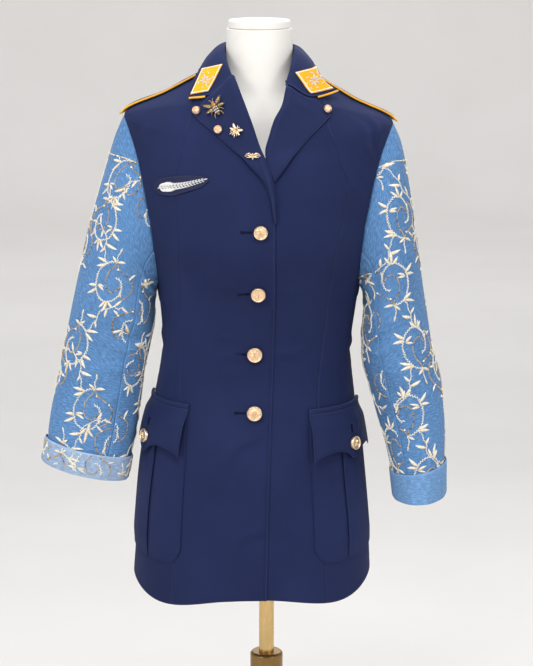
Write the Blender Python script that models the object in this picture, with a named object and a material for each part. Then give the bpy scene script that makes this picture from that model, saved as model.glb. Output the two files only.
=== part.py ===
"""A tailored blazer buttoned on a limbless dress form with a telescoping stand.

Metres, +Z up. The origin is the centre of the base's underside, and the blazer faces -Y.
Wearer's right is -X. Angles round the body are in degrees from the centre front (0)
through the wearer's left side (+90) to the centre back (180).
A "level" is a height on the side of the body: the ring at that level dips or rises towards
the centre front and the centre back as its row in BODY_RINGS says.
"""

import math

import bpy
import numpy as np

for old in list(bpy.data.objects):
    bpy.data.objects.remove(old, do_unlink=True)

# ---------------------------------------------------------------- driving sizes
WALL = 0.0016  # thickness of the shell cloth
GAP = 0.0003  # clearance between neighbouring pieces
LAYER = WALL + 2 * GAP  # one cloth thickness with its clearance

HEM_LEVEL = 0.727
WELT_LEVEL = 1.000
BREAK_LEVEL = 1.285  # where the lapels start to turn back
UNDERARM_LEVEL = 1.172
SHOULDER_LEVEL = 1.414
PRINCESS_LEVEL = 1.472  # where the front seams reach the shoulder seam
NECK_LEVEL = 1.487

ARMHOLE_FRONT = 29.5  # degrees the armhole reaches forward of the side
ARMHOLE_BACK = 28.0
ARMHOLE_FULLNESS = 0.78  # under 1 squares the armhole's top and bottom
ARMHOLE_STEPS = 12  # facets along the front or back half of an armhole

BUST_OUT = 0.012
BUST_ANGLE = 40.0
BUST_SPREAD = 24.0
BUST_LEVEL = 1.240
BUST_HEIGHT = 0.065

# level, half width, front depth, back depth, centre x, centre y, front rise, back rise,
# quarter dip, sideways tilt, squareness
BODY_RINGS = {
    "hem": (0.727, 0.179, 0.130, 0.140, -0.0225, 0.000, -0.0110, -0.008, -0.018, 0.012, 2.30),
    "above hem": (0.790, 0.175, 0.127, 0.138, -0.0215, 0.000, -0.0030, -0.002, -0.004, 0.006, 2.30),
    "low hip": (0.870, 0.168, 0.122, 0.134, -0.0215, 0.000, 0.0, 0.0, 0.0, 0.0, 2.30),
    "high hip": (0.950, 0.158, 0.115, 0.123, -0.0200, 0.000, 0.0, 0.0, 0.0, 0.0, 2.30),
    "welt": (1.000, 0.149, 0.109, 0.112, -0.0180, 0.000, 0.0, 0.0, 0.0, 0.0, 2.30),
    "waist": (1.080, 0.1395, 0.102, 0.100, -0.0148, 0.000, 0.0, 0.0, 0.0, 0.0, 2.25),
    "ribs": (1.140, 0.1445, 0.108, 0.107, -0.0125, 0.000, 0.0, 0.0, 0.0, 0.0, 2.25),
    "underarm": (1.172, 0.1500, 0.114, 0.112, -0.0120, 0.000, 0.0, 0.0, 0.0, 0.0, 2.25),
    "bust": (1.240, 0.1680, 0.124, 0.119, -0.0128, 0.000, 0.0, 0.0, 0.0, -0.005, 2.25),
    "chest": (1.310, 0.1840, 0.124, 0.119, -0.0124, 0.000, -0.002, 0.0, 0.0, -0.012, 2.25),
    "blades": (1.370, 0.1920, 0.117, 0.112, -0.0118, 0.000, -0.012, 0.0, 0.0, -0.020, 2.20),
    "shoulder": (1.414, 0.1960, 0.108, 0.103, -0.0116, 0.000, -0.028, 0.004, 0.0, -0.028, 2.10),
    "yoke": (1.448, 0.1330, 0.099, 0.090, -0.0112, 0.002, -0.026, 0.010, 0.0, -0.032, 2.05),
    "neck": (1.487, 0.0640, 0.086, 0.066, -0.0106, 0.006, -0.014, 0.014, 0.0, -0.030, 2.00),
}

# the front seams seen from the front, from the hem up: z and x
PRINCESS_RIGHT = {
    "hem": (0.727, -0.1400),
    "pocket": (0.870, -0.1310),
    "welt": (1.012, -0.1252),
    "ribs": (1.136, -0.1244),
    "bust": (1.204, -0.1254),
    "chest": (1.2680, -0.1275),
    "high chest": (1.3110, -0.1297),
    "breast": (1.3500, -0.1271),
    "yoke": (1.3740, -0.1209),
    "under strap": (1.4070, -0.1118),
    "strap": (1.4440, -0.1048),
}
PRINCESS_LEFT = {
    "hem": (0.727, 0.0900),
    "pocket": (0.870, 0.0790),
    "welt": (1.0140, 0.0745),
    "waist": (1.0735, 0.0791),
    "ribs": (1.1381, 0.0866),
    "bust": (1.1982, 0.0934),
    "chest": (1.2496, 0.1021),
    "high chest": (1.2918, 0.1112),
    "breast": (1.3311, 0.1157),
    "yoke": (1.3464, 0.1110),
    "under strap": (1.3828, 0.0987),
    "shoulder": (1.4121, 0.0880),
    "strap": (1.4425, 0.0813),
}

# the wearer's right front edge, at each height: x
RIGHT_EDGE = {
    "hem": (0.727, 0.0000),
    "hip": (0.900, 0.0040),
    "waist": (1.080, 0.0100),
    "bust": (1.230, 0.0130),
    "break": (1.285, 0.0125),
}
LEFT_EDGE_X = -0.040  # the under front's hidden edge
UNDER_EDGE_X = 0.045  # where the under front begins to lie back
UNDER_BLEND = 0.025
LAP_START_X = -0.075  # where the over front begins to rise over it
LAP_FULL_X = -0.046
LAP_TOP = (1.375, 0.045)  # level above which the fronts part, and the height over which it fades
UNDER_SINK = 0.0008  # how far the under front lies back below the over front

# lapels: x and z of the roll line, x and z of the outer edge, from the lower end up
LAPEL_RIGHT = {
    "break": (0.0122, 1.2800, 0.0098, 1.2850),
    "low": (0.0088, 1.3100, 0.0045, 1.3150),
    "crossing": (0.0045, 1.3320, -0.0040, 1.3370),
    "middle": (-0.0044, 1.3583, -0.0202, 1.3559),
    "upper": (-0.0142, 1.3822, -0.0415, 1.3763),
    "high": (-0.0260, 1.4160, -0.0719, 1.4024),
    "top": (-0.0400, 1.4530, -0.0940, 1.4190),
    "gorge": (-0.0499, 1.4795, -0.1067, 1.4292),
}
LAPEL_LEFT = {
    "crossing": (0.0008, 1.3650, 0.0110, 1.3385),
    "low": (0.0025, 1.3780, 0.0222, 1.3529),
    "middle": (0.0085, 1.3970, 0.0404, 1.3759),
    "upper": (0.0162, 1.4202, 0.0649, 1.4018),
    "high": (0.0275, 1.4420, 0.0810, 1.4160),
    "gorge": (0.0322, 1.4650, 0.0926, 1.4262),
}
NOTCH_RIGHT = (-0.0838, 1.4515)
NOTCH_LEFT = (0.0682, 1.4482)
GORGE_BOW = 0.0036  # how far the lapel's top dips between the roll line and the notch
NOTCH_SHARE = 0.60  # of the way from the roll line to the tip
CORNER_RIGHT = (-0.1125, 1.4430)
CORNER_LEFT = (0.1030, 1.4490)
CORNER_OUT = 0.0105  # the collar's corners lie over the shoulder straps
LAPEL_LIFT = 0.0008
ROLL_HEIGHT = 0.0035
ROLL_LIP = 0.0036  # how far the roll bulges past the roll line
GORGE_GAP = 0.0026  # between the lapel's top and the collar's end, with the seam's turnings

# collar stations from the centre back (0) to the gorge (1):
# share, seam angle, fold x, y, z, and the outer edge's angle, level and height over the shell
COLLAR_STATIONS = {
    "centre back": (0.00, 180.0, 0.0000, 0.0700, 1.5235, 180.0, 1.4610, 0.006),
    "back quarter": (0.25, 145.0, 0.0330, 0.0560, 1.5235, 140.0, 1.4640, 0.006),
    "back side": (0.45, 115.0, 0.0490, 0.0260, 1.5215, 112.0, 1.4700, 0.006),
    "side": (0.62, 90.0, 0.0500, -0.0080, 1.5165, 90.0, 1.4765, 0.0078),
    "front side": (0.82, 60.0, 0.0460, -0.0450, 1.5000, 70.0, 1.4685, 0.0078),
}
# collar patches: around and across the collar at the corners
PATCH_RIGHT = {
    "top outer": (-0.760, 0.880),
    "top inner": (-0.825, 0.500),
    "low inner": (-0.970, 0.750),
    "low outer": (-0.970, 0.955),
}
PATCH_LEFT = {
    "top outer": (0.620, 0.900),
    "top inner": (0.860, 0.520),
    "low inner": (0.968, 0.720),
    "low outer": (0.968, 0.955),
}
PATCH_GAP = 0.0012
PATCH_WALL = 0.0014
COLLAR_FOLD_WIDTH = 0.0070
COLLAR_ARCH = 0.003

# sleeves: x and z of the outer line, x and z of the inner line, centre y and half depth
SLEEVE_RIGHT = {
    "armhole": (-0.2075, 1.4150, -0.1600, 1.1740, 0.000, 0.068),
    "head": (-0.2200, 1.3900, -0.1660, 1.1560, -0.002, 0.069),
    "upper arm": (-0.2400, 1.3280, -0.1680, 1.1340, -0.004, 0.066),
    "biceps": (-0.2610, 1.2560, -0.1700, 1.1060, -0.006, 0.062),
    "above elbow": (-0.2800, 1.1750, -0.1765, 1.0720, -0.010, 0.057),
    "elbow": (-0.2950, 1.1050, -0.1850, 1.0350, -0.014, 0.053),
    "forearm": (-0.3085, 1.0390, -0.1905, 0.9950, -0.020, 0.049),
    "wrist": (-0.3230, 0.9700, -0.1990, 0.9400, -0.026, 0.046),
    "end": (-0.3300, 0.9090, -0.2150, 0.8820, -0.032, 0.044),
}
SLEEVE_LEFT = {
    "armhole": (0.1840, 1.4060, 0.1400, 1.1700, 0.000, 0.068),
    "head": (0.1960, 1.3800, 0.1470, 1.1520, -0.004, 0.070),
    "upper arm": (0.2090, 1.3180, 0.1460, 1.1250, -0.008, 0.069),
    "biceps": (0.2190, 1.2500, 0.1435, 1.0950, -0.012, 0.067),
    "above elbow": (0.2310, 1.1660, 0.1445, 1.0600, -0.018, 0.064),
    "elbow": (0.2450, 1.0830, 0.1520, 1.0300, -0.025, 0.061),
    "forearm": (0.2590, 1.0230, 0.1640, 0.9860, -0.034, 0.059),
    "wrist": (0.2645, 0.9500, 0.1810, 0.9280, -0.045, 0.058),
    "end": (0.2610, 0.8660, 0.1960, 0.8600, -0.056, 0.058),
}
SLEEVE_ROWS = 12
SLEEVE_SEAM = 0.0010  # each side of a sleeve seam, enough for its folded edges to stay apart
SLEEVE_FRONT_SEAM = 8  # in steps of the armhole ring from the shoulder
SLEEVE_BACK_SEAM = 17
CUFF_HEIGHT = 0.038
CUFF_CLEARANCE = 0.0022
CUFF_FLARE = 0.0030
CUFF_LIP = 0.0030

# soft folds in the sleeves: turn and share down the sleeve at both ends, width in degrees
# and height of the ridge
SLEEVE_FOLDS_RIGHT = {
    "inner elbow": (150.0, 0.40, 60.0, 0.52, 16.0, 0.0040),
    "forearm": (140.0, 0.62, 50.0, 0.74, 15.0, 0.0035),
    "head": (40.0, 0.06, 70.0, 0.26, 14.0, 0.0025),
    "back elbow": (215.0, 0.44, 300.0, 0.56, 16.0, 0.0035),
}
SLEEVE_FOLDS_LEFT = {
    "inner elbow": (140.0, 0.38, 70.0, 0.50, 16.0, 0.0040),
    "forearm": (130.0, 0.60, 55.0, 0.70, 14.0, 0.0035),
    "head": (45.0, 0.05, 65.0, 0.24, 14.0, 0.0025),
    "back elbow": (220.0, 0.46, 300.0, 0.58, 16.0, 0.0035),
}

# pockets: angle of the inner edge, of the flap's inner edge, of the centre and of the outer edge, levels
POCKET_RIGHT = {"inner": -33.6, "flap": -36.4, "centre": -66.8, "outer": -94.0, "top": 0.998, "low": 0.774}
POCKET_LEFT = {"inner": 28.5, "flap": 28.9, "centre": 58.4, "outer": 87.5, "top": 0.992, "low": 0.774}
POCKET_CORNER = 0.024
POCKET_RISE = 0.004
POCKET_WALL = 0.0014
POCKET_SHARE = 0.62
PLEAT_FLOOR = 0.25
# shares of the half width: panel's end, gap's floor from and to, band's two edges, panel again
PLEAT_LINES = (-0.330, -0.305, -0.275, -0.235, 0.210, 0.250)
# share of the half width from the flap's centre point to its corner: length
FLAP_LENGTHS = {
    0.00: 0.0725,
    0.06: 0.0718,
    0.20: 0.0636,
    0.35: 0.0600,
    0.50: 0.0588,
    0.65: 0.0592,
    0.80: 0.0613,
    0.92: 0.0648,
    1.00: 0.0692,
}
FLAP_OUT = 0.009
WELT_HEIGHT = 0.007

BREAST_PATCH = {"centre x": -0.1205, "centre z": 1.3300, "width": 0.079}
# share of the half width: lower and upper edge over the patch's centre
BREAST_EDGES = {
    -1.00: (-0.0034, 0.0000),
    -0.94: (-0.0080, 0.0046),
    -0.75: (-0.0136, 0.0090),
    -0.35: (-0.0146, 0.0124),
    0.00: (-0.0104, 0.0144),
    0.35: (-0.0058, 0.0153),
    0.70: (-0.0006, 0.0149),
    0.92: (0.0060, 0.0133),
    1.00: (0.0086, 0.0118),
}
BREAST_COLUMNS = np.array([1.0, 0.94, 0.85, 0.75, 0.6, 0.45, 0.3, 0.15])

# epaulettes: level at the outer end and at the inner end, half width at both
EPAULETTE = {"outer": 1.4165, "inner": 1.4720, "outer half": 0.023, "inner half": 0.018}
EPAULETTE_BACK = 0.020  # how far the strap's middle lies behind the body's
EPAULETTE_OUT = 0.0034
EPAULETTE_END_LIFT = 0.0018
EPAULETTE_WALL = 0.0024
PIPING_RADIUS = 0.0015

BUTTON_RADIUS = 0.0112
BUTTON_PLACES = {
    "button_front_1": (-0.0081, 1.2663, 0.92),
    "button_front_2": (-0.0119, 1.1759, 0.97),
    "button_front_3": (-0.0170, 1.0834, 1.0),
    "button_front_4": (-0.0175, 0.9966, 1.0),
}
FLAP_BUTTON_DROP = 0.051
STUD_RADIUS = 0.0064

# level, half width, front, back, centre x, centre y, front rise, back rise, dip, tilt, squareness
FORM_RINGS = {
    "under": (0.862, 0.100, 0.070, 0.075, -0.0120, 0.000, 0.0, 0.0, 0.0, 0.0, 2.2),
    "edge": (0.872, 0.135, 0.098, 0.106, -0.0190, 0.000, 0.0, 0.0, 0.0, 0.0, 2.2),
    "hip": (0.900, 0.150, 0.108, 0.116, -0.0205, 0.000, 0.0, 0.0, 0.0, 0.0, 2.2),
    "high hip": (0.960, 0.143, 0.102, 0.108, -0.0195, 0.000, 0.0, 0.0, 0.0, 0.0, 2.2),
    "waist": (1.080, 0.125, 0.090, 0.088, -0.0148, 0.000, 0.0, 0.0, 0.0, 0.0, 2.2),
    "ribs": (1.172, 0.132, 0.102, 0.100, -0.0120, 0.000, 0.0, 0.0, 0.0, 0.0, 2.2),
    "bust": (1.240, 0.142, 0.112, 0.105, -0.0125, 0.000, 0.0, 0.0, 0.0, 0.0, 2.2),
    "chest": (1.310, 0.152, 0.108, 0.104, -0.0120, 0.000, -0.006, 0.0, 0.0, -0.012, 2.2),
    "blades": (1.365, 0.160, 0.094, 0.096, -0.0115, 0.000, -0.014, 0.0, 0.0, -0.02, 2.1),
    "shoulder": (1.398, 0.155, 0.080, 0.086, -0.0113, 0.002, -0.014, 0.0, 0.0, -0.02, 2.0),
    "slope": (1.428, 0.112, 0.068, 0.074, -0.0110, 0.004, -0.008, 0.006, 0.0, -0.02, 2.0),
    "neck base": (1.462, 0.063, 0.054, 0.056, -0.0107, 0.006, -0.004, 0.006, 0.0, 0.0, 2.0),
    "neck": (1.490, 0.0505, 0.0500, 0.050, -0.0105, 0.006, 0.0, 0.0, 0.0, 0.0, 2.0),
    "neck top": (1.5465, 0.0478, 0.0478, 0.0478, -0.0104, 0.006, 0.0, 0.0, 0.0, 0.0, 2.0),
}
FORM_SEGMENTS = 26
CAP_RADIUS = 0.0455
CAP_TOP = 1.5590

POLE_RADIUS = 0.0115
POLE_BOTTOM = 0.330
POLE_TOP = FORM_RINGS["under"][0] - GAP
TUBE_RADIUS = 0.0225
TUBE_BORE = POLE_RADIUS + 0.0001  # sliding fit
TUBE_TOP = 0.590
TUBE_COLLAR_HEIGHT = 0.032
TUBE_COLLAR_EXTRA = 0.0025
BASE_RADIUS = 0.170
BASE_HEIGHT = 0.016
BASE_BOSS_RADIUS = 0.040
BASE_BOSS_HEIGHT = 0.034

NAVY = (0.022, 0.030, 0.095)
SLEEVE_BLUE = (0.12, 0.30, 0.62)
CUFF_BLUE = (0.22, 0.36, 0.66)
YELLOW = (0.90, 0.40, 0.01)
GOLD = (0.80, 0.55, 0.22)
BRASS = (0.62, 0.42, 0.16)
WHITE = (0.82, 0.80, 0.76)


# ---------------------------------------------------------------- curves and surfaces
def smooth(knots, values, at):
    """A smooth curve through the values that never overshoots them."""
    knots = np.asarray(knots, float)
    values = np.asarray(values, float).reshape(len(knots), -1)
    at = np.asarray(at, float)
    flat = np.clip(at.ravel(), knots[0], knots[-1])
    widths = np.diff(knots)[:, None]
    rises = np.diff(values, axis=0) / widths
    slopes = np.zeros_like(values)
    slopes[0] = rises[0]
    slopes[-1] = rises[-1]
    before = rises[:-1]
    after = rises[1:]
    same_way = before * after > 0
    total = np.where(same_way, before + after, 1.0)
    slopes[1:-1] = np.where(same_way, 2 * before * after / total, 0.0)
    index = np.clip(np.searchsorted(knots, flat, side="right") - 1, 0, len(knots) - 2)
    width = widths[index]
    u = (flat[:, None] - knots[index][:, None]) / width
    start = values[index]
    end = values[index + 1]
    lift = slopes[index] * width
    land = slopes[index + 1] * width
    curve = (
        start * (2 * u**3 - 3 * u**2 + 1)
        + end * (3 * u**2 - 2 * u**3)
        + lift * (u**3 - 2 * u**2 + u)
        + land * (u**3 - u**2)
    )
    return curve.reshape(at.shape + (values.shape[1],))


def table_curve(table, at):
    """The rows of a named table as one smooth curve of their first column."""
    rows = np.array(list(table.values()))
    return smooth(rows[:, 0], rows[:, 1:], at)


def ease(value):
    value = np.clip(value, 0.0, 1.0)
    return value * value * (3 - 2 * value)


def unit(vectors):
    return vectors / np.maximum(np.linalg.norm(vectors, axis=-1, keepdims=True), 1e-12)


def ring_point(rings, angle, level):
    """Points of a ring-lofted surface at these angles and levels."""
    angle, level = np.broadcast_arrays(np.asarray(angle, float), np.asarray(level, float))
    sizes = np.moveaxis(table_curve(rings, level), -1, 0)
    half_width, front, back, centre_x, centre_y, front_rise, back_rise, dip, tilt, power = sizes
    sine = np.sin(np.radians(angle))
    cosine = np.cos(np.radians(angle))
    in_front = cosine > 0
    x = half_width * np.sign(sine) * np.abs(sine) ** (2 / power)
    depth = np.where(in_front, -front, back)
    y = centre_y + depth * np.abs(cosine) ** (2 / power)
    rise = np.where(in_front, front_rise, back_rise) * cosine**2
    quarter = np.where(in_front, dip, dip / 2) * (2 * sine * cosine) ** 2
    z = level + rise + quarter + tilt * x
    across = (np.abs(angle) - BUST_ANGLE) / BUST_SPREAD
    up = (level - BUST_LEVEL) / BUST_HEIGHT
    y = y - BUST_OUT * np.exp(-(across**2) - up**2)
    return np.stack([centre_x + x, y, z], axis=-1)


def body(angle, level, out=0.0):
    """Points of the blazer's shell, moved out along its normal."""
    angle, level, out = np.broadcast_arrays(
        np.asarray(angle, float), np.asarray(level, float), np.asarray(out, float)
    )
    point = ring_point(BODY_RINGS, angle, level)
    turn = 0.4
    lift = 0.0008
    across = ring_point(BODY_RINGS, angle + turn, level) - ring_point(BODY_RINGS, angle - turn, level)
    up = ring_point(BODY_RINGS, angle, level + lift) - ring_point(BODY_RINGS, angle, level - lift)
    normal = unit(np.cross(across, up))
    return point + normal * out[..., None]


def angle_of_x(x, level):
    """The front angle at which the ring at this level reaches this x."""
    sizes = table_curve(BODY_RINGS, level)
    share = (np.asarray(x, float) - sizes[..., 3]) / sizes[..., 0]
    share = np.clip(share, -1.0, 1.0)
    return np.degrees(np.arcsin(np.sign(share) * np.abs(share) ** (sizes[..., 9] / 2)))


def on_front(x, z):
    """Angle and level of the front's point that is seen at this x and z."""
    x = np.asarray(x, float)
    z = np.asarray(z, float)
    level = z.copy()
    for _ in range(30):
        angle = angle_of_x(x, level)
        level = level + 0.7 * (z - ring_point(BODY_RINGS, angle, level)[..., 2])
        level = np.clip(level, HEM_LEVEL, NECK_LEVEL)
    return angle_of_x(x, level), level


def armhole(side, turn):
    """Angle and level of the armhole: turn 0 is the shoulder, 90 the front, 180 the underarm."""
    turn = np.asarray(turn, float)
    forward = np.sin(np.radians(turn))
    spread = np.where(forward > 0, ARMHOLE_FRONT, ARMHOLE_BACK)
    level = UNDERARM_LEVEL + (SHOULDER_LEVEL - UNDERARM_LEVEL) * (1 + np.cos(np.radians(turn))) / 2
    reach = np.sign(forward) * np.abs(forward) ** ARMHOLE_FULLNESS
    return side * (90.0 - spread * reach), level


# ---------------------------------------------------------------- meshes and objects
MATERIALS = {}


def material(name, colour, roughness=0.8, metallic=0.0):
    if name not in MATERIALS:
        made = bpy.data.materials.new(name)
        made.use_nodes = True
        shader = made.node_tree.nodes["Principled BSDF"]
        shader.inputs["Base Color"].default_value = (*colour, 1.0)
        shader.inputs["Roughness"].default_value = roughness
        shader.inputs["Metallic"].default_value = metallic
        MATERIALS[name] = made
    return MATERIALS[name]


def add_solid(name, points, faces, colour, roughness=0.8, metallic=0.0):
    """One object of a closed mesh, with its faces turned outward."""
    points = np.asarray(points, float)
    volume = 0.0
    for face in faces:
        first = points[face[0]]
        for second, third in zip(face[1:-1], face[2:]):
            volume += np.dot(first, np.cross(points[second], points[third]))
    if volume < 0:
        faces = [tuple(reversed(face)) for face in faces]
    mesh = bpy.data.meshes.new(name)
    mesh.from_pydata([tuple(p) for p in points], [], [tuple(map(int, f)) for f in faces])
    mesh.materials.append(material(name, colour, roughness, metallic))
    mesh.shade_smooth()
    mesh.set_sharp_from_angle(angle=math.radians(40))
    made = bpy.data.objects.new(name, mesh)
    bpy.context.scene.collection.objects.link(made)
    return made


def wall_faces(rows, columns, closed):
    """Faces of a wall whose outer grid comes first and its inner grid after it."""
    size = rows * columns

    def outer(i, j):
        return i * columns + j % columns

    def inner(i, j):
        return size + outer(i, j)

    faces = []
    spans = columns if closed else columns - 1
    for i in range(rows - 1):
        for j in range(spans):
            faces.append((outer(i, j), outer(i, j + 1), outer(i + 1, j + 1), outer(i + 1, j)))
            faces.append((inner(i, j), inner(i + 1, j), inner(i + 1, j + 1), inner(i, j + 1)))
    last = rows - 1
    for j in range(spans):
        faces.append((outer(0, j + 1), outer(0, j), inner(0, j), inner(0, j + 1)))
        faces.append((outer(last, j), outer(last, j + 1), inner(last, j + 1), inner(last, j)))
    if not closed:
        edge = columns - 1
        for i in range(last):
            faces.append((outer(i, 0), outer(i + 1, 0), inner(i + 1, 0), inner(i, 0)))
            faces.append((outer(i + 1, edge), outer(i, edge), inner(i, edge), inner(i + 1, edge)))
    return faces


def wall_solid(name, outer, inner, colour, closed=False, roughness=0.85):
    rows, columns = outer.shape[:2]
    points = np.concatenate([outer.reshape(-1, 3), inner.reshape(-1, 3)])
    return add_solid(name, points, wall_faces(rows, columns, closed), colour, roughness)


def grid_normals(grid, closed=False):
    """Normals of a grid of points, from its neighbours."""
    if closed:
        across = np.roll(grid, -1, axis=1) - np.roll(grid, 1, axis=1)
    else:
        across = np.gradient(grid, axis=1)
    up = np.gradient(grid, axis=0)
    return unit(np.cross(across, up))


def panel(name, left, right, columns, colour, out=0.0, wall=WALL):
    """A shell panel between two boundary lines, each a list of (angle, level)."""
    left = np.asarray(left, float)
    right = np.asarray(right, float)
    share = np.linspace(0, 1, columns + 1)[None, :, None]
    grid = left[:, None, :] * (1 - share) + right[:, None, :] * share
    angle = grid[..., 0]
    level = grid[..., 1]
    lift = out(angle, level) if callable(out) else out
    return wall_solid(name, body(angle, level, lift + wall), body(angle, level, lift), colour)


def turned(name, profile, segments, place, axes, colour, roughness=0.35, metallic=1.0, ring=False):
    """A solid turned about an axis, from (radius, height) points.

    The profile starts and ends on the axis, or is a closed ring round it.
    axes are the directions of the turned solid's x, y and z.
    """
    axes = np.asarray(axes, float)
    turns = np.linspace(0, 2 * np.pi, segments, endpoint=False)
    points = []
    rows = []
    for radius, height in profile:
        if radius == 0:
            rows.append([len(points)])
            points.append((0, 0, height))
        else:
            rows.append(list(range(len(points), len(points) + segments)))
            points.extend((radius * np.cos(t), radius * np.sin(t), height) for t in turns)
    pairs = list(zip(rows, rows[1:]))
    if ring:
        pairs.append((rows[-1], rows[0]))
    faces = []
    for low, high in pairs:
        for j in range(segments):
            k = (j + 1) % segments
            if len(low) == 1:
                faces.append((low[0], high[k], high[j]))
            elif len(high) == 1:
                faces.append((low[j], low[k], high[0]))
            else:
                faces.append((low[j], low[k], high[k], high[j]))
    placed = np.asarray(points) @ axes + np.asarray(place)
    return add_solid(name, placed, faces, colour, roughness, metallic)


def tube(name, path, radius, colour, sides=6, roughness=0.7):
    """A round cord with flat ends along a list of points."""
    path = np.asarray(path, float)
    along = unit(np.gradient(path, axis=0))
    upright = np.array([0.0, 0.0, 1.0])
    side = unit(np.cross(along, upright))
    up = np.cross(side, along)
    turns = np.linspace(0, 2 * np.pi, sides, endpoint=False)
    points = []
    for centre, a, b in zip(path, side, up):
        points.extend(centre + radius * (np.cos(t) * a + np.sin(t) * b) for t in turns)
    faces = []
    for i in range(len(path) - 1):
        for j in range(sides):
            k = (j + 1) % sides
            faces.append((i * sides + j, i * sides + k, (i + 1) * sides + k, (i + 1) * sides + j))
    faces.append(tuple(reversed(range(sides))))
    faces.append(tuple(range((len(path) - 1) * sides, len(path) * sides)))
    return add_solid(name, points, faces, colour, roughness)


def seat_on_front(x, z, out):
    """Place and axes of a small piece that sits on the front at this x and z."""
    angle, level = on_front(x, z)
    return seat_on_body(angle, level, out)


def seat_on_body(angle, level, out):
    base = body(angle, level, out)
    normal = unit(body(angle, level, out + 0.01) - base)
    across = unit(np.cross(np.array([0.0, 0.0, 1.0]), normal))
    return base, np.stack([across, np.cross(normal, across), normal])


# ---------------------------------------------------------------- shell panels
SEAM = 0.07  # degrees by which a panel stops short of a front seam
SIDE_SEAM = 0.03  # and of the side, shoulder and centre-back seams


def armhole_line(side, front):
    """The armhole from the underarm to the shoulder, as (angle, level) rows."""
    turns = np.linspace(180, 0, ARMHOLE_STEPS + 1)
    if not front:
        turns = 360 - turns
    angle, level = armhole(side, turns)
    return np.stack([angle, level], axis=-1)


LOWER_LEVELS = np.array([HEM_LEVEL, 0.758, 0.79, 0.86, 0.93, 0.98, 1.03, 1.08, 1.125])


def side_line(side, front, stop_short):
    """Side seam, then armhole; stop_short is the signed inset from the side seam in degrees."""
    seam = np.stack([np.full(len(LOWER_LEVELS), side * 90.0), LOWER_LEVELS], axis=-1)
    line = np.concatenate([seam, armhole_line(side, front)])
    line[: len(LOWER_LEVELS) + 1, 0] += stop_short
    line[-1, 0] += stop_short
    return line


def princess_line(side, table):
    """The front seam as (angle, level) rows that match a side line's rows."""
    rows = np.array(list(table.values()))
    low_x = smooth(rows[:, 0], rows[:, 1], LOWER_LEVELS)[:, 0]
    low = np.stack([angle_of_x(low_x, LOWER_LEVELS), LOWER_LEVELS], axis=-1)
    heights = np.linspace(UNDERARM_LEVEL, rows[-1, 0], ARMHOLE_STEPS)
    high_x = smooth(rows[:, 0], rows[:, 1], heights)[:, 0]
    high = np.stack(on_front(high_x, heights), axis=-1)
    crest = np.array([[side * 90.0, PRINCESS_LEVEL]])
    return np.concatenate([low, high, crest])


def shifted(line, degrees):
    line = line.copy()
    line[:, 0] += degrees
    return line


def build_front_sides():
    for name, side, table in (
        ("front_right_side", -1, PRINCESS_RIGHT),
        ("front_left_side", 1, PRINCESS_LEFT),
    ):
        inner = shifted(princess_line(side, table), side * SEAM)
        inner[-1] = (side * (90 - SIDE_SEAM), PRINCESS_LEVEL - GAP)
        outer = side_line(side, True, -side * SIDE_SEAM)
        lines = (inner, outer) if side > 0 else (outer, inner)
        panel(name, *lines, 5, NAVY)


def lapel_lines(table):
    """Roll line and outer edge of a lapel as (angle, level) rows."""
    rows = np.array(list(table.values()))
    knots = np.linspace(0, 1, len(rows))
    share = np.linspace(0, 1, 13)
    line = smooth(knots, rows, share)
    roll = np.stack(on_front(line[:, 0], line[:, 1]), axis=-1)
    edge = np.stack(on_front(line[:, 2], line[:, 3]), axis=-1)
    return roll, edge


def lap_rise(angle, level):
    """How far the over front stands off, so that the under front fits below it."""
    x = ring_point(BODY_RINGS, angle, level)[..., 0]
    below = 1 - ease((level - LAP_TOP[0]) / LAP_TOP[1])
    return LAYER * below * ease((x - LAP_START_X) / (LAP_FULL_X - LAP_START_X))


def under_sink(angle, level):
    """How far the under front lies back where the over front covers it."""
    x = ring_point(BODY_RINGS, angle, level)[..., 0]
    return -UNDER_SINK * ease((UNDER_EDGE_X - x) / UNDER_BLEND)


def neck_line(start_angle, end_angle, count):
    angles = np.linspace(start_angle, end_angle, count)
    return np.stack([angles, np.full(count, NECK_LEVEL)], axis=-1)


def resampled(line, count):
    """The same polyline with rows at equal shares of its length on the body."""
    points = ring_point(BODY_RINGS, line[:, 0], line[:, 1])
    steps = np.linalg.norm(np.diff(points, axis=0), axis=1)
    along = np.concatenate([[0], np.cumsum(steps)])
    at = np.linspace(0, along[-1], count)
    return np.stack([np.interp(at, along, line[:, 0]), np.interp(at, along, line[:, 1])], axis=-1)


def build_front_centres():
    upper = ARMHOLE_STEPS
    for name, side, table, lapel in (
        ("front_right_centre", -1, PRINCESS_RIGHT, LAPEL_RIGHT),
        ("front_left_centre", 1, PRINCESS_LEFT, LAPEL_LEFT),
    ):
        seam = shifted(princess_line(side, table), -side * SEAM)
        seam[-1] = (side * (90 - SIDE_SEAM), PRINCESS_LEVEL + GAP)
        if side < 0:
            levels = np.append(LOWER_LEVELS, UNDERARM_LEVEL)
            edge_x = table_curve(RIGHT_EDGE, levels)[:, 0]
            low_edge = np.stack([angle_of_x(edge_x, levels), levels], axis=-1)
        else:
            levels = np.append(LOWER_LEVELS, UNDERARM_LEVEL)
            low_edge = np.stack([angle_of_x(LEFT_EDGE_X, levels), levels], axis=-1)
        roll, _ = lapel_lines(lapel)
        to_neck = neck_line(roll[-1, 0], side * (90 - SIDE_SEAM), 4)[1:]
        if side > 0:
            hidden = np.array([[angle_of_x(LEFT_EDGE_X, BREAK_LEVEL), BREAK_LEVEL]])
            roll = np.concatenate([hidden, roll])
        high_edge = resampled(np.concatenate([low_edge[-1:], roll, to_neck]), upper + 1)
        edge = np.concatenate([low_edge, high_edge[1:]])
        lines = (seam, edge) if side < 0 else (edge, seam)
        rise = lap_rise if side < 0 else under_sink
        panel(name, *lines, 6, NAVY, out=rise)


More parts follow.
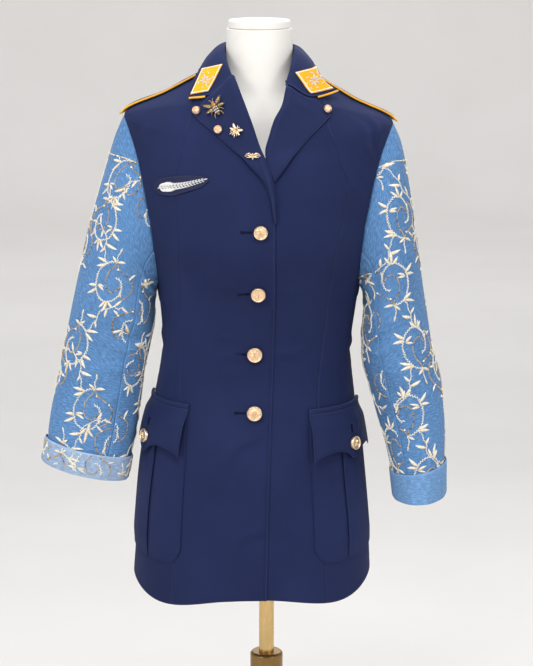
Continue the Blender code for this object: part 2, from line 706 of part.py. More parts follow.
def build_backs():
    for name, side in (("back_right", -1), ("back_left", 1)):
        levels = np.concatenate([LOWER_LEVELS, np.linspace(UNDERARM_LEVEL, 1.43, ARMHOLE_STEPS + 1)])
        centre = np.stack([np.full(len(levels), side * (180 - SIDE_SEAM)), levels], axis=-1)
        outer = side_line(side, False, side * SIDE_SEAM)
        shoulder = np.linspace(SHOULDER_LEVEL, NECK_LEVEL, 5)[1:]
        crest = np.stack([np.full(4, side * (90 + SIDE_SEAM)), shoulder], axis=-1)
        middle = np.linspace(1.43, NECK_LEVEL, 5)[1:]
        centre_top = np.stack([np.full(4, side * (180 - SIDE_SEAM)), middle], axis=-1)
        outer = np.concatenate([outer, crest])
        centre = np.concatenate([centre, centre_top])
        lines = (outer, centre) if side > 0 else (centre, outer)
        panel(name, *lines, 6, NAVY)


# ---------------------------------------------------------------- sleeves and cuffs
def sleeve_point(side, turn, share):
    """Points of a sleeve: turn round the armhole, share of the way down to its end."""
    turn, share = np.broadcast_arrays(np.asarray(turn, float), np.asarray(share, float))
    table = SLEEVE_RIGHT if side < 0 else SLEEVE_LEFT
    folds = SLEEVE_FOLDS_RIGHT if side < 0 else SLEEVE_FOLDS_LEFT
    rows = np.array(list(table.values()))
    sizes = smooth(np.linspace(0, 1, len(rows)), rows, share)
    start = smooth(np.linspace(0, 1, len(rows)), rows, np.zeros_like(share))
    angle, level = armhole(side, turn)
    seam = ring_point(BODY_RINGS, angle, level)
    cosine = np.cos(np.radians(turn))
    sine = np.sin(np.radians(turn))

    def ring(values):
        x = (values[..., 0] + values[..., 2]) / 2 + (values[..., 0] - values[..., 2]) / 2 * cosine
        z = (values[..., 1] + values[..., 3]) / 2 + (values[..., 1] - values[..., 3]) / 2 * cosine
        y = values[..., 4] - values[..., 5] * sine
        return np.stack([x, y, z], axis=-1)

    hold = (1 - ease(share / 0.25))[..., None]
    point = ring(sizes) + (seam - ring(start)) * hold
    centre = ring(sizes) * 0
    centre[..., 0] = (sizes[..., 0] + sizes[..., 2]) / 2
    centre[..., 1] = sizes[..., 4]
    centre[..., 2] = point[..., 2]
    outward = unit(point - centre)
    return point + outward * fold_height(folds, turn, share)[..., None]


def fold_height(folds, turn, share):
    """Soft ridges, each between two (turn, share) ends, that fade out at both ends."""
    total = np.zeros_like(share)
    degrees_per_share = 400.0
    for start_turn, start, end_turn, end, width, height in folds.values():
        along = np.array([end_turn - start_turn, (end - start) * degrees_per_share])
        length = np.linalg.norm(along)
        along = along / length
        offset_turn = turn - start_turn
        offset_share = (share - start) * degrees_per_share
        run = (offset_turn * along[0] + offset_share * along[1]) / length
        across = offset_turn * along[1] - offset_share * along[0]
        fade = np.exp(-(((run - 0.5) / 0.38) ** 4))
        total = total + height * fade * np.exp(-((across / width) ** 2))
    return total


def build_sleeve(side, label):
    steps = 2 * ARMHOLE_STEPS
    share = np.concatenate([[0.0, 0.035], np.linspace(0.035, 1.0, SLEEVE_ROWS)[1:]])
    turns = np.arange(steps) * 360.0 / steps
    grid_turn, grid_share = np.meshgrid(turns, share)
    middle = sleeve_point(side, grid_turn, grid_share)
    normal = grid_normals(middle, closed=True) * -side
    outward = middle - middle.mean(axis=1, keepdims=True)
    normal = normal * np.sign(np.sum(normal * outward, axis=-1))[..., None]
    angle, level = armhole(side, turns)
    seam_normal = unit(body(angle, level, 0.01) - body(angle, level, 0.0))
    normal[0] = seam_normal
    into_hole = unit(middle[0].mean(axis=0) - middle[0])
    into_hole = unit(into_hole - np.sum(into_hole * seam_normal, axis=-1, keepdims=True) * seam_normal)
    middle[0] = middle[0] + into_hole * 2 * GAP
    normal[1] = unit(normal[0] * 0.3 + normal[1])
    outer = middle + normal * WALL
    pieces = (
        (f"sleeve_{label}_top", np.arange(SLEEVE_BACK_SEAM - steps, SLEEVE_FRONT_SEAM + 1)),
        (f"sleeve_{label}_under", np.arange(SLEEVE_FRONT_SEAM, SLEEVE_BACK_SEAM + 1)),
    )
    for name, columns in pieces:
        columns = columns % steps
        part_outer = outer[:, columns].copy()
        part_inner = middle[:, columns].copy()
        for edge, beside in ((0, 1), (-1, -2)):
            inset = unit(part_inner[:, beside] - part_inner[:, edge]) * SLEEVE_SEAM
            part_outer[:, edge] += inset
            part_inner[:, edge] += inset
        wall_solid(name, part_outer, part_inner, SLEEVE_BLUE)
    return outer, normal


def build_cuff(side, label):
    """A turned-back cuff: a band round the sleeve's end, with the fold under it."""
    steps = 2 * ARMHOLE_STEPS
    turns = np.arange(steps) * 360.0 / steps
    length = 0.56
    top = 1 - CUFF_HEIGHT / length
    share = np.array([top, (1 + top) / 2, 1.0])
    grid_turn, grid_share = np.meshgrid(turns, share)
    ring = sleeve_point(side, grid_turn, grid_share)
    centre = ring.mean(axis=1, keepdims=True)
    outward = unit(ring - centre)
    axis = unit(centre[-1, 0] - centre[0, 0])
    flare = (CUFF_CLEARANCE + WALL + CUFF_FLARE * (grid_share - top) / (1 - top))[..., None]
    inner_band = ring + outward * flare
    outer_band = inner_band + outward * WALL
    drop = axis * (2 * GAP)
    bottom = ring[-1] + drop
    rows = [
        outer_band[0],
        outer_band[1],
        outer_band[2] + drop,
        (outer_band[2] + inner_band[2]) / 2 + drop + axis * WALL * 1.4,
        bottom + outward[-1] * WALL * 0.5 + axis * WALL * 1.4,
        bottom - outward[-1] * CUFF_LIP + axis * WALL,
        bottom - outward[-1] * CUFF_LIP + axis * GAP,
        inner_band[2] + drop,
        inner_band[1],
        inner_band[0],
    ]
    points = np.concatenate(rows)
    count = len(rows)
    faces = []
    for i in range(count):
        for j in range(steps):
            k = (j + 1) % steps
            n = (i + 1) % count
            faces.append((i * steps + j, i * steps + k, n * steps + k, n * steps + j))
    add_solid(f"cuff_{label}", points, faces, CUFF_BLUE, 0.8)


# ---------------------------------------------------------------- collar and lapels
def collar_table(side):
    """Control points of the collar at each station, for one side."""
    notch_x, notch_z = NOTCH_RIGHT if side < 0 else NOTCH_LEFT
    corner_x, corner_z = CORNER_RIGHT if side < 0 else CORNER_LEFT
    lapel = LAPEL_RIGHT if side < 0 else LAPEL_LEFT
    roll_x, roll_z = lapel["gorge"][:2]
    centre_x = BODY_RINGS["neck"][4]
    lift = np.array([0.0, 0.0, LAYER + GAP])
    shares = []
    stations = []
    for share, seam_angle, fold_x, fold_y, fold_z, edge_angle, edge_level, out in COLLAR_STATIONS.values():
        seam = body(side * seam_angle, NECK_LEVEL) + lift
        fold = np.array([centre_x + side * fold_x, fold_y, fold_z - side * 0.0015])
        outward = unit(np.array([side * fold_x, fold_y - 0.004, 0.0]))
        over = fold + outward * COLLAR_FOLD_WIDTH - np.array([0, 0, 0.001])
        edge = body(side * edge_angle, edge_level, out + WALL)
        middle = (over + edge) / 2 + outward * COLLAR_ARCH + np.array([0, 0, COLLAR_ARCH])
        shares.append(share)
        stations.append([seam, fold, over, middle, edge])
    angle, level = on_front(
        np.array([roll_x, notch_x, corner_x]),
        np.array([roll_z, notch_z, corner_z]),
    )
    level = level + GORGE_GAP
    inward, outmost, rolled = roll_section(angle[:1], level[:1], angle[1:2], level[1:2], np.ones(1))
    notch = body(angle[1], level[1], LAYER + LAPEL_LIFT + WALL)
    corner = body(angle[2], level[2], CORNER_OUT)
    stations.append([inward[0], outmost[0], rolled[0], notch, corner])
    shares.append(1.0)
    return np.array(shares), np.array(stations)


def roll_section(angle, level, edge_angle, edge_level, fullness):
    """Three points round each roll line: below its edge, past it and on top of it."""
    base = body(angle, level)
    normal = unit(body(angle, level, 0.01) - base)
    into = unit(body(edge_angle, edge_level) - base)
    into = unit(into - np.sum(into * normal, axis=-1, keepdims=True) * normal)
    full = fullness[:, None]
    below = base - into * (0.0010 + 0.6 * ROLL_LIP * full) - normal * GAP
    past = base - into * (0.0012 + ROLL_LIP * full) + normal * (0.0006 + 0.6 * ROLL_HEIGHT * full)
    above = base - into * 0.0008 + normal * (LAYER + ROLL_HEIGHT * full)
    return below, past, above


COLLAR_ACROSS = np.array([0.0, 0.36, 0.46, 0.76, 1.0])  # seam, fold, over the fold, middle, edge


def collar_point(around, across):
    """Points of the collar: around -1 (wearer's right gorge) to 1, across 0 (seam) to 1 (edge)."""
    around, across = np.broadcast_arrays(np.asarray(around, float), np.asarray(across, float))
    result = np.zeros(around.shape + (3,))
    for side in (-1, 1):
        chosen = (around < 0) if side < 0 else (around >= 0)
        shares, stations = collar_table(side)
        flat = stations.reshape(len(shares), -1)
        controls = smooth(shares, flat, np.abs(around[chosen])).reshape(-1, 5, 3)
        at = across[chosen]
        for n in range(len(at)):
            value = smooth(COLLAR_ACROSS, controls[n], at[n : n + 1])[0]
            result[tuple(index[n] for index in np.nonzero(chosen))] = value
    return result


def build_collar():
    around = np.concatenate([-np.linspace(1, 0.05, 12), np.linspace(0.05, 1, 12)])
    across = np.array([0.0, 0.18, 0.33, 0.41, 0.48, 0.60, 0.76, 0.90, 1.0])
    grid_around, grid_across = np.meshgrid(around, across)
    surface = collar_point(grid_around, grid_across)
    normal = grid_normals(surface)
    wall_solid("collar", surface, surface - normal * WALL, NAVY)


def build_collar_trim():
    for side, label in ((-1, "right"), (1, "left")):
        across = np.linspace(0.81, 0.99, 8)
        line = collar_point(np.full(8, side * 1.0), across)
        beside = collar_point(np.full(8, side * 0.97), across)
        away = unit(line - beside)
        tube(f"collar_piping_{label}", line + away * (PIPING_RADIUS + GAP * 2), PIPING_RADIUS, YELLOW)
        corners = np.array(list((PATCH_RIGHT if side < 0 else PATCH_LEFT).values()))
        down = np.linspace(0, 1, 7)[:, None, None]
        over = np.linspace(0, 1, 6)[None, :, None]
        top = corners[0] * (1 - over) + corners[1] * over
        bottom = corners[3] * (1 - over) + corners[2] * over
        place = top * (1 - down) + bottom * down
        surface = collar_point(place[..., 0], place[..., 1])
        normal = collar_normals(place[..., 0], place[..., 1])
        wall_solid(
            f"collar_patch_{label}",
            surface + normal * (PATCH_GAP + PATCH_WALL),
            surface + normal * PATCH_GAP,
            YELLOW,
        )


def collar_normals(around, across):
    turn = 0.004
    side = collar_point(around + turn, across) - collar_point(around - turn, across)
    up = collar_point(around, across + turn) - collar_point(around, across - turn)
    return unit(np.cross(side, up))


def build_lapel(side, label):
    table = LAPEL_RIGHT if side < 0 else LAPEL_LEFT
    notch = NOTCH_RIGHT if side < 0 else NOTCH_LEFT
    roll, edge = lapel_lines(table)
    notch_angle, notch_level = on_front(*notch)
    share = np.array([0.0, 0.2, 0.4, NOTCH_SHARE, 0.8, 1.0])
    rows = len(roll)
    grid = roll[:, None, :] * (1 - share[None, :, None]) + edge[:, None, :] * share[None, :, None]
    straight = grid[-1, 3]
    bend = np.array([notch_angle, notch_level]) - straight
    tent = np.where(share <= NOTCH_SHARE, share / NOTCH_SHARE, (1 - share) / (1 - NOTCH_SHARE))
    along = np.linspace(0, 1, rows)
    near_top = ease((along - 0.72) / 0.28)
    bow = GORGE_BOW * np.sin(math.pi * np.minimum(share / NOTCH_SHARE, 1.0))
    grid = grid + near_top[:, None, None] * tent[None, :, None] * bend[None, None, :]
    grid[..., 1] -= near_top[:, None] * bow[None, :]
    full = ease(0.1 + along / 0.22)
    under = lap_rise(grid[..., 0], grid[..., 1]) if side < 0 else 0.0
    height = LAYER + LAPEL_LIFT + ROLL_HEIGHT * full[:, None] * (1 - share) ** 3
    laid = body(grid[..., 0], grid[..., 1], under + height)
    section = roll_section(roll[:, 0], roll[:, 1], edge[:, 0], edge[:, 1], full)
    if side < 0:
        normal = unit(body(roll[:, 0], roll[:, 1], 0.01) - body(roll[:, 0], roll[:, 1]))
        section = [points + normal * lap_rise(roll[:, 0], roll[:, 1])[:, None] for points in section]
    laid[:, 0] = section[2]
    inner = np.concatenate([np.stack(section[:2], axis=1), laid], axis=1)
    if side < 0:
        inner = inner[:, ::-1]
    wall_solid(f"lapel_{label}", inner + grid_normals(inner) * WALL, inner, NAVY)


# ---------------------------------------------------------------- pockets and patches
def pocket_lift(across, up):
    """Height over the shell: a low panel, the open gap of the pleat, then its raised band."""
    full = POCKET_RISE * ease((1 - np.abs(across)) / 0.35) * ease((up + 0.02) / 0.15)
    panel, floor, floor_end, band, band_end, outer = PLEAT_LINES
    opened = ease((up - 0.04) / 0.12)
    floor_share = POCKET_SHARE + (PLEAT_FLOOR - POCKET_SHARE) * opened
    down = np.clip((across - panel) / (floor - panel), 0, 1)
    raised = np.clip((across - floor_end) / (band - floor_end), 0, 1)
    lowered = np.clip((across - band_end) / (outer - band_end), 0, 1)
    share = POCKET_SHARE + (floor_share - POCKET_SHARE) * down + (1 - floor_share) * raised
    return full * (share - (1 - POCKET_SHARE) * 0.6 * lowered)


POCKET_COLUMNS = np.array(
    [-1.0, -0.96, -0.88, -0.76, -0.55, -0.42, *PLEAT_LINES[:4], -0.12, 0.05, *PLEAT_LINES[4:], 0.40]
    + [0.55, 0.76, 0.88, 0.96, 1.0]
)


def pocket_angle(pocket, across, level):
    """Angle of a share of the pocket's width; its inner edge leans under the flap's at the top."""
    inner = pocket["inner"] + (pocket["flap"] - pocket["inner"]) * ease((level - 0.90) / 0.08)
    centre = pocket["centre"]
    outer = pocket["outer"]
    return centre + np.where(across < 0, (centre - inner) * across, (outer - centre) * across)


def build_pocket(pocket, label):
    across = POCKET_COLUMNS
    past = np.clip((np.abs(across) - 0.70) / 0.30, 0, 1)
    lowest = pocket["low"] + POCKET_CORNER * (1 - np.sqrt(1 - past**2 * 0.98))
    up = np.array([0.0, 0.05, 0.12, 0.25, 0.42, 0.60, 0.80, 1.0])[:, None]
    level = lowest[None, :] * (1 - up) + pocket["top"] * up
    across = np.broadcast_to(across, level.shape)
    angle = pocket_angle(pocket, across, level)
    lift = LAYER + pocket_lift(across, up)
    outer_grid = body(angle, level, lift + POCKET_WALL)
    wall_solid(f"pocket_{label}", outer_grid, body(angle, level, lift), NAVY)


def flap_angle(pocket, across):
    inner, centre, outer = pocket["flap"], pocket["centre"], pocket["outer"]
    return centre + np.where(across < 0, (centre - inner) * across, (outer - centre) * across)


def flap_length(across):
    """Length of the three-pointed flap: corners and centre point longer than the scallops."""
    return smooth(list(FLAP_LENGTHS), list(FLAP_LENGTHS.values()), np.abs(across))[..., 0]


def build_flap(pocket, label):
    across = np.linspace(-1, 1, 17)
    down = np.array([1.0, 0.82, 0.55, 0.25, 0.0])[:, None]
    level = pocket["top"] - GAP * 4 - flap_length(across)[None, :] * down
    angle = np.broadcast_to(flap_angle(pocket, across), level.shape)
    base = LAYER + POCKET_RISE + POCKET_WALL + 3 * GAP
    lift = base + (FLAP_OUT - POCKET_RISE) * np.sin(down * math.pi * 0.5)
    wall_solid(
        f"flap_{label}", body(angle, level, lift + WALL), body(angle, level, lift), NAVY
    )
    button_level = pocket["top"] - FLAP_BUTTON_DROP
    button_share = FLAP_BUTTON_DROP / FLAP_LENGTHS[0.0]
    button_out = (FLAP_OUT - POCKET_RISE) * math.sin(button_share * math.pi * 0.5)
    button_lift = base + button_out + WALL + GAP * 3
    centre = np.array(pocket["centre"])
    place, axes = seat_on_body(centre, np.array(button_level), np.array(button_lift))
    build_button(f"button_flap_{label}", place, axes, 0.92)
    welt_across = np.linspace(0, 1, 13)
    welt_angle = (pocket["flap"] + (pocket["outer"] - pocket["flap"]) * welt_across)[None, :]
    welt_level = pocket["top"] + np.array([GAP * 4, WELT_HEIGHT])[:, None]
    welt_angle, welt_level = np.broadcast_arrays(welt_angle, welt_level)
    wall_solid(
        f"welt_{label}",
        body(welt_angle, welt_level, LAYER + 0.0045),
        body(welt_angle, welt_level, LAYER),
        NAVY,
    )


def build_breast_patch():
    across = np.concatenate([-BREAST_COLUMNS, [0.0], BREAST_COLUMNS[::-1]])
    edges = smooth(list(BREAST_EDGES), list(BREAST_EDGES.values()), across)
    up = np.array([0.0, 0.5, 1.0])[:, None]
    x = BREAST_PATCH["centre x"] + BREAST_PATCH["width"] / 2 * across[None, :] + 0 * up
    z = BREAST_PATCH["centre z"] + edges[:, 0] * (1 - up) + edges[:, 1] * up
    angle, level = on_front(x, z)
    wall_solid(
        "breast_patch",
        body(angle, level, LAYER + 0.0016),
        body(angle, level, LAYER),
        NAVY,
    )


# ---------------------------------------------------------------- epaulettes
def angle_of_y(side, level, y):
    """The angle near the side at which the ring at this level reaches this y."""
    sizes = table_curve(BODY_RINGS, level)
    offset = np.asarray(y, float) - sizes[..., 4]
    depth = np.where(offset < 0, sizes[..., 1], sizes[..., 2])
    share = np.clip(np.abs(offset) / depth, 0, 1) ** (sizes[..., 9] / 2)
    away = np.degrees(np.arcsin(share)) * np.sign(-offset)
    return side * (90.0 - away)


def epaulette_grid(side, along, across):
    """Angle and level of the strap: along 0 (armhole) to 1 (collar), across -1 (front) to 1."""
    level = EPAULETTE["outer"] + (EPAULETTE["inner"] - EPAULETTE["outer"]) * along
    half = EPAULETTE["outer half"] + (EPAULETTE["inner half"] - EPAULETTE["outer half"]) * along
    return angle_of_y(side, level, half * across + EPAULETTE_BACK), level


def epaulette_lift(along):
    """Height of the strap's underside over the shell, with room for the bend at the armhole."""
    return EPAULETTE_OUT + EPAULETTE_END_LIFT * (1 - along) ** 4


def build_epaulette(side, label):
    along = np.linspace(0, 1, 9)
    across = np.linspace(-1, 1, 7)
    grid_across, grid_along = np.meshgrid(across, along)
    angle, level = epaulette_grid(side, grid_along, grid_across)
    lift = epaulette_lift(grid_along)
    high = body(angle, level, lift + EPAULETTE_WALL)
    wall_solid(f"epaulette_{label}", high, body(angle, level, lift), NAVY)
    front = [(s, -1.0) for s in np.linspace(1, 0, 9)]
    end = [(0.0, s) for s in (-0.667, -0.333, 0.0, 0.333, 0.667)]
    back = [(s, 1.0) for s in np.linspace(0, 1, 9)]
    edge = np.array(front + end + back)
    lift = epaulette_lift(edge[:, 0]) + EPAULETTE_WALL / 2
    angle, level = epaulette_grid(side, edge[:, 0], edge[:, 1])
    path = body(angle, level, lift)
    at_end = edge[:, 0] == 0
    within = edge[:, 1] * np.where(at_end & (np.abs(edge[:, 1]) < 1), 1.0, 0.85)
    angle, level = epaulette_grid(side, edge[:, 0] + 0.06 * at_end, within)
    away = unit(path - body(angle, level, lift))
    tube(f"epaulette_piping_{label}", path + away * (PIPING_RADIUS + GAP * 4), PIPING_RADIUS, YELLOW)


# ---------------------------------------------------------------- hard trim
def build_button(name, place, axes, scale):
    """A domed metal button with a raised rim and a turned relief."""
    r = BUTTON_RADIUS * scale
    profile = [
        (0, 0),
        (0.55 * r, 0),
        (0.60 * r, 0.0016),
        (r, 0.0020),
        (1.0 * r, 0.0036),
        (0.90 * r, 0.0046),
        (0.78 * r, 0.0038),
        (0.45 * r, 0.0044),
        (0, 0.0051),
    ]
    turned(name, profile, 16, place, axes, GOLD)


def build_studs():
    for name, x, z in (
        ("stud_1", -0.0984, 1.4315),
        ("stud_2", -0.0681, 1.4081),
        ("stud_3", 0.0849, 1.4322),
    ):
        under = 3 * LAYER + LAPEL_LIFT
        place, axes = seat_on_front(np.array(x), np.array(z), np.array(under))
        r = STUD_RADIUS
        profile = [(0, 0), (0.8 * r, 0), (r, 0.0012), (0.86 * r, 0.0026), (0.55 * r, 0.0052), (0, 0.0064)]
        turned(name, profile, 14, place, axes, GOLD)


def relief_plate(name, outline, place, axes, height, segments, colour):
    """A flat-backed relief whose outline is a radius for each turn."""
    turns = np.linspace(0, 2 * np.pi, segments, endpoint=False)
    radius = np.array([outline(t) for t in turns])
    direction = np.stack([np.cos(turns), np.sin(turns)], axis=-1)
    rings = []
    for share, rise in ((1.0, 0.0), (1.0, 0.35), (0.7, 0.75)):
        flat = direction * (radius * share)[:, None]
        rings.append(np.concatenate([flat, np.full((segments, 1), rise * height)], axis=1))
    points = np.concatenate([[[0, 0, 0]], *rings, [[0, 0, height]]])
    faces = []
    for j in range(segments):
        k = (j + 1) % segments
        faces.append((0, 1 + k, 1 + j))
        for i in range(2):
            low = 1 + i * segments
            faces.append((low + j, low + k, low + segments + k, low + segments + j))
        faces.append((1 + 2 * segments + j, 1 + 2 * segments + k, len(points) - 1))
    placed = points @ np.asarray(axes) + np.asarray(place)
    add_solid(name, placed, faces, colour, 0.35, 1.0)


def lobes(base, peaks):
    """An outline with rounded peaks: base radius and (turn, radius, width) peaks in degrees."""

    def outline(turn):
        radius = base
        for peak_turn, peak_radius, width in peaks:
            away = (math.degrees(turn) - peak_turn + 180) % 360 - 180
            radius = max(radius, peak_radius * math.exp(-((away / width) ** 2)))
        return radius

    return outline


BEE = (
    (70, 0.0185, 16),
    (112, 0.0165, 12),
    (205, 0.0190, 14),
    (235, 0.0160, 10),
    (325, 0.0170, 24),
    (25, 0.0150, 9),
)
SMALL_BEE = ((60, 0.0105, 20), (230, 0.0115, 22), (340, 0.0070, 20))
BAR = ((0, 0.0120, 16), (180, 0.0120, 16), (270, 0.0060, 30))


# brooches: x, z, height over the shell, middle radius, peaks, relief height, points round it
BROOCHES = {
    "brooch_large": (-0.0706, 1.4358, 0.0074, 0.0085, BEE, 0.0075, 48),
    "brooch_small": (-0.0439, 1.4061, 0.0088, 0.0055, SMALL_BEE, 0.0050, 32),
    "brooch_bar": (-0.0196, 1.3709, 0.0108, 0.0035, BAR, 0.0040, 28),
}


def build_brooches():
    for name, (x, z, out, base, peaks, height, segments) in BROOCHES.items():
        place, axes = seat_on_front(np.array(x), np.array(z), np.array(out))
        relief_plate(name, lobes(base, peaks), place, axes, height, segments, GOLD)


def build_front_buttons():
    for name, (x, z, scale) in BUTTON_PLACES.items():
        under = 2 * LAYER + WALL * 0.2 + 0.0012
        place, axes = seat_on_front(np.array(x), np.array(z), np.array(under))
        build_button(name, place, axes, scale)


# ---------------------------------------------------------------- dress form and stand
UPRIGHT = np.eye(3)


def build_form():
    levels = np.array(
        [0.862, 0.8655, 0.872, 0.89, 0.92, 0.97, 1.03, 1.08, 1.13, 1.172, 1.206, 1.24, 1.275]
        + [1.31, 1.34, 1.365, 1.383, 1.398, 1.413, 1.428, 1.445, 1.462, 1.49, 1.5465]
    )
    angles = np.linspace(0, 360, FORM_SEGMENTS, endpoint=False)
    signed = (angles + 180) % 360 - 180
    grid_angle, grid_level = np.meshgrid(signed, levels)
    grid = ring_point(FORM_RINGS, grid_angle, grid_level)
    points = grid.reshape(-1, 3)
    faces = []
    for i in range(len(levels) - 1):
        for j in range(FORM_SEGMENTS):
            k = (j + 1) % FORM_SEGMENTS
            low = i * FORM_SEGMENTS
            high = low + FORM_SEGMENTS
            faces.append((low + j, low + k, high + k, high + j))
    faces.append(tuple(reversed(range(FORM_SEGMENTS))))
    top = (len(levels) - 1) * FORM_SEGMENTS
    faces.append(tuple(range(top, top + FORM_SEGMENTS)))
    add_solid("form_torso", points, faces, WHITE, 0.6)
    centre = FORM_RINGS["neck top"]
    base = centre[0] + GAP
    profile = [
        (0, 0),
        (CAP_RADIUS - 0.001, 0),
        (CAP_RADIUS, 0.001),
        (CAP_RADIUS, CAP_TOP - base - 0.002),
        (CAP_RADIUS - 0.002, CAP_TOP - base),
        (0, CAP_TOP - base),
    ]
    turned("form_neck_cap", profile, 28, (centre[4], centre[5], base), UPRIGHT, WHITE, 0.5, 0.0)


def build_stand():
    pole = [
        (0, POLE_BOTTOM),
        (POLE_RADIUS - 0.001, POLE_BOTTOM),
        (POLE_RADIUS, POLE_BOTTOM + 0.001),
        (POLE_RADIUS, POLE_TOP),
        (0, POLE_TOP),
    ]
    turned("stand_pole", pole, 28, (0, 0, 0), UPRIGHT, BRASS, 0.3)
    bottom = BASE_BOSS_HEIGHT + GAP
    wide = TUBE_RADIUS + TUBE_COLLAR_EXTRA
    collar = TUBE_TOP - TUBE_COLLAR_HEIGHT
    outline = [
        (TUBE_BORE, bottom),
        (TUBE_RADIUS, bottom),
        (TUBE_RADIUS, collar - 0.002),
        (wide, collar),
        (wide, TUBE_TOP - 0.003),
        (wide - 0.003, TUBE_TOP),
        (TUBE_BORE, TUBE_TOP),
    ]
    turned("stand_tube", outline, 28, (0, 0, 0), UPRIGHT, BRASS, 0.3, ring=True)
    base = [
        (0, 0),
        (BASE_RADIUS - 0.002, 0),
        (BASE_RADIUS, 0.002),
        (BASE_RADIUS, BASE_HEIGHT * 0.6),
        (BASE_RADIUS - 0.004, BASE_HEIGHT * 0.85),
        (BASE_BOSS_RADIUS + 0.012, BASE_HEIGHT + 0.003),
        (BASE_BOSS_RADIUS, BASE_BOSS_HEIGHT * 0.8),
        (BASE_BOSS_RADIUS - 0.006, BASE_BOSS_HEIGHT),
        (0, BASE_BOSS_HEIGHT),
    ]
    turned("stand_base", base, 36, (0, 0, 0), UPRIGHT, BRASS, 0.3)


def build_all():
    build_front_centres()
    build_front_sides()
    build_backs()
    for side, label, pocket in ((-1, "right", POCKET_RIGHT), (1, "left", POCKET_LEFT)):
        build_sleeve(side, label)
        build_cuff(side, label)
        build_lapel(side, label)
        build_pocket(pocket, label)
        build_flap(pocket, label)
        build_epaulette(side, label)
    build_collar()
    build_collar_trim()
    build_breast_patch()
    build_studs()
    build_brooches()
    build_front_buttons()
    build_form()
    build_stand()


build_all()
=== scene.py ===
"""Looks of the blazer on its dress form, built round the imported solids."""

import math

import bpy
import numpy as np
from mathutils import Matrix


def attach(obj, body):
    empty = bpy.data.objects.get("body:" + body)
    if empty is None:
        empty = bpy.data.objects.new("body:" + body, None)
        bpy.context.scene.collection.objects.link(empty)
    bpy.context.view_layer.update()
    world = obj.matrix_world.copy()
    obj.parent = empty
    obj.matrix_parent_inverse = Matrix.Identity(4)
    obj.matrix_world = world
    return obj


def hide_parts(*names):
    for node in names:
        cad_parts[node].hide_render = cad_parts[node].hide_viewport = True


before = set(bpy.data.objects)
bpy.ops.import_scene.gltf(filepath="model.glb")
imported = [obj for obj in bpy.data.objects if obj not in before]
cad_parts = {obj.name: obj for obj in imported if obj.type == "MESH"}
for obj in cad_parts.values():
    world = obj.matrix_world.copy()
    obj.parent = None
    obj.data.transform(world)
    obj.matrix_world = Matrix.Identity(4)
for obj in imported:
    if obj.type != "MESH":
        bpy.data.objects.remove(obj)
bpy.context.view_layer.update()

# ---------------------------------------------------------------- sizes shared with the solids
LAPEL_ROWS = 76
WALL = 0.0016  # thickness of the shell cloth
GAP = 0.0003  # clearance between neighbouring pieces
LAYER = WALL + 2 * GAP  # one cloth thickness with its clearance
HEM_LEVEL = 0.727
BREAK_LEVEL = 1.285  # where the lapels start to turn back
UNDERARM_LEVEL = 1.172
SHOULDER_LEVEL = 1.414
PRINCESS_LEVEL = 1.472  # where the front seams reach the shoulder seam
NECK_LEVEL = 1.487
ARMHOLE_FRONT = 29.5  # degrees the armhole reaches forward of the side
ARMHOLE_BACK = 28.0
ARMHOLE_FULLNESS = 0.78  # under 1 squares the armhole's top and bottom
BUST_OUT = 0.012
BUST_ANGLE = 40.0
BUST_SPREAD = 24.0
BUST_LEVEL = 1.240
BUST_HEIGHT = 0.065
# level, half width, front depth, back depth, centre x, centre y, front rise, back rise,
# quarter dip, sideways tilt, squareness
BODY_RINGS = {
    "hem": (0.727, 0.179, 0.130, 0.140, -0.0225, 0.000, -0.0110, -0.008, -0.018, 0.012, 2.30),
    "above hem": (0.790, 0.175, 0.127, 0.138, -0.0215, 0.000, -0.0030, -0.002, -0.004, 0.006, 2.30),
    "low hip": (0.870, 0.168, 0.122, 0.134, -0.0215, 0.000, 0.0, 0.0, 0.0, 0.0, 2.30),
    "high hip": (0.950, 0.158, 0.115, 0.123, -0.0200, 0.000, 0.0, 0.0, 0.0, 0.0, 2.30),
    "welt": (1.000, 0.149, 0.109, 0.112, -0.0180, 0.000, 0.0, 0.0, 0.0, 0.0, 2.30),
    "waist": (1.080, 0.1395, 0.102, 0.100, -0.0148, 0.000, 0.0, 0.0, 0.0, 0.0, 2.25),
    "ribs": (1.140, 0.1445, 0.108, 0.107, -0.0125, 0.000, 0.0, 0.0, 0.0, 0.0, 2.25),
    "underarm": (1.172, 0.1500, 0.114, 0.112, -0.0120, 0.000, 0.0, 0.0, 0.0, 0.0, 2.25),
    "bust": (1.240, 0.1680, 0.124, 0.119, -0.0128, 0.000, 0.0, 0.0, 0.0, -0.005, 2.25),
    "chest": (1.310, 0.1840, 0.124, 0.119, -0.0124, 0.000, -0.002, 0.0, 0.0, -0.012, 2.25),
    "blades": (1.370, 0.1920, 0.117, 0.112, -0.0118, 0.000, -0.012, 0.0, 0.0, -0.020, 2.20),
    "shoulder": (1.414, 0.1960, 0.108, 0.103, -0.0116, 0.000, -0.028, 0.004, 0.0, -0.028, 2.10),
    "yoke": (1.448, 0.1330, 0.099, 0.090, -0.0112, 0.002, -0.026, 0.010, 0.0, -0.032, 2.05),
    "neck": (1.487, 0.0640, 0.086, 0.066, -0.0106, 0.006, -0.014, 0.014, 0.0, -0.030, 2.00),
}
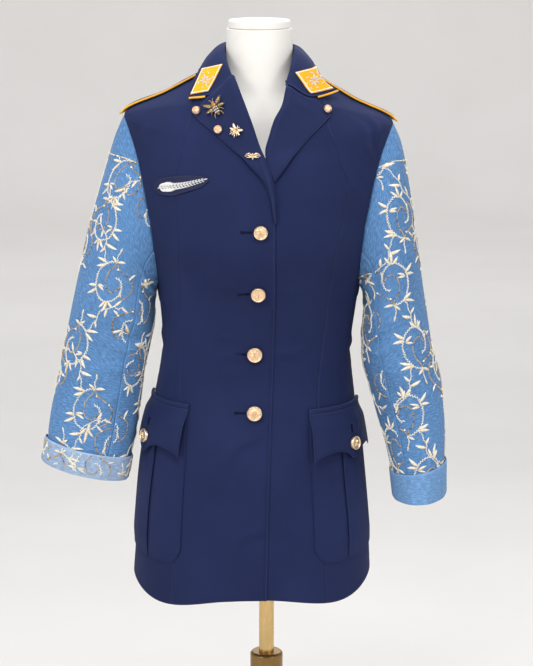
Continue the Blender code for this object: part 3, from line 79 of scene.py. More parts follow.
# the front seams seen from the front, from the hem up: z and x
PRINCESS_RIGHT = {
    "hem": (0.727, -0.1400),
    "pocket": (0.870, -0.1310),
    "welt": (1.012, -0.1252),
    "ribs": (1.136, -0.1244),
    "bust": (1.204, -0.1254),
    "chest": (1.2680, -0.1275),
    "high chest": (1.3110, -0.1297),
    "breast": (1.3500, -0.1271),
    "yoke": (1.3740, -0.1209),
    "under strap": (1.4070, -0.1118),
    "strap": (1.4440, -0.1048),
}
PRINCESS_LEFT = {
    "hem": (0.727, 0.0900),
    "pocket": (0.870, 0.0790),
    "welt": (1.0140, 0.0745),
    "waist": (1.0735, 0.0791),
    "ribs": (1.1381, 0.0866),
    "bust": (1.1982, 0.0934),
    "chest": (1.2496, 0.1021),
    "high chest": (1.2918, 0.1112),
    "breast": (1.3311, 0.1157),
    "yoke": (1.3464, 0.1110),
    "under strap": (1.3828, 0.0987),
    "shoulder": (1.4121, 0.0880),
    "strap": (1.4425, 0.0813),
}
# the wearer's right front edge, at each height: x
RIGHT_EDGE = {
    "hem": (0.727, 0.0000),
    "hip": (0.900, 0.0040),
    "waist": (1.080, 0.0100),
    "bust": (1.230, 0.0130),
    "break": (1.285, 0.0125),
}
LEFT_EDGE_X = -0.040  # the under front's hidden edge
UNDER_EDGE_X = 0.045  # where the under front begins to lie back
UNDER_BLEND = 0.025
LAP_START_X = -0.075  # where the over front begins to rise over it
LAP_FULL_X = -0.046
LAP_TOP = (1.375, 0.045)  # level above which the fronts part, and the height over which it fades
UNDER_SINK = 0.0008  # how far the under front lies back below the over front
# lapels: x and z of the roll line, x and z of the outer edge, from the lower end up
LAPEL_RIGHT = {
    "break": (0.0122, 1.2800, 0.0098, 1.2850),
    "low": (0.0088, 1.3100, 0.0045, 1.3150),
    "crossing": (0.0045, 1.3320, -0.0040, 1.3370),
    "middle": (-0.0044, 1.3583, -0.0202, 1.3559),
    "upper": (-0.0142, 1.3822, -0.0415, 1.3763),
    "high": (-0.0260, 1.4160, -0.0719, 1.4024),
    "top": (-0.0400, 1.4530, -0.0940, 1.4190),
    "gorge": (-0.0499, 1.4795, -0.1067, 1.4292),
}
LAPEL_LEFT = {
    "crossing": (0.0008, 1.3650, 0.0110, 1.3385),
    "low": (0.0025, 1.3780, 0.0222, 1.3529),
    "middle": (0.0085, 1.3970, 0.0404, 1.3759),
    "upper": (0.0162, 1.4202, 0.0649, 1.4018),
    "high": (0.0275, 1.4420, 0.0810, 1.4160),
    "gorge": (0.0322, 1.4650, 0.0926, 1.4262),
}
NOTCH_RIGHT = (-0.0838, 1.4515)
NOTCH_LEFT = (0.0682, 1.4482)
GORGE_BOW = 0.0036  # how far the lapel's top dips between the roll line and the notch
NOTCH_SHARE = 0.60  # of the way from the roll line to the tip
CORNER_RIGHT = (-0.1125, 1.4430)
CORNER_LEFT = (0.1030, 1.4490)
CORNER_OUT = 0.0105  # the collar's corners lie over the shoulder straps
LAPEL_LIFT = 0.0008
ROLL_HEIGHT = 0.0035
ROLL_LIP = 0.0036  # how far the roll bulges past the roll line
GORGE_GAP = 0.0026  # between the lapel's top and the collar's end, with the seam's turnings
# collar stations from the centre back (0) to the gorge (1):
# share, seam angle, fold x, y, z, and the outer edge's angle, level and height over the shell
COLLAR_STATIONS = {
    "centre back": (0.00, 180.0, 0.0000, 0.0700, 1.5235, 180.0, 1.4610, 0.006),
    "back quarter": (0.25, 145.0, 0.0330, 0.0560, 1.5235, 140.0, 1.4640, 0.006),
    "back side": (0.45, 115.0, 0.0490, 0.0260, 1.5215, 112.0, 1.4700, 0.006),
    "side": (0.62, 90.0, 0.0500, -0.0080, 1.5165, 90.0, 1.4765, 0.0078),
    "front side": (0.82, 60.0, 0.0460, -0.0450, 1.5000, 70.0, 1.4685, 0.0078),
}
PATCH_GAP = 0.0012
PATCH_WALL = 0.0014
COLLAR_FOLD_WIDTH = 0.0070
COLLAR_ARCH = 0.003
# sleeves: x and z of the outer line, x and z of the inner line, centre y and half depth
SLEEVE_RIGHT = {
    "armhole": (-0.2075, 1.4150, -0.1600, 1.1740, 0.000, 0.068),
    "head": (-0.2200, 1.3900, -0.1660, 1.1560, -0.002, 0.069),
    "upper arm": (-0.2400, 1.3280, -0.1680, 1.1340, -0.004, 0.066),
    "biceps": (-0.2610, 1.2560, -0.1700, 1.1060, -0.006, 0.062),
    "above elbow": (-0.2800, 1.1750, -0.1765, 1.0720, -0.010, 0.057),
    "elbow": (-0.2950, 1.1050, -0.1850, 1.0350, -0.014, 0.053),
    "forearm": (-0.3085, 1.0390, -0.1905, 0.9950, -0.020, 0.049),
    "wrist": (-0.3230, 0.9700, -0.1990, 0.9400, -0.026, 0.046),
    "end": (-0.3300, 0.9090, -0.2150, 0.8820, -0.032, 0.044),
}
SLEEVE_LEFT = {
    "armhole": (0.1840, 1.4060, 0.1400, 1.1700, 0.000, 0.068),
    "head": (0.1960, 1.3800, 0.1470, 1.1520, -0.004, 0.070),
    "upper arm": (0.2090, 1.3180, 0.1460, 1.1250, -0.008, 0.069),
    "biceps": (0.2190, 1.2500, 0.1435, 1.0950, -0.012, 0.067),
    "above elbow": (0.2310, 1.1660, 0.1445, 1.0600, -0.018, 0.064),
    "elbow": (0.2450, 1.0830, 0.1520, 1.0300, -0.025, 0.061),
    "forearm": (0.2590, 1.0230, 0.1640, 0.9860, -0.034, 0.059),
    "wrist": (0.2645, 0.9500, 0.1810, 0.9280, -0.045, 0.058),
    "end": (0.2610, 0.8660, 0.1960, 0.8600, -0.056, 0.058),
}
SLEEVE_SEAM = 0.0010  # each side of a sleeve seam, enough for its folded edges to stay apart
SLEEVE_FRONT_SEAM = 8  # in steps of the armhole ring from the shoulder
SLEEVE_BACK_SEAM = 17
CUFF_HEIGHT = 0.038
CUFF_CLEARANCE = 0.0022
CUFF_FLARE = 0.0030
CUFF_LIP = 0.0030
# soft folds in the sleeves: turn and share down the sleeve at both ends, width in degrees
# and height of the ridge
SLEEVE_FOLDS_RIGHT = {
    "inner elbow": (150.0, 0.40, 60.0, 0.52, 16.0, 0.0040),
    "forearm": (140.0, 0.62, 50.0, 0.74, 15.0, 0.0035),
    "head": (40.0, 0.06, 70.0, 0.26, 14.0, 0.0025),
    "back elbow": (215.0, 0.44, 300.0, 0.56, 16.0, 0.0035),
}
SLEEVE_FOLDS_LEFT = {
    "inner elbow": (140.0, 0.38, 70.0, 0.50, 16.0, 0.0040),
    "forearm": (130.0, 0.60, 55.0, 0.70, 14.0, 0.0035),
    "head": (45.0, 0.05, 65.0, 0.24, 14.0, 0.0025),
    "back elbow": (220.0, 0.46, 300.0, 0.58, 16.0, 0.0035),
}
# pockets: angle of the inner edge, of the flap's inner edge, of the centre and of the outer edge, levels
POCKET_RIGHT = {"inner": -33.6, "flap": -36.4, "centre": -66.8, "outer": -94.0, "top": 0.998, "low": 0.774}
POCKET_LEFT = {"inner": 28.5, "flap": 28.9, "centre": 58.4, "outer": 87.5, "top": 0.992, "low": 0.774}
POCKET_CORNER = 0.024
POCKET_RISE = 0.004
POCKET_WALL = 0.0014
# share of the half width from the flap's centre point to its corner: length
FLAP_LENGTHS = {
    0.00: 0.0725,
    0.06: 0.0718,
    0.20: 0.0636,
    0.35: 0.0600,
    0.50: 0.0588,
    0.65: 0.0592,
    0.80: 0.0613,
    0.92: 0.0648,
    1.00: 0.0692,
}
FLAP_OUT = 0.009
WELT_HEIGHT = 0.007
BREAST_PATCH = {"centre x": -0.1205, "centre z": 1.3300, "width": 0.079}
# share of the half width: lower and upper edge over the patch's centre
BREAST_EDGES = {
    -1.00: (-0.0034, 0.0000),
    -0.94: (-0.0080, 0.0046),
    -0.75: (-0.0136, 0.0090),
    -0.35: (-0.0146, 0.0124),
    0.00: (-0.0104, 0.0144),
    0.35: (-0.0058, 0.0153),
    0.70: (-0.0006, 0.0149),
    0.92: (0.0060, 0.0133),
    1.00: (0.0086, 0.0118),
}
# epaulettes: level at the outer end and at the inner end, half width at both
EPAULETTE = {"outer": 1.4165, "inner": 1.4720, "outer half": 0.023, "inner half": 0.018}
EPAULETTE_BACK = 0.020  # how far the strap's middle lies behind the body's
EPAULETTE_OUT = 0.0034
EPAULETTE_END_LIFT = 0.0018
EPAULETTE_WALL = 0.0024
PIPING_RADIUS = 0.0015
BUTTON_RADIUS = 0.0112
BUTTON_PLACES = {
    "button_front_1": (-0.0081, 1.2663, 0.92),
    "button_front_2": (-0.0119, 1.1759, 0.97),
    "button_front_3": (-0.0170, 1.0834, 1.0),
    "button_front_4": (-0.0175, 0.9966, 1.0),
}
FLAP_BUTTON_DROP = 0.051
STUD_RADIUS = 0.0064
# level, half width, front, back, centre x, centre y, front rise, back rise, dip, tilt, squareness
FORM_RINGS = {
    "under": (0.862, 0.100, 0.070, 0.075, -0.0120, 0.000, 0.0, 0.0, 0.0, 0.0, 2.2),
    "edge": (0.872, 0.135, 0.098, 0.106, -0.0190, 0.000, 0.0, 0.0, 0.0, 0.0, 2.2),
    "hip": (0.900, 0.150, 0.108, 0.116, -0.0205, 0.000, 0.0, 0.0, 0.0, 0.0, 2.2),
    "high hip": (0.960, 0.143, 0.102, 0.108, -0.0195, 0.000, 0.0, 0.0, 0.0, 0.0, 2.2),
    "waist": (1.080, 0.125, 0.090, 0.088, -0.0148, 0.000, 0.0, 0.0, 0.0, 0.0, 2.2),
    "ribs": (1.172, 0.132, 0.102, 0.100, -0.0120, 0.000, 0.0, 0.0, 0.0, 0.0, 2.2),
    "bust": (1.240, 0.142, 0.112, 0.105, -0.0125, 0.000, 0.0, 0.0, 0.0, 0.0, 2.2),
    "chest": (1.310, 0.152, 0.108, 0.104, -0.0120, 0.000, -0.006, 0.0, 0.0, -0.012, 2.2),
    "blades": (1.365, 0.160, 0.094, 0.096, -0.0115, 0.000, -0.014, 0.0, 0.0, -0.02, 2.1),
    "shoulder": (1.398, 0.155, 0.080, 0.086, -0.0113, 0.002, -0.014, 0.0, 0.0, -0.02, 2.0),
    "slope": (1.428, 0.112, 0.068, 0.074, -0.0110, 0.004, -0.008, 0.006, 0.0, -0.02, 2.0),
    "neck base": (1.462, 0.063, 0.054, 0.056, -0.0107, 0.006, -0.004, 0.006, 0.0, 0.0, 2.0),
    "neck": (1.490, 0.0505, 0.0500, 0.050, -0.0105, 0.006, 0.0, 0.0, 0.0, 0.0, 2.0),
    "neck top": (1.5465, 0.0478, 0.0478, 0.0478, -0.0104, 0.006, 0.0, 0.0, 0.0, 0.0, 2.0),
}
CAP_RADIUS = 0.0455
CAP_TOP = 1.5590
POLE_RADIUS = 0.0115
POLE_BOTTOM = 0.330
POLE_TOP = FORM_RINGS["under"][0] - GAP
TUBE_RADIUS = 0.0225
TUBE_BORE = POLE_RADIUS + 0.0001  # sliding fit
TUBE_TOP = 0.590
TUBE_COLLAR_HEIGHT = 0.032
TUBE_COLLAR_EXTRA = 0.0025
BASE_RADIUS = 0.170
BASE_HEIGHT = 0.016
BASE_BOSS_RADIUS = 0.040
BASE_BOSS_HEIGHT = 0.034


def smooth(knots, values, at):
    """A smooth curve through the values that never overshoots them."""
    knots = np.asarray(knots, float)
    values = np.asarray(values, float).reshape(len(knots), -1)
    at = np.asarray(at, float)
    flat = np.clip(at.ravel(), knots[0], knots[-1])
    widths = np.diff(knots)[:, None]
    rises = np.diff(values, axis=0) / widths
    slopes = np.zeros_like(values)
    slopes[0] = rises[0]
    slopes[-1] = rises[-1]
    before = rises[:-1]
    after = rises[1:]
    same_way = before * after > 0
    total = np.where(same_way, before + after, 1.0)
    slopes[1:-1] = np.where(same_way, 2 * before * after / total, 0.0)
    index = np.clip(np.searchsorted(knots, flat, side="right") - 1, 0, len(knots) - 2)
    width = widths[index]
    u = (flat[:, None] - knots[index][:, None]) / width
    start = values[index]
    end = values[index + 1]
    lift = slopes[index] * width
    land = slopes[index + 1] * width
    curve = (
        start * (2 * u**3 - 3 * u**2 + 1)
        + end * (3 * u**2 - 2 * u**3)
        + lift * (u**3 - 2 * u**2 + u)
        + land * (u**3 - u**2)
    )
    return curve.reshape(at.shape + (values.shape[1],))


def table_curve(table, at):
    """The rows of a named table as one smooth curve of their first column."""
    rows = np.array(list(table.values()))
    return smooth(rows[:, 0], rows[:, 1:], at)


def ease(value):
    """A smooth step from 0 to 1."""
    value = np.clip(value, 0.0, 1.0)
    return value * value * (3 - 2 * value)


def unit(vectors):
    """The same vectors at length 1."""
    return vectors / np.maximum(np.linalg.norm(vectors, axis=-1, keepdims=True), 1e-12)


def ring_point(rings, angle, level):
    """Points of a ring-lofted surface at these angles and levels."""
    angle, level = np.broadcast_arrays(np.asarray(angle, float), np.asarray(level, float))
    sizes = np.moveaxis(table_curve(rings, level), -1, 0)
    half_width, front, back, centre_x, centre_y, front_rise, back_rise, dip, tilt, power = sizes
    sine = np.sin(np.radians(angle))
    cosine = np.cos(np.radians(angle))
    in_front = cosine > 0
    x = half_width * np.sign(sine) * np.abs(sine) ** (2 / power)
    depth = np.where(in_front, -front, back)
    y = centre_y + depth * np.abs(cosine) ** (2 / power)
    rise = np.where(in_front, front_rise, back_rise) * cosine**2
    quarter = np.where(in_front, dip, dip / 2) * (2 * sine * cosine) ** 2
    z = level + rise + quarter + tilt * x
    across = (np.abs(angle) - BUST_ANGLE) / BUST_SPREAD
    up = (level - BUST_LEVEL) / BUST_HEIGHT
    y = y - BUST_OUT * np.exp(-(across**2) - up**2)
    return np.stack([centre_x + x, y, z], axis=-1)


def plain_body(angle, level, out=0.0):
    """Points of the blazer's shell, moved out along its normal."""
    angle, level, out = np.broadcast_arrays(
        np.asarray(angle, float), np.asarray(level, float), np.asarray(out, float)
    )
    point = ring_point(BODY_RINGS, angle, level)
    turn = 0.4
    lift = 0.0008
    across = ring_point(BODY_RINGS, angle + turn, level) - ring_point(BODY_RINGS, angle - turn, level)
    up = ring_point(BODY_RINGS, angle, level + lift) - ring_point(BODY_RINGS, angle, level - lift)
    normal = unit(np.cross(across, up))
    return point + normal * out[..., None]


def angle_of_x(x, level):
    """The front angle at which the ring at this level reaches this x."""
    sizes = table_curve(BODY_RINGS, level)
    share = (np.asarray(x, float) - sizes[..., 3]) / sizes[..., 0]
    share = np.clip(share, -1.0, 1.0)
    return np.degrees(np.arcsin(np.sign(share) * np.abs(share) ** (sizes[..., 9] / 2)))


def on_front(x, z):
    """Angle and level of the front's point that is seen at this x and z."""
    x = np.asarray(x, float)
    z = np.asarray(z, float)
    level = z.copy()
    for _ in range(30):
        angle = angle_of_x(x, level)
        level = level + 0.7 * (z - ring_point(BODY_RINGS, angle, level)[..., 2])
        level = np.clip(level, HEM_LEVEL, NECK_LEVEL)
    return angle_of_x(x, level), level


def armhole(side, turn):
    """Angle and level of the armhole: turn 0 is the shoulder, 90 the front, 180 the underarm."""
    turn = np.asarray(turn, float)
    forward = np.sin(np.radians(turn))
    spread = np.where(forward > 0, ARMHOLE_FRONT, ARMHOLE_BACK)
    level = UNDERARM_LEVEL + (SHOULDER_LEVEL - UNDERARM_LEVEL) * (1 + np.cos(np.radians(turn))) / 2
    reach = np.sign(forward) * np.abs(forward) ** ARMHOLE_FULLNESS
    return side * (90.0 - spread * reach), level


def grid_normals(grid, closed=False):
    """Normals of a grid of points, from its neighbours."""
    if closed:
        across = np.roll(grid, -1, axis=1) - np.roll(grid, 1, axis=1)
    else:
        across = np.gradient(grid, axis=1)
    up = np.gradient(grid, axis=0)
    return unit(np.cross(across, up))


def seat_on_front(x, z, out):
    """Place and axes of a small piece that sits on the front at this x and z."""
    angle, level = on_front(x, z)
    return seat_on_body(angle, level, out)


def seat_on_body(angle, level, out):
    """Place and axes (rows: across, up, outward) of something set on the shell."""
    base = body(angle, level, out)
    normal = unit(body(angle, level, out + 0.01) - base)
    across = unit(np.cross(np.array([0.0, 0.0, 1.0]), normal))
    return base, np.stack([across, np.cross(normal, across), normal])


SEAM = 0.02  # degrees by which a panel stops short of a front seam
SIDE_SEAM = 0.008  # and of the side, shoulder and centre-back seams


def armhole_line(side, front):
    """The armhole from the underarm to the shoulder, as (angle, level) rows."""
    turns = np.linspace(180, 0, ARMHOLE_STEPS + 1)
    if not front:
        turns = 360 - turns
    angle, level = armhole(side, turns)
    return np.stack([angle, level], axis=-1)


def side_line(side, front, stop_short):
    """Side seam, then armhole; stop_short is the signed inset from the side seam in degrees."""
    seam = np.stack([np.full(len(LOWER_LEVELS), side * 90.0), LOWER_LEVELS], axis=-1)
    line = np.concatenate([seam, armhole_line(side, front)])
    line[: len(LOWER_LEVELS) + 1, 0] += stop_short
    line[-1, 0] += stop_short
    return line


def princess_line(side, table):
    """The front seam as (angle, level) rows that match a side line's rows."""
    rows = np.array(list(table.values()))
    low_x = smooth(rows[:, 0], rows[:, 1], LOWER_LEVELS)[:, 0]
    low = np.stack([angle_of_x(low_x, LOWER_LEVELS), LOWER_LEVELS], axis=-1)
    heights = np.linspace(UNDERARM_LEVEL, rows[-1, 0], ARMHOLE_STEPS)
    high_x = smooth(rows[:, 0], rows[:, 1], heights)[:, 0]
    high = np.stack(on_front(high_x, heights), axis=-1)
    crest = np.array([[side * 90.0, PRINCESS_LEVEL]])
    return np.concatenate([low, high, crest])


def shifted(line, degrees):
    """A line of (angle, level) moved round the body."""
    line = line.copy()
    line[:, 0] += degrees
    return line


def lapel_lines(table):
    """Roll line and outer edge of a lapel as (angle, level) rows."""
    rows = np.array(list(table.values()))
    knots = np.linspace(0, 1, len(rows))
    share = np.linspace(0, 1, LAPEL_ROWS)
    line = smooth(knots, rows, share)
    roll = np.stack(on_front(line[:, 0], line[:, 1]), axis=-1)
    edge = np.stack(on_front(line[:, 2], line[:, 3]), axis=-1)
    return roll, edge


def lap_rise(angle, level):
    """How far the over front stands off, so that the under front fits below it."""
    x = ring_point(BODY_RINGS, angle, level)[..., 0]
    below = 1 - ease((level - LAP_TOP[0]) / LAP_TOP[1])
    return LAYER * below * ease((x - LAP_START_X) / (LAP_FULL_X - LAP_START_X))


def under_sink(angle, level):
    """How far the under front lies back where the over front covers it."""
    x = ring_point(BODY_RINGS, angle, level)[..., 0]
    return -UNDER_SINK * ease((UNDER_EDGE_X - x) / UNDER_BLEND)


def neck_line(start_angle, end_angle, count):
    """Points along the neck ring between two angles, as angle and level."""
    angles = np.linspace(start_angle, end_angle, count)
    return np.stack([angles, np.full(count, NECK_LEVEL)], axis=-1)


def resampled(line, count):
    """The same polyline with rows at equal shares of its length on the body."""
    points = ring_point(BODY_RINGS, line[:, 0], line[:, 1])
    steps = np.linalg.norm(np.diff(points, axis=0), axis=1)
    along = np.concatenate([[0], np.cumsum(steps)])
    at = np.linspace(0, along[-1], count)
    return np.stack([np.interp(at, along, line[:, 0]), np.interp(at, along, line[:, 1])], axis=-1)


def sleeve_point(side, turn, share):
    """Points of a sleeve: turn round the armhole, share of the way down to its end."""
    turn, share = np.broadcast_arrays(np.asarray(turn, float), np.asarray(share, float))
    table = SLEEVE_RIGHT if side < 0 else SLEEVE_LEFT
    folds = SLEEVE_FOLDS_RIGHT if side < 0 else SLEEVE_FOLDS_LEFT
    rows = np.array(list(table.values()))
    sizes = smooth(np.linspace(0, 1, len(rows)), rows, share)
    start = smooth(np.linspace(0, 1, len(rows)), rows, np.zeros_like(share))
    angle, level = armhole(side, turn)
    seam = body(angle, level)
    cosine = np.cos(np.radians(turn))
    sine = np.sin(np.radians(turn))

    def ring(values):
        x = (values[..., 0] + values[..., 2]) / 2 + (values[..., 0] - values[..., 2]) / 2 * cosine
        z = (values[..., 1] + values[..., 3]) / 2 + (values[..., 1] - values[..., 3]) / 2 * cosine
        y = values[..., 4] - values[..., 5] * sine
        return np.stack([x, y, z], axis=-1)

    hold = (1 - ease(share / 0.25))[..., None]
    point = ring(sizes) + (seam - ring(start)) * hold
    centre = ring(sizes) * 0
    centre[..., 0] = (sizes[..., 0] + sizes[..., 2]) / 2
    centre[..., 1] = sizes[..., 4]
    centre[..., 2] = point[..., 2]
    outward = unit(point - centre)
    return point + outward * fold_height(folds, turn, share)[..., None]


def fold_height(folds, turn, share):
    """Soft ridges, each between two (turn, share) ends, that fade out at both ends."""
    total = np.zeros_like(share)
    degrees_per_share = 400.0
    for start_turn, start, end_turn, end, width, height in folds.values():
        along = np.array([end_turn - start_turn, (end - start) * degrees_per_share])
        length = np.linalg.norm(along)
        along = along / length
        offset_turn = turn - start_turn
        offset_share = (share - start) * degrees_per_share
        run = (offset_turn * along[0] + offset_share * along[1]) / length
        across = offset_turn * along[1] - offset_share * along[0]
        fade = np.exp(-(((run - 0.5) / 0.38) ** 4))
        total = total + height * fade * np.exp(-((across / width) ** 2))
    return total


def collar_table(side):
    """Control points of the collar at each station, for one side."""
    notch_x, notch_z = NOTCH_RIGHT if side < 0 else NOTCH_LEFT
    corner_x, corner_z = CORNER_RIGHT if side < 0 else CORNER_LEFT
    lapel = LAPEL_RIGHT if side < 0 else LAPEL_LEFT
    roll_x, roll_z = lapel["gorge"][:2]
    centre_x = BODY_RINGS["neck"][4]
    lift = np.array([0.0, 0.0, LAYER + GAP])
    shares = []
    stations = []
    for share, seam_angle, fold_x, fold_y, fold_z, edge_angle, edge_level, out in COLLAR_STATIONS.values():
        seam = body(side * seam_angle, NECK_LEVEL) + lift
        fold = np.array([centre_x + side * fold_x, fold_y, fold_z - side * 0.0015])
        outward = unit(np.array([side * fold_x, fold_y - 0.004, 0.0]))
        over = fold + outward * COLLAR_FOLD_WIDTH - np.array([0, 0, 0.001])
        edge = body(side * edge_angle, edge_level, out + WALL)
        middle = (over + edge) / 2 + outward * COLLAR_ARCH + np.array([0, 0, COLLAR_ARCH])
        shares.append(share)
        stations.append([seam, fold, over, middle, edge])
    angle, level = on_front(
        np.array([roll_x, notch_x, corner_x]),
        np.array([roll_z, notch_z, corner_z]),
    )
    level = level + GORGE_GAP
    inward, outmost, rolled = roll_section(angle[:1], level[:1], angle[1:2], level[1:2], np.ones(1))
    notch = body(angle[1], level[1], LAYER + LAPEL_LIFT + WALL)
    corner = body(angle[2], level[2], CORNER_OUT)
    stations.append([inward[0], outmost[0], rolled[0], notch, corner])
    shares.append(1.0)
    return np.array(shares), np.array(stations)


def roll_section(angle, level, edge_angle, edge_level, fullness):
    """Three points round each roll line: below its edge, past it and on top of it."""
    base = body(angle, level)
    normal = unit(body(angle, level, 0.01) - base)
    into = unit(body(edge_angle, edge_level) - base)
    into = unit(into - np.sum(into * normal, axis=-1, keepdims=True) * normal)
    full = fullness[:, None]
    below = base - into * (0.0010 + 0.6 * ROLL_LIP * full) - normal * GAP
    past = base - into * (0.0012 + ROLL_LIP * full) + normal * (0.0006 + 0.6 * ROLL_HEIGHT * full)
    above = base - into * 0.0008 + normal * (LAYER + ROLL_HEIGHT * full)
    return below, past, above


COLLAR_ACROSS = np.array([0.0, 0.36, 0.46, 0.76, 1.0])  # seam, fold, over the fold, middle, edge


def collar_normals(around, across):
    """Outward normals of the collar at these places."""
    turn = 0.004
    side = collar_point(around + turn, across) - collar_point(around - turn, across)
    up = collar_point(around, across + turn) - collar_point(around, across - turn)
    return unit(np.cross(side, up))


def pocket_angle(pocket, across, level):
    """Angle of a share of the pocket's width; its inner edge leans under the flap's at the top."""
    inner = pocket["inner"] + (pocket["flap"] - pocket["inner"]) * ease((level - 0.90) / 0.08)
    centre = pocket["centre"]
    outer = pocket["outer"]
    return centre + np.where(across < 0, (centre - inner) * across, (outer - centre) * across)


def flap_angle(pocket, across):
    """Angle of a share of the flap's width."""
    inner, centre, outer = pocket["flap"], pocket["centre"], pocket["outer"]
    return centre + np.where(across < 0, (centre - inner) * across, (outer - centre) * across)


def flap_length(across):
    """Length of the three-pointed flap: corners and centre point longer than the scallops."""
    return smooth(list(FLAP_LENGTHS), list(FLAP_LENGTHS.values()), np.abs(across))[..., 0]


def angle_of_y(side, level, y):
    """The angle near the side at which the ring at this level reaches this y."""
    sizes = table_curve(BODY_RINGS, level)
    offset = np.asarray(y, float) - sizes[..., 4]
    depth = np.where(offset < 0, sizes[..., 1], sizes[..., 2])
    share = np.clip(np.abs(offset) / depth, 0, 1) ** (sizes[..., 9] / 2)
    away = np.degrees(np.arcsin(share)) * np.sign(-offset)
    return side * (90.0 - away)


def epaulette_grid(side, along, across):
    """Angle and level of the strap: along 0 (armhole) to 1 (collar), across -1 (front) to 1."""
    level = EPAULETTE["outer"] + (EPAULETTE["inner"] - EPAULETTE["outer"]) * along
    half = EPAULETTE["outer half"] + (EPAULETTE["inner half"] - EPAULETTE["outer half"]) * along
    return angle_of_y(side, level, half * across + EPAULETTE_BACK), level


def epaulette_lift(along):
    """Height of the strap's underside over the shell, with room for the bend at the armhole."""
    return EPAULETTE_OUT + EPAULETTE_END_LIFT * (1 - along) ** 4


# brooches: x, z and height over the shell
BROOCHES = {
    "brooch_large": (-0.0706, 1.4358, 0.0074),
    "brooch_small": (-0.0439, 1.4061, 0.0088),
    "brooch_bar": (-0.0196, 1.3709, 0.0108),
}


# ---------------------------------------------------------------- finer grids than the solids
ARMHOLE_STEPS = 64
LOWER_LEVELS = np.concatenate(
    [HEM_LEVEL + np.array([0.0, 0.0008, 0.002, 0.0045]), np.linspace(0.735, 1.168, 118)]
)


def smooth_each(knots, values, at):
    """A smooth curve for each sample: values is (samples, knots, columns), at is (samples,)."""
    knots = np.asarray(knots, float)
    widths = np.diff(knots)[None, :, None]
    rises = np.diff(values, axis=1) / widths
    slopes = np.zeros_like(values)
    slopes[:, 0] = rises[:, 0]
    slopes[:, -1] = rises[:, -1]
    before = rises[:, :-1]
    after = rises[:, 1:]
    same_way = before * after > 0
    total = np.where(same_way, before + after, 1.0)
    slopes[:, 1:-1] = np.where(same_way, 2 * before * after / total, 0.0)
    flat = np.clip(at, knots[0], knots[-1])
    index = np.clip(np.searchsorted(knots, flat, side="right") - 1, 0, len(knots) - 2)
    rows = np.arange(len(at))
    width = (knots[index + 1] - knots[index])[:, None]
    u = (flat - knots[index])[:, None] / width
    start = values[rows, index]
    end = values[rows, index + 1]
    lift = slopes[rows, index] * width
    land = slopes[rows, index + 1] * width
    return (
        start * (2 * u**3 - 3 * u**2 + 1)
        + end * (3 * u**2 - 2 * u**3)
        + lift * (u**3 - 2 * u**2 + u)
        + land * (u**3 - u**2)
    )


def collar_point(around, across):
    """Points of the collar: around -1 (wearer's right gorge) to 1, across 0 (seam) to 1 (edge)."""
    around, across = np.broadcast_arrays(np.asarray(around, float), np.asarray(across, float))
    result = np.zeros(around.shape + (3,))
    for side in (-1, 1):
        chosen = (around < 0) if side < 0 else (around >= 0)
        shares, stations = COLLAR_TABLES[side]
        flat = stations.reshape(len(shares), -1)
        controls = smooth(shares, flat, np.abs(around[chosen])).reshape(-1, 5, 3)
        result[chosen] = smooth_each(COLLAR_ACROSS, controls, across[chosen])
    return result


# ---------------------------------------------------------------- meshes
def grid_faces(rows, columns, closed=False):
    """Quads of a grid of points; closed joins the last column to the first."""
    i = np.arange(rows - 1)[:, None]
    j = np.arange(columns if closed else columns - 1)[None, :]
    first = i * columns + j
    second = i * columns + (j + 1) % columns
    return np.stack([first, second, second + columns, first + columns], axis=-1).reshape(-1, 4)


def end_fans(rows, steps):
    """Triangles that close both ends of a stack of rings, to the two points that follow it."""
    j = np.arange(steps)
    k = (j + 1) % steps
    size = rows * steps
    return np.concatenate([
        np.stack([k, j, np.full(steps, size)], axis=-1),
        np.stack([j + size - steps, k + size - steps, np.full(steps, size + 1)], axis=-1),
    ])


def wall_faces(rows, columns, closed=False):
    """Faces of a wall whose outer grid comes first and its inner grid after it."""
    size = rows * columns
    outer = grid_faces(rows, columns, closed)
    parts = [outer, outer[:, ::-1] + size]
    j = np.arange(columns if closed else columns - 1)
    k = (j + 1) % columns
    last = (rows - 1) * columns
    parts.append(np.stack([k, j, j + size, k + size], axis=-1))
    parts.append(np.stack([j, k, k + size, j + size], axis=-1) + last)
    if not closed:
        i = np.arange(rows - 1) * columns
        parts.append(np.stack([i, i + columns, i + columns + size, i + size], axis=-1))
        edge = i + columns - 1
        parts.append(np.stack([edge + columns, edge, edge + size, edge + columns + size], axis=-1))
    return np.concatenate(parts)


def signed_volume(points, faces):
    """Six times the volume that the faces enclose."""
    total = 0.0
    groups = faces if isinstance(faces, list) else [faces]
    for group in groups:
        for second in range(1, group.shape[1] - 1):
            a = points[group[:, 0]]
            b = points[group[:, second]]
            c = points[group[:, second + 1]]
            total += np.einsum("ij,ij->", a, np.cross(b, c))
    return total


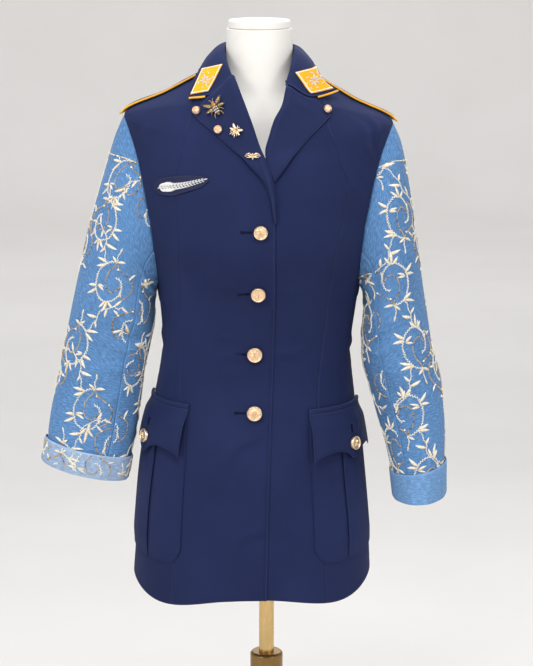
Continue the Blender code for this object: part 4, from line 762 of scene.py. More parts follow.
def mesh_object(name, points, faces, look, uv=None, shade=None, sharp=50.0):
    """One object. faces is an index array, or a list of index arrays of different widths."""
    points = np.asarray(points, float)
    groups = faces if isinstance(faces, list) else [faces]
    groups = [np.asarray(group) for group in groups]
    if signed_volume(points, groups) < 0:
        groups = [group[:, ::-1] for group in groups]
    mesh = bpy.data.meshes.new(name)
    mesh.vertices.add(len(points))
    mesh.vertices.foreach_set("co", points.ravel())
    corners = np.concatenate([group.ravel() for group in groups])
    counts = np.concatenate([np.full(len(group), group.shape[1]) for group in groups])
    mesh.loops.add(len(corners))
    mesh.loops.foreach_set("vertex_index", corners.astype(np.int32))
    mesh.polygons.add(len(counts))
    starts = np.concatenate([[0], np.cumsum(counts)[:-1]])
    mesh.polygons.foreach_set("loop_start", starts.astype(np.int32))
    mesh.update(calc_edges=True)
    if uv is not None:
        layer = mesh.uv_layers.new(name="cloth")
        layer.data.foreach_set("uv", np.asarray(uv, float)[corners].ravel())
    if shade is not None:
        tint = mesh.color_attributes.new("shade", "FLOAT_COLOR", "POINT")
        values = np.concatenate([np.asarray(shade, float), np.ones((len(points), 1))], axis=1)
        tint.data.foreach_set("color", values.ravel())
    mesh.materials.append(look)
    mesh.validate()
    mesh.shade_smooth()
    if sharp:
        mesh.set_sharp_from_angle(angle=math.radians(sharp))
    made = bpy.data.objects.new(name, mesh)
    bpy.context.scene.collection.objects.link(made)
    return made


def dressed(piece, slot, *nodes, on="form"):
    """Ties a piece to its body and hides the solids it stands for; slot is not used."""
    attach(piece, on)
    if nodes:
        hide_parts(*nodes)
    return piece


def grid_size(grid, closed=False):
    """Widest row, longest column and area of a grid of points, in metres."""
    if closed:
        grid = np.concatenate([grid, grid[:, :1]], axis=1)
    rows = np.linalg.norm(np.diff(grid, axis=1), axis=-1).sum(axis=1)
    columns = np.linalg.norm(np.diff(grid, axis=0), axis=-1).sum(axis=0)
    a = grid[1:, 1:] - grid[:-1, :-1]
    b = grid[1:, :-1] - grid[:-1, 1:]
    area = np.linalg.norm(np.cross(a, b), axis=-1).sum() / 2
    return rows.max(), columns.max(), area


def cut_of(grid, closed=False):
    width, length, area = grid_size(grid, closed)
    area = min(area, width * length)


def cloth_uv(grid):
    """Distances in metres along the rows and columns of a grid, from its middle column."""
    across = np.linalg.norm(np.diff(grid, axis=1), axis=-1)
    across = np.concatenate([np.zeros((len(grid), 1)), np.cumsum(across, axis=1)], axis=1)
    across = across - across[:, across.shape[1] // 2 : across.shape[1] // 2 + 1]
    along = np.linalg.norm(np.diff(grid, axis=0), axis=-1).mean(axis=1)
    along = np.concatenate([[0], np.cumsum(along)])
    return np.stack([across, np.broadcast_to(along[:, None], across.shape)], axis=-1)


def wall_piece(name, outer, inner, look, closed=False, sharp=50.0):
    """A closed sheet between two grids of points."""
    rows, columns = outer.shape[:2]
    points = np.concatenate([outer.reshape(-1, 3), inner.reshape(-1, 3)])
    uv = cloth_uv(outer).reshape(-1, 2)
    faces = wall_faces(rows, columns, closed)
    return mesh_object(name, points, faces, look, np.concatenate([uv, uv]), sharp=sharp)


def body_normal(angle, level):
    """Outward normal of the shell at these places."""
    return unit(body(angle, level, 0.001) - body(angle, level))


# ---------------------------------------------------------------- creases in the shell
ROUND = 0.145  # mean radius of the body, which turns degrees into metres for the creases

# soft folds on the front: x and z of both ends, half width and height (troughs below zero)
FRONT_FOLDS = {
    "left shoulder drag": (0.125, 1.418, 0.151, 1.362, 0.0050, 0.0022),
    "left shoulder trough": (0.133, 1.420, 0.158, 1.362, 0.0048, -0.0016),
    "left armhole drag": (0.149, 1.420, 0.159, 1.390, 0.0042, 0.0016),
    "right shoulder drag": (-0.158, 1.420, -0.172, 1.372, 0.0060, 0.0012),
    "right armhole trough": (-0.150, 1.410, -0.163, 1.368, 0.0050, -0.0008),
    "fourth button drag": (-0.009, 0.969, -0.066, 0.910, 0.0075, 0.0017),
    "fourth button trough": (-0.006, 0.957, -0.060, 0.899, 0.0070, -0.0013),
    "hip drag": (-0.030, 0.893, -0.068, 0.872, 0.0065, 0.0012),
    "low front drag": (-0.004, 0.829, -0.052, 0.789, 0.0080, 0.0016),
    "low front trough": (-0.001, 0.815, -0.045, 0.779, 0.0075, -0.0012),
    "left hip drag": (0.012, 0.955, 0.052, 0.925, 0.0070, 0.0010),
    "left low front": (0.014, 0.850, 0.060, 0.800, 0.0090, 0.0014),
    "waist right": (-0.030, 1.080, -0.085, 1.071, 0.0070, 0.0011),
    "waist right trough": (-0.032, 1.067, -0.080, 1.056, 0.0065, -0.0010),
    "waist right high": (-0.030, 1.098, -0.075, 1.107, 0.0055, 0.0008),
    "waist left": (0.016, 1.086, 0.060, 1.092, 0.0065, 0.0010),
    "waist left trough": (0.018, 1.072, 0.058, 1.069, 0.0060, -0.0009),
    "ribs right": (-0.026, 1.176, -0.080, 1.186, 0.0070, 0.0010),
    "ribs left": (0.018, 1.178, 0.066, 1.192, 0.0070, 0.0010),
    "ribs right trough": (-0.028, 1.160, -0.072, 1.164, 0.0065, -0.0008),
    "under bust right": (-0.070, 1.212, -0.120, 1.196, 0.0085, -0.0012),
    "under bust left": (0.050, 1.214, 0.100, 1.200, 0.0085, -0.0012),
    "armhole right": (-0.166, 1.300, -0.128, 1.330, 0.0085, 0.0013),
    "armhole right low": (-0.165, 1.262, -0.135, 1.280, 0.0075, -0.0011),
    "armhole left": (0.143, 1.300, 0.108, 1.330, 0.0085, 0.0013),
    "armhole left low": (0.143, 1.262, 0.118, 1.278, 0.0075, -0.0011),
    "right chest": (-0.060, 1.330, -0.105, 1.300, 0.0110, 0.0010),
    "left chest": (0.045, 1.330, 0.085, 1.300, 0.0110, 0.0009),
}
# the same on the sides and the back: angle and level of both ends
ROUND_FOLDS = {
    "right waist side": (-78.0, 1.092, -118.0, 1.080, 0.0070, 0.0014),
    "right waist side trough": (-80.0, 1.076, -112.0, 1.062, 0.0065, -0.0013),
    "left waist side": (74.0, 1.094, 116.0, 1.084, 0.0070, 0.0014),
    "left waist side trough": (78.0, 1.078, 110.0, 1.066, 0.0065, -0.0013),
    "right underarm": (-84.0, 1.168, -66.0, 1.135, 0.0065, 0.0014),
    "left underarm": (84.0, 1.166, 64.0, 1.130, 0.0065, 0.0014),
    "right underarm back": (-97.0, 1.166, -118.0, 1.128, 0.0070, 0.0015),
    "left underarm back": (97.0, 1.166, 120.0, 1.125, 0.0070, 0.0015),
    "small of back": (-168.0, 1.075, -128.0, 1.088, 0.0080, 0.0016),
    "small of back low": (-170.0, 1.058, -134.0, 1.050, 0.0075, -0.0014),
    "small of back left": (166.0, 1.079, 130.0, 1.092, 0.0080, 0.0015),
    "small of back left low": (168.0, 1.061, 128.0, 1.054, 0.0075, -0.0014),
    "blade right": (-128.0, 1.315, -142.0, 1.225, 0.0120, 0.0016),
    "blade left": (130.0, 1.318, 144.0, 1.215, 0.0120, 0.0016),
    "back armhole right": (-118.0, 1.300, -134.0, 1.345, 0.0090, 0.0014),
    "back armhole left": (118.0, 1.298, 136.0, 1.348, 0.0090, 0.0014),
    "neck back right": (-172.0, 1.440, -140.0, 1.405, 0.0070, 0.0010),
    "neck back left": (172.0, 1.438, 142.0, 1.407, 0.0070, 0.0010),
    "skirt right back": (-140.0, 0.735, -136.0, 0.925, 0.0170, 0.0030),
    "skirt right back trough": (-156.0, 0.735, -150.0, 0.900, 0.0160, -0.0022),
    "skirt left back": (142.0, 0.735, 138.0, 0.920, 0.0170, 0.0028),
    "skirt left back trough": (158.0, 0.735, 151.0, 0.905, 0.0160, -0.0022),
    "skirt right side": (-104.0, 0.735, -100.0, 0.890, 0.0150, -0.0018),
    "skirt left side": (104.0, 0.735, 99.0, 0.885, 0.0150, -0.0018),
    "skirt front right": (-24.0, 0.735, -20.0, 0.860, 0.0140, 0.0016),
    "skirt front left": (20.0, 0.735, 16.0, 0.870, 0.0140, -0.0012),
}


def fold_lines():
    """Both ends, half width and height of every shell fold, in metres round and up the body."""
    lines = []
    for x0, z0, x1, z1, width, height in FRONT_FOLDS.values():
        angle, level = on_front(np.array([x0, x1]), np.array([z0, z1]))
        around = np.radians(angle) * ROUND
        lines.append((around[0], level[0], around[1], level[1], width, height))
    for a0, l0, a1, l1, width, height in ROUND_FOLDS.values():
        lines.append((math.radians(a0) * ROUND, l0, math.radians(a1) * ROUND, l1, width, height))
    return lines


SHELL_FOLDS = fold_lines()
FOLD_RIDGE = 1.5  # how much the ridges and the troughs are deepened
FOLD_TROUGH = 1.2


def shell_fold(angle, level):
    """Height of the shell's soft folds at these points."""
    around = np.radians(angle) * ROUND
    total = np.zeros_like(around)
    for u0, v0, u1, v1, width, height in SHELL_FOLDS:
        length = math.hypot(u1 - u0, v1 - v0)
        along_u = (u1 - u0) / length
        along_v = (v1 - v0) / length
        run = ((around - u0) * along_u + (level - v0) * along_v) / length
        aside = -(around - u0) * along_v + (level - v0) * along_u
        aside = aside + 0.10 * length * np.sin(np.clip(run, 0, 1) * math.pi) ** 2
        fade = np.exp(-(np.abs((run - 0.5) / 0.46) ** 3.2))
        height = height * (FOLD_RIDGE if height > 0 else FOLD_TROUGH)
        total = total + height * fade * np.exp(-((aside / width) ** 2))
    return total


def body(angle, level, out=0.0):
    """The shell's underside with its folds, moved out along its normal."""
    return plain_body(angle, level, out + shell_fold(np.asarray(angle, float), np.asarray(level, float)))


COLLAR_TABLES = {side: collar_table(side) for side in (-1, 1)}


# ---------------------------------------------------------------- materials
class Nodes:
    """Builds one material's nodes, with short calls for the ones used most."""

    def __init__(self, name):
        self.look = bpy.data.materials.new(name)
        self.look.use_nodes = True
        self.tree = self.look.node_tree
        self.shader = self.tree.nodes["Principled BSDF"]

    def add(self, kind, **settings):
        node = self.tree.nodes.new(kind)
        for key, value in settings.items():
            setattr(node, key, value)
        return node

    def link(self, source, target):
        self.tree.links.new(source, target)

    def set(self, **values):
        for key, value in values.items():
            self.shader.inputs[key.replace("_", " ")].default_value = value

    def math(self, operation, first, second=None, third=None):
        node = self.add("ShaderNodeMath", operation=operation)
        for slot, value in enumerate((first, second, third)):
            if value is None:
                continue
            if isinstance(value, (int, float)):
                node.inputs[slot].default_value = value
            else:
                self.link(value, node.inputs[slot])
        return node.outputs[0]

    def noise(self, scale, detail=3.0, where=None, rough=0.5):
        node = self.add("ShaderNodeTexNoise")
        node.inputs["Scale"].default_value = scale
        node.inputs["Detail"].default_value = detail
        node.inputs["Roughness"].default_value = rough
        if where is None:
            where = self.add("ShaderNodeTexCoord").outputs["Object"]
        self.link(where, node.inputs["Vector"])
        return node.outputs["Fac"]

    def ramp(self, value, low, high, start=0.0, end=1.0):
        node = self.add("ShaderNodeMapRange")
        node.inputs["From Min"].default_value = low
        node.inputs["From Max"].default_value = high
        node.inputs["To Min"].default_value = start
        node.inputs["To Max"].default_value = end
        self.link(value, node.inputs["Value"])
        return node.outputs["Result"]

    def mix(self, share, first, second, how="MIX"):
        node = self.add("ShaderNodeMix", data_type="RGBA", blend_type=how)
        for slot, value in ((0, share), (6, first), (7, second)):
            if isinstance(value, (int, float)):
                node.inputs[slot].default_value = value
            elif isinstance(value, tuple):
                node.inputs[slot].default_value = (*value, 1.0)
            else:
                self.link(value, node.inputs[slot])
        return node.outputs[2]

    def bump(self, height, strength, distance, before=None):
        node = self.add("ShaderNodeBump")
        node.inputs["Strength"].default_value = strength
        node.inputs["Distance"].default_value = distance
        self.link(height, node.inputs["Height"])
        if before is not None:
            self.link(before, node.inputs["Normal"])
        return node.outputs["Normal"]

    def colour(self, value):
        self.link(value, self.shader.inputs["Base Color"])

    def roughness(self, value):
        self.link(value, self.shader.inputs["Roughness"])

    def normal(self, value):
        self.link(value, self.shader.inputs["Normal"])


def cloth_look(
    name, colour, weave=0.0009, slope=1.0, rough=0.80, sheen=0.05, tint=None, ridge=0.45, spread=0.10, streak=0.0
):
    """Woven cloth: a twill line of the given pitch in metres, mottled colour and worn edges."""
    n = Nodes(name)
    split = n.add("ShaderNodeSeparateXYZ")
    uv = n.add("ShaderNodeUVMap", uv_map="cloth")
    n.link(uv.outputs["UV"], split.inputs[0])
    u, v = split.outputs[0], split.outputs[1]
    wobble = n.math("MULTIPLY", n.noise(90.0, 2.0), weave * 0.8)
    run = n.math("ADD", n.math("MULTIPLY", u, slope), n.math("ADD", v, wobble))
    twill = n.math("SINE", n.math("MULTIPLY", run, 2 * math.pi / weave))
    cross = n.math("SINE", n.math("MULTIPLY", n.math("SUBTRACT", u, v), 2 * math.pi / (weave * 0.62)))
    thread = n.math("ADD", n.math("MULTIPLY", twill, 0.65), n.math("MULTIPLY", cross, 0.35))
    slub = n.noise(420.0, 2.0)
    cloud = n.noise(7.0, 4.0)
    light = tuple(min(1.0, c * (1 + 2.2 * spread) + 0.004) for c in colour)
    dark = tuple(c * (1 - 2.0 * spread) for c in colour)
    base = n.mix(n.ramp(cloud, 0.3, 0.7), dark, light)
    base = n.mix(n.ramp(slub, 0.35, 0.7, 0.0, 0.30), base, light)
    if streak:
        stretched = n.add("ShaderNodeMapping")
        stretched.inputs["Scale"].default_value = (130.0, 520.0, 1.0)
        n.link(uv.outputs["UV"], stretched.inputs["Vector"])
        slubs = n.noise(1.0, 3.0, stretched.outputs["Vector"], 0.6)
        base = n.mix(n.ramp(slubs, 0.42, 0.62, 0.0, streak), base, tuple(c * 0.52 for c in colour))
        base = n.mix(n.ramp(slubs, 0.50, 0.34, 0.0, streak), base, tuple(min(1.0, c * 1.5 + 0.05) for c in colour))
    shade = n.ramp(thread, -1.0, 1.0, 0.0, 0.22)
    base = n.mix(shade, base, tuple(c * 0.55 for c in colour))
    worn = n.ramp(n.add("ShaderNodeNewGeometry").outputs["Pointiness"], 0.515, 0.56, 0.0, 0.30)
    base = n.mix(worn, base, tuple(min(1.0, c * 1.5 + 0.02) for c in colour))
    n.colour(base)
    n.roughness(n.ramp(cloud, 0.25, 0.75, rough - 0.05, rough + 0.06))
    soft = n.bump(n.noise(26.0, 3.0), 0.25, 0.0016)
    n.normal(n.bump(thread, ridge, 0.00016, soft))
    n.set(Sheen_Weight=sheen, Sheen_Roughness=0.45, Specular_IOR_Level=0.14)
    n.shader.inputs["Sheen Tint"].default_value = (*(tint or (0.40, 0.50, 0.95)), 1.0)
    return n.look


def cord_look(name, colour, rough=0.5):
    """Twisted or satin-covered cord."""
    n = Nodes(name)
    fine = n.noise(900.0, 2.0)
    cloud = n.noise(40.0, 3.0)
    base = n.mix(n.ramp(cloud, 0.3, 0.7), tuple(c * 0.82 for c in colour), tuple(min(1.0, c * 1.1) for c in colour))
    base = n.mix(n.ramp(fine, 0.35, 0.65, 0.0, 0.4), base, tuple(c * 0.6 for c in colour))
    n.colour(base)
    n.roughness(n.ramp(fine, 0.3, 0.7, rough - 0.08, rough + 0.1))
    n.normal(n.bump(fine, 0.35, 0.0003))
    n.set(Sheen_Weight=0.15, Sheen_Roughness=0.4)
    return n.look


def thread_look(name, rough=0.42, sheen=0.10, metallic=0.0, gloss=0.5):
    """Embroidery and sewing thread, tinted by each stitch's own colour."""
    n = Nodes(name)
    tint = n.add("ShaderNodeVertexColor", layer_name="shade")
    fine = n.noise(1400.0, 2.0)
    base = n.mix(n.ramp(fine, 0.3, 0.75, 0.0, 0.25), tint.outputs["Color"], (0.30, 0.22, 0.16), "MULTIPLY")
    n.colour(base)
    n.roughness(n.ramp(fine, 0.3, 0.7, rough - 0.08, rough + 0.12))
    n.normal(n.bump(fine, 0.3, 0.0002))
    n.set(Sheen_Weight=sheen, Sheen_Roughness=0.4, Specular_IOR_Level=gloss, Metallic=metallic)
    return n.look


def metal_look(name, colour, dark, rough=0.28, grime_and_shade=0.55, scratches=0.3, scale=60.0):
    """Metal darker in its hollows, from grime and painted shade, and lighter on its edges, from rubbed wear and a
    painted highlight, with fine scratches.
    """
    n = Nodes(name)
    cloud = n.noise(scale, 5.0)
    stretched = n.add("ShaderNodeMapping")
    stretched.inputs["Scale"].default_value = (1.0, 1.0, 0.06)
    n.link(n.add("ShaderNodeTexCoord").outputs["Object"], stretched.inputs["Vector"])
    lines = n.noise(scale * 14, 3.0, stretched.outputs["Vector"])
    point = n.add("ShaderNodeNewGeometry").outputs["Pointiness"]
    # darker in the hollows: grime and patina, and painted shade
    hollow_grime_and_shade = n.ramp(point, 0.42, 0.51, grime_and_shade, 0.0)
    base = n.mix(hollow_grime_and_shade, colour, dark)
    base = n.mix(n.ramp(cloud, 0.42, 0.68, 0.0, 0.35), base, tuple(c * 0.72 for c in colour))
    # lighter on the convex edges: rubbed wear, and a painted highlight
    rubbed_edge_and_highlight = n.ramp(point, 0.52, 0.6, 0.0, 0.5)
    base = n.mix(rubbed_edge_and_highlight, base, tuple(min(1.0, c * 1.25 + 0.04) for c in colour))
    n.colour(base)
    uneven = n.math("ADD", n.ramp(cloud, 0.3, 0.7, rough - 0.06, rough + 0.12), n.ramp(lines, 0.45, 0.7, 0.0, 0.12))
    n.roughness(uneven)
    n.normal(n.bump(lines, scratches, 0.00008, n.bump(cloud, 0.08, 0.0006)))
    n.set(Metallic=1.0)
    return n.look


def stand_look(name, colour):
    """The form's smooth, tightly covered body, with faint soiling."""
    n = Nodes(name)
    cloud = n.noise(5.0, 4.0)
    grain = n.noise(900.0, 2.0)
    scuff = n.noise(34.0, 6.0)
    base = n.mix(n.ramp(cloud, 0.3, 0.7), colour, tuple(c * 0.93 for c in colour))
    base = n.mix(n.ramp(scuff, 0.56, 0.74, 0.0, 0.18), base, (0.50, 0.47, 0.42))
    n.colour(base)
    n.roughness(n.ramp(scuff, 0.3, 0.7, 0.48, 0.62))
    n.normal(n.bump(grain, 0.16, 0.0002, n.bump(cloud, 0.12, 0.003)))
    n.set(Sheen_Weight=0.08, Specular_IOR_Level=0.4)
    return n.look


def pearl_look():
    """Milky, softly shining beads."""
    n = Nodes("pearl")
    cloud = n.noise(120.0, 3.0)
    n.colour(n.mix(n.ramp(cloud, 0.3, 0.7), (0.82, 0.74, 0.60), (0.95, 0.90, 0.80)))
    n.roughness(n.ramp(cloud, 0.3, 0.7, 0.16, 0.26))
    n.normal(n.bump(cloud, 0.05, 0.0004))
    n.set(Coat_Weight=0.7, Coat_Roughness=0.08, Specular_IOR_Level=0.6)
    return n.look


def crystal_look(name, colour):
    """Cut glass stones."""
    n = Nodes(name)
    cloud = n.noise(300.0, 2.0)
    n.colour(n.mix(n.ramp(cloud, 0.35, 0.65), colour, tuple(min(1.0, c * 1.2) for c in colour)))
    n.roughness(n.ramp(cloud, 0.3, 0.7, 0.04, 0.10))
    n.set(Coat_Weight=1.0, Coat_Roughness=0.03, Specular_IOR_Level=0.9, Metallic=0.35)
    return n.look


NAVY_COLOUR = (0.0098, 0.0170, 0.0680)
NAVY = cloth_look("navy_twill", NAVY_COLOUR)
SATIN = cloth_look("navy_twill_pressed", NAVY_COLOUR, rough=0.74, sheen=0.07)
PATCH_NAVY = cloth_look("navy_patch", (0.017, 0.021, 0.060), weave=0.0007)
BLUE = cloth_look(
    "sky_blue_brocade",
    (0.094, 0.226, 0.458),
    weave=0.0008,
    rough=0.58,
    sheen=0.10,
    tint=(0.7, 0.82, 1.0),
    streak=0.55,
)
CUFF_CLOTH = {"weave": 0.0010, "rough": 0.66, "tint": (0.8, 0.88, 1.0), "streak": 0.4}
CUFF_LOOKS = {
    -1: cloth_look("pale_blue_cuff", (0.290, 0.400, 0.575), **CUFF_CLOTH),
    1: cloth_look("blue_cuff_left", (0.140, 0.285, 0.520), **CUFF_CLOTH),
}
YELLOW_CLOTH = cloth_look("yellow_cloth", (0.86, 0.40, 0.012), weave=0.0008, rough=0.70, tint=(1.0, 0.9, 0.6))
YELLOW_CORD = cord_look("yellow_cord", (0.88, 0.42, 0.014))
THREAD = thread_look("embroidery_thread")
SEWING = thread_look("sewing_thread", rough=0.85, sheen=0.0, gloss=0.08)
METAL_THREAD = thread_look("metal_thread", rough=0.34, sheen=0.0, metallic=0.30)
GOLD = metal_look("pale_gold", (0.95, 0.71, 0.47), (0.34, 0.17, 0.07), rough=0.26, scale=220.0)
STUD_GOLD = metal_look("rose_gold", (0.84, 0.58, 0.42), (0.22, 0.11, 0.06), rough=0.32, scale=300.0)
ANTIQUE = metal_look("antique_gold", (0.30, 0.20, 0.08), (0.05, 0.03, 0.015), rough=0.30, grime_and_shade=0.8, scale=260.0)
PEARL = pearl_look()
CRYSTAL = crystal_look("clear_crystal", (0.78, 0.80, 0.84))
AMBER = crystal_look("amber_crystal", (0.55, 0.24, 0.04))
FORM_WHITE = stand_look("form_cover", (0.745, 0.725, 0.69))
BRASS = metal_look("stand_brass", (0.58, 0.395, 0.165), (0.19, 0.11, 0.04), rough=0.24, grime_and_shade=0.4, scale=26.0)
TUBE_BRASS = metal_look("tube_brass", (0.28, 0.170, 0.062), (0.08, 0.045, 0.016), rough=0.30, grime_and_shade=0.5, scale=26.0)


# ---------------------------------------------------------------- shell panels
def spread(count, ends=1.0):
    """Shares from 0 to 1 that crowd towards both ends."""
    even = np.linspace(0, 1, count)
    crowded = (1 - np.cos(even * math.pi)) / 2
    return even * (1 - 0.6 * ends) + crowded * 0.6 * ends


def edge_drop(distance, width=0.0028, depth=0.0010):
    """How far the face of a panel rolls away at its sewn edge."""
    return depth * (1 - np.clip(distance / width, 0, 1)) ** 2


def pucker(around, along, distance):
    """Small uneven gathers beside a seam."""
    wave = np.sin(along * 2 * math.pi / 0.0150 + 2.1 * np.sin(along * 23.0 + around))
    wave = wave * (0.55 + 0.45 * np.sin(along * 41.0 + around * 1.7))
    return 0.00028 * wave * np.exp(-distance / 0.0075)


def line_distance(grid, column):
    """Distance of each point of a grid from its first or last column, along the row."""
    steps = np.linalg.norm(np.diff(grid, axis=1), axis=-1)
    run = np.concatenate([np.zeros((len(grid), 1)), np.cumsum(steps, axis=1)], axis=1)
    return run if column == 0 else run[:, -1:] - run


def rim_distance(grid, rows=(0,)):
    """Distance of each point of a grid to its nearest side, or to one of these end rows."""
    near = np.minimum(line_distance(grid, 0), line_distance(grid, -1))
    for row in rows:
        near = np.minimum(near, line_distance(grid.transpose(1, 0, 2), row).T)
    return near


def shell_panel(name, left, right, columns, look, out=0.0, nodes=None, hem=True):
    """A shell piece between two lines of (angle, level), puckered along its seams."""
    share = spread(columns)[None, :, None]
    grid = left[:, None, :] * (1 - share) + right[:, None, :] * share
    angle = grid[..., 0]
    level = grid[..., 1]
    rise = out(angle, level) if callable(out) else out
    rough = body(angle, level, rise)
    first = line_distance(rough, 0)
    last = line_distance(rough, -1)
    near = np.minimum(first, last)
    along = np.broadcast_to(cloth_uv(rough)[..., 1], near.shape)
    lift = rise + pucker(1.3, along, first) + pucker(4.2, along, last)
    drop = edge_drop(near)
    if hem:
        drop = np.maximum(drop, edge_drop(level - HEM_LEVEL, 0.0024, 0.0008))
    outer = body(angle, level, lift + WALL - drop)
    inner = body(angle, level, lift)
    piece = wall_piece(name, outer, inner, look)
    cut_of(outer)
    dressed(piece, "navy_cloth", *(nodes or [name.replace("cloth_", "")]))
    return outer


def build_front_sides():
    """The two side panels of the front."""
    for name, side, table in (
        ("front_right_side", -1, PRINCESS_RIGHT),
        ("front_left_side", 1, PRINCESS_LEFT),
    ):
        inner = shifted(princess_line(side, table), side * SEAM)
        inner[-1] = (side * (90 - SIDE_SEAM), PRINCESS_LEVEL - GAP)
        outer = side_line(side, True, -side * SIDE_SEAM)
        lines = (inner, outer) if side > 0 else (outer, inner)
        shell_panel(f"cloth_{name}", *lines, 40, NAVY)


def front_centre_lines(side):
    """The princess seam and the front edge of one centre panel."""
    table = PRINCESS_RIGHT if side < 0 else PRINCESS_LEFT
    seam = shifted(princess_line(side, table), -side * SEAM)
    seam[-1] = (side * (90 - SIDE_SEAM), PRINCESS_LEVEL + GAP)
    levels = np.append(LOWER_LEVELS, UNDERARM_LEVEL)
    edge_x = table_curve(RIGHT_EDGE, levels)[:, 0] if side < 0 else LEFT_EDGE_X
    low_edge = np.stack([angle_of_x(edge_x, levels), levels], axis=-1)
    roll, _ = lapel_lines(LAPEL_RIGHT if side < 0 else LAPEL_LEFT)
    to_neck = neck_line(roll[-1, 0], side * (90 - SIDE_SEAM), 24)[1:]
    if side > 0:
        hidden = np.array([[angle_of_x(LEFT_EDGE_X, BREAK_LEVEL), BREAK_LEVEL]])
        roll = np.concatenate([hidden, roll])
    high_edge = resampled(np.concatenate([low_edge[-1:], roll, to_neck]), ARMHOLE_STEPS + 1)
    return seam, np.concatenate([low_edge, high_edge[1:]])


def build_front_centres():
    """The two centre panels of the front, the right one lapped over the left."""
    outers = {}
    for name, side in (("front_right_centre", -1), ("front_left_centre", 1)):
        seam, edge = front_centre_lines(side)
        lines = (seam, edge) if side < 0 else (edge, seam)
        rise = lap_rise if side < 0 else under_sink
        outers[side] = shell_panel(f"cloth_{name}", *lines, 44, NAVY, out=rise)
    return outers


def build_backs():
    """The two back panels."""
    for name, side in (("back_right", -1), ("back_left", 1)):
        levels = np.concatenate([LOWER_LEVELS, np.linspace(UNDERARM_LEVEL, 1.43, ARMHOLE_STEPS + 1)])
        centre = np.stack([np.full(len(levels), side * (180 - SIDE_SEAM)), levels], axis=-1)
        outer = side_line(side, False, side * SIDE_SEAM)
        shoulder = np.linspace(SHOULDER_LEVEL, NECK_LEVEL, 21)[1:]
        crest = np.stack([np.full(20, side * (90 + SIDE_SEAM)), shoulder], axis=-1)
        middle = np.linspace(1.43, NECK_LEVEL, 21)[1:]
        centre_top = np.stack([np.full(20, side * (180 - SIDE_SEAM)), middle], axis=-1)
        outer = np.concatenate([outer, crest])
        centre = np.concatenate([centre, centre_top])
        lines = (outer, centre) if side > 0 else (centre, outer)
        shell_panel(f"cloth_{name}", *lines, 56, NAVY)


# ---------------------------------------------------------------- sleeves and cuffs
SLEEVE_LENGTH = 0.56  # nominal length, which turns shares into metres for the creases
SLEEVE_TURN = 0.00105  # metres round the sleeve for a degree of turn

# more soft folds of each sleeve: turn and share at both ends, half width and height in metres
SLEEVE_CREASES = {
    -1: (
        (168.0, 0.10, 96.0, 0.22, 0.0085, 0.0022),
        (170.0, 0.15, 108.0, 0.28, 0.0080, -0.0019),
        (150.0, 0.36, 84.0, 0.45, 0.0085, 0.0028),
        (158.0, 0.42, 88.0, 0.52, 0.0075, -0.0024),
        (146.0, 0.50, 74.0, 0.58, 0.0080, 0.0024),
        (140.0, 0.60, 86.0, 0.70, 0.0085, -0.0020),
        (128.0, 0.70, 66.0, 0.82, 0.0090, 0.0019),
        (60.0, 0.34, 20.0, 0.46, 0.0100, 0.0016),
        (30.0, 0.52, 4.0, 0.66, 0.0110, -0.0014),
        (200.0, 0.30, 286.0, 0.42, 0.0100, 0.0026),
        (206.0, 0.40, 300.0, 0.54, 0.0095, -0.0023),
        (214.0, 0.52, 290.0, 0.66, 0.0100, 0.0024),
        (230.0, 0.66, 310.0, 0.80, 0.0110, -0.0020),
        (336.0, 0.20, 318.0, 0.48, 0.0130, 0.0018),
        (192.0, 0.08, 250.0, 0.22, 0.0090, 0.0020),
    ),
    1: (
        (166.0, 0.08, 100.0, 0.20, 0.0085, 0.0022),
        (168.0, 0.13, 112.0, 0.27, 0.0080, -0.0019),
        (156.0, 0.30, 92.0, 0.40, 0.0085, 0.0024),
        (154.0, 0.38, 90.0, 0.50, 0.0080, -0.0024),
        (148.0, 0.46, 80.0, 0.55, 0.0080, 0.0028),
        (142.0, 0.56, 84.0, 0.66, 0.0085, -0.0022),
        (136.0, 0.66, 72.0, 0.78, 0.0090, 0.0020),
        (56.0, 0.30, 16.0, 0.44, 0.0100, 0.0017),
        (34.0, 0.50, 2.0, 0.63, 0.0110, -0.0014),
        (198.0, 0.28, 280.0, 0.40, 0.0100, 0.0026),
        (208.0, 0.42, 302.0, 0.55, 0.0095, -0.0022),
        (216.0, 0.55, 292.0, 0.69, 0.0100, 0.0023),
        (232.0, 0.70, 312.0, 0.83, 0.0110, -0.0019),
        (334.0, 0.22, 316.0, 0.50, 0.0130, 0.0018),
        (194.0, 0.09, 252.0, 0.24, 0.0090, 0.0020),
    ),
}


def sleeve_creases(side, turn, share):
    """Height of the sleeve's own soft folds."""
    around = turn * SLEEVE_TURN
    down = share * SLEEVE_LENGTH
    total = np.zeros_like(around)
    for turn_a, share_a, turn_b, share_b, width, height in SLEEVE_CREASES[side]:
        u0 = turn_a * SLEEVE_TURN
        v0 = share_a * SLEEVE_LENGTH
        along_u = turn_b * SLEEVE_TURN - u0
        along_v = share_b * SLEEVE_LENGTH - v0
        length = math.hypot(along_u, along_v)
        along_u, along_v = along_u / length, along_v / length
        run = ((around - u0) * along_u + (down - v0) * along_v) / length
        aside = -(around - u0) * along_v + (down - v0) * along_u
        aside = aside + 0.12 * length * np.sin(np.clip(run, 0, 1) * math.pi) ** 2
        fade = np.exp(-(np.abs((run - 0.5) / 0.46) ** 3.2))
        total = total + height * fade * np.exp(-((aside / width) ** 2))
    return total


SLEEVE_STEPS = 144
SLEEVE_SHARES = np.concatenate([[0.0, 0.006, 0.014, 0.026], np.linspace(0.04, 1.0, 132)])
FRONT_SEAM_TURN = SLEEVE_FRONT_SEAM * 15.0
BACK_SEAM_TURN = SLEEVE_BACK_SEAM * 15.0


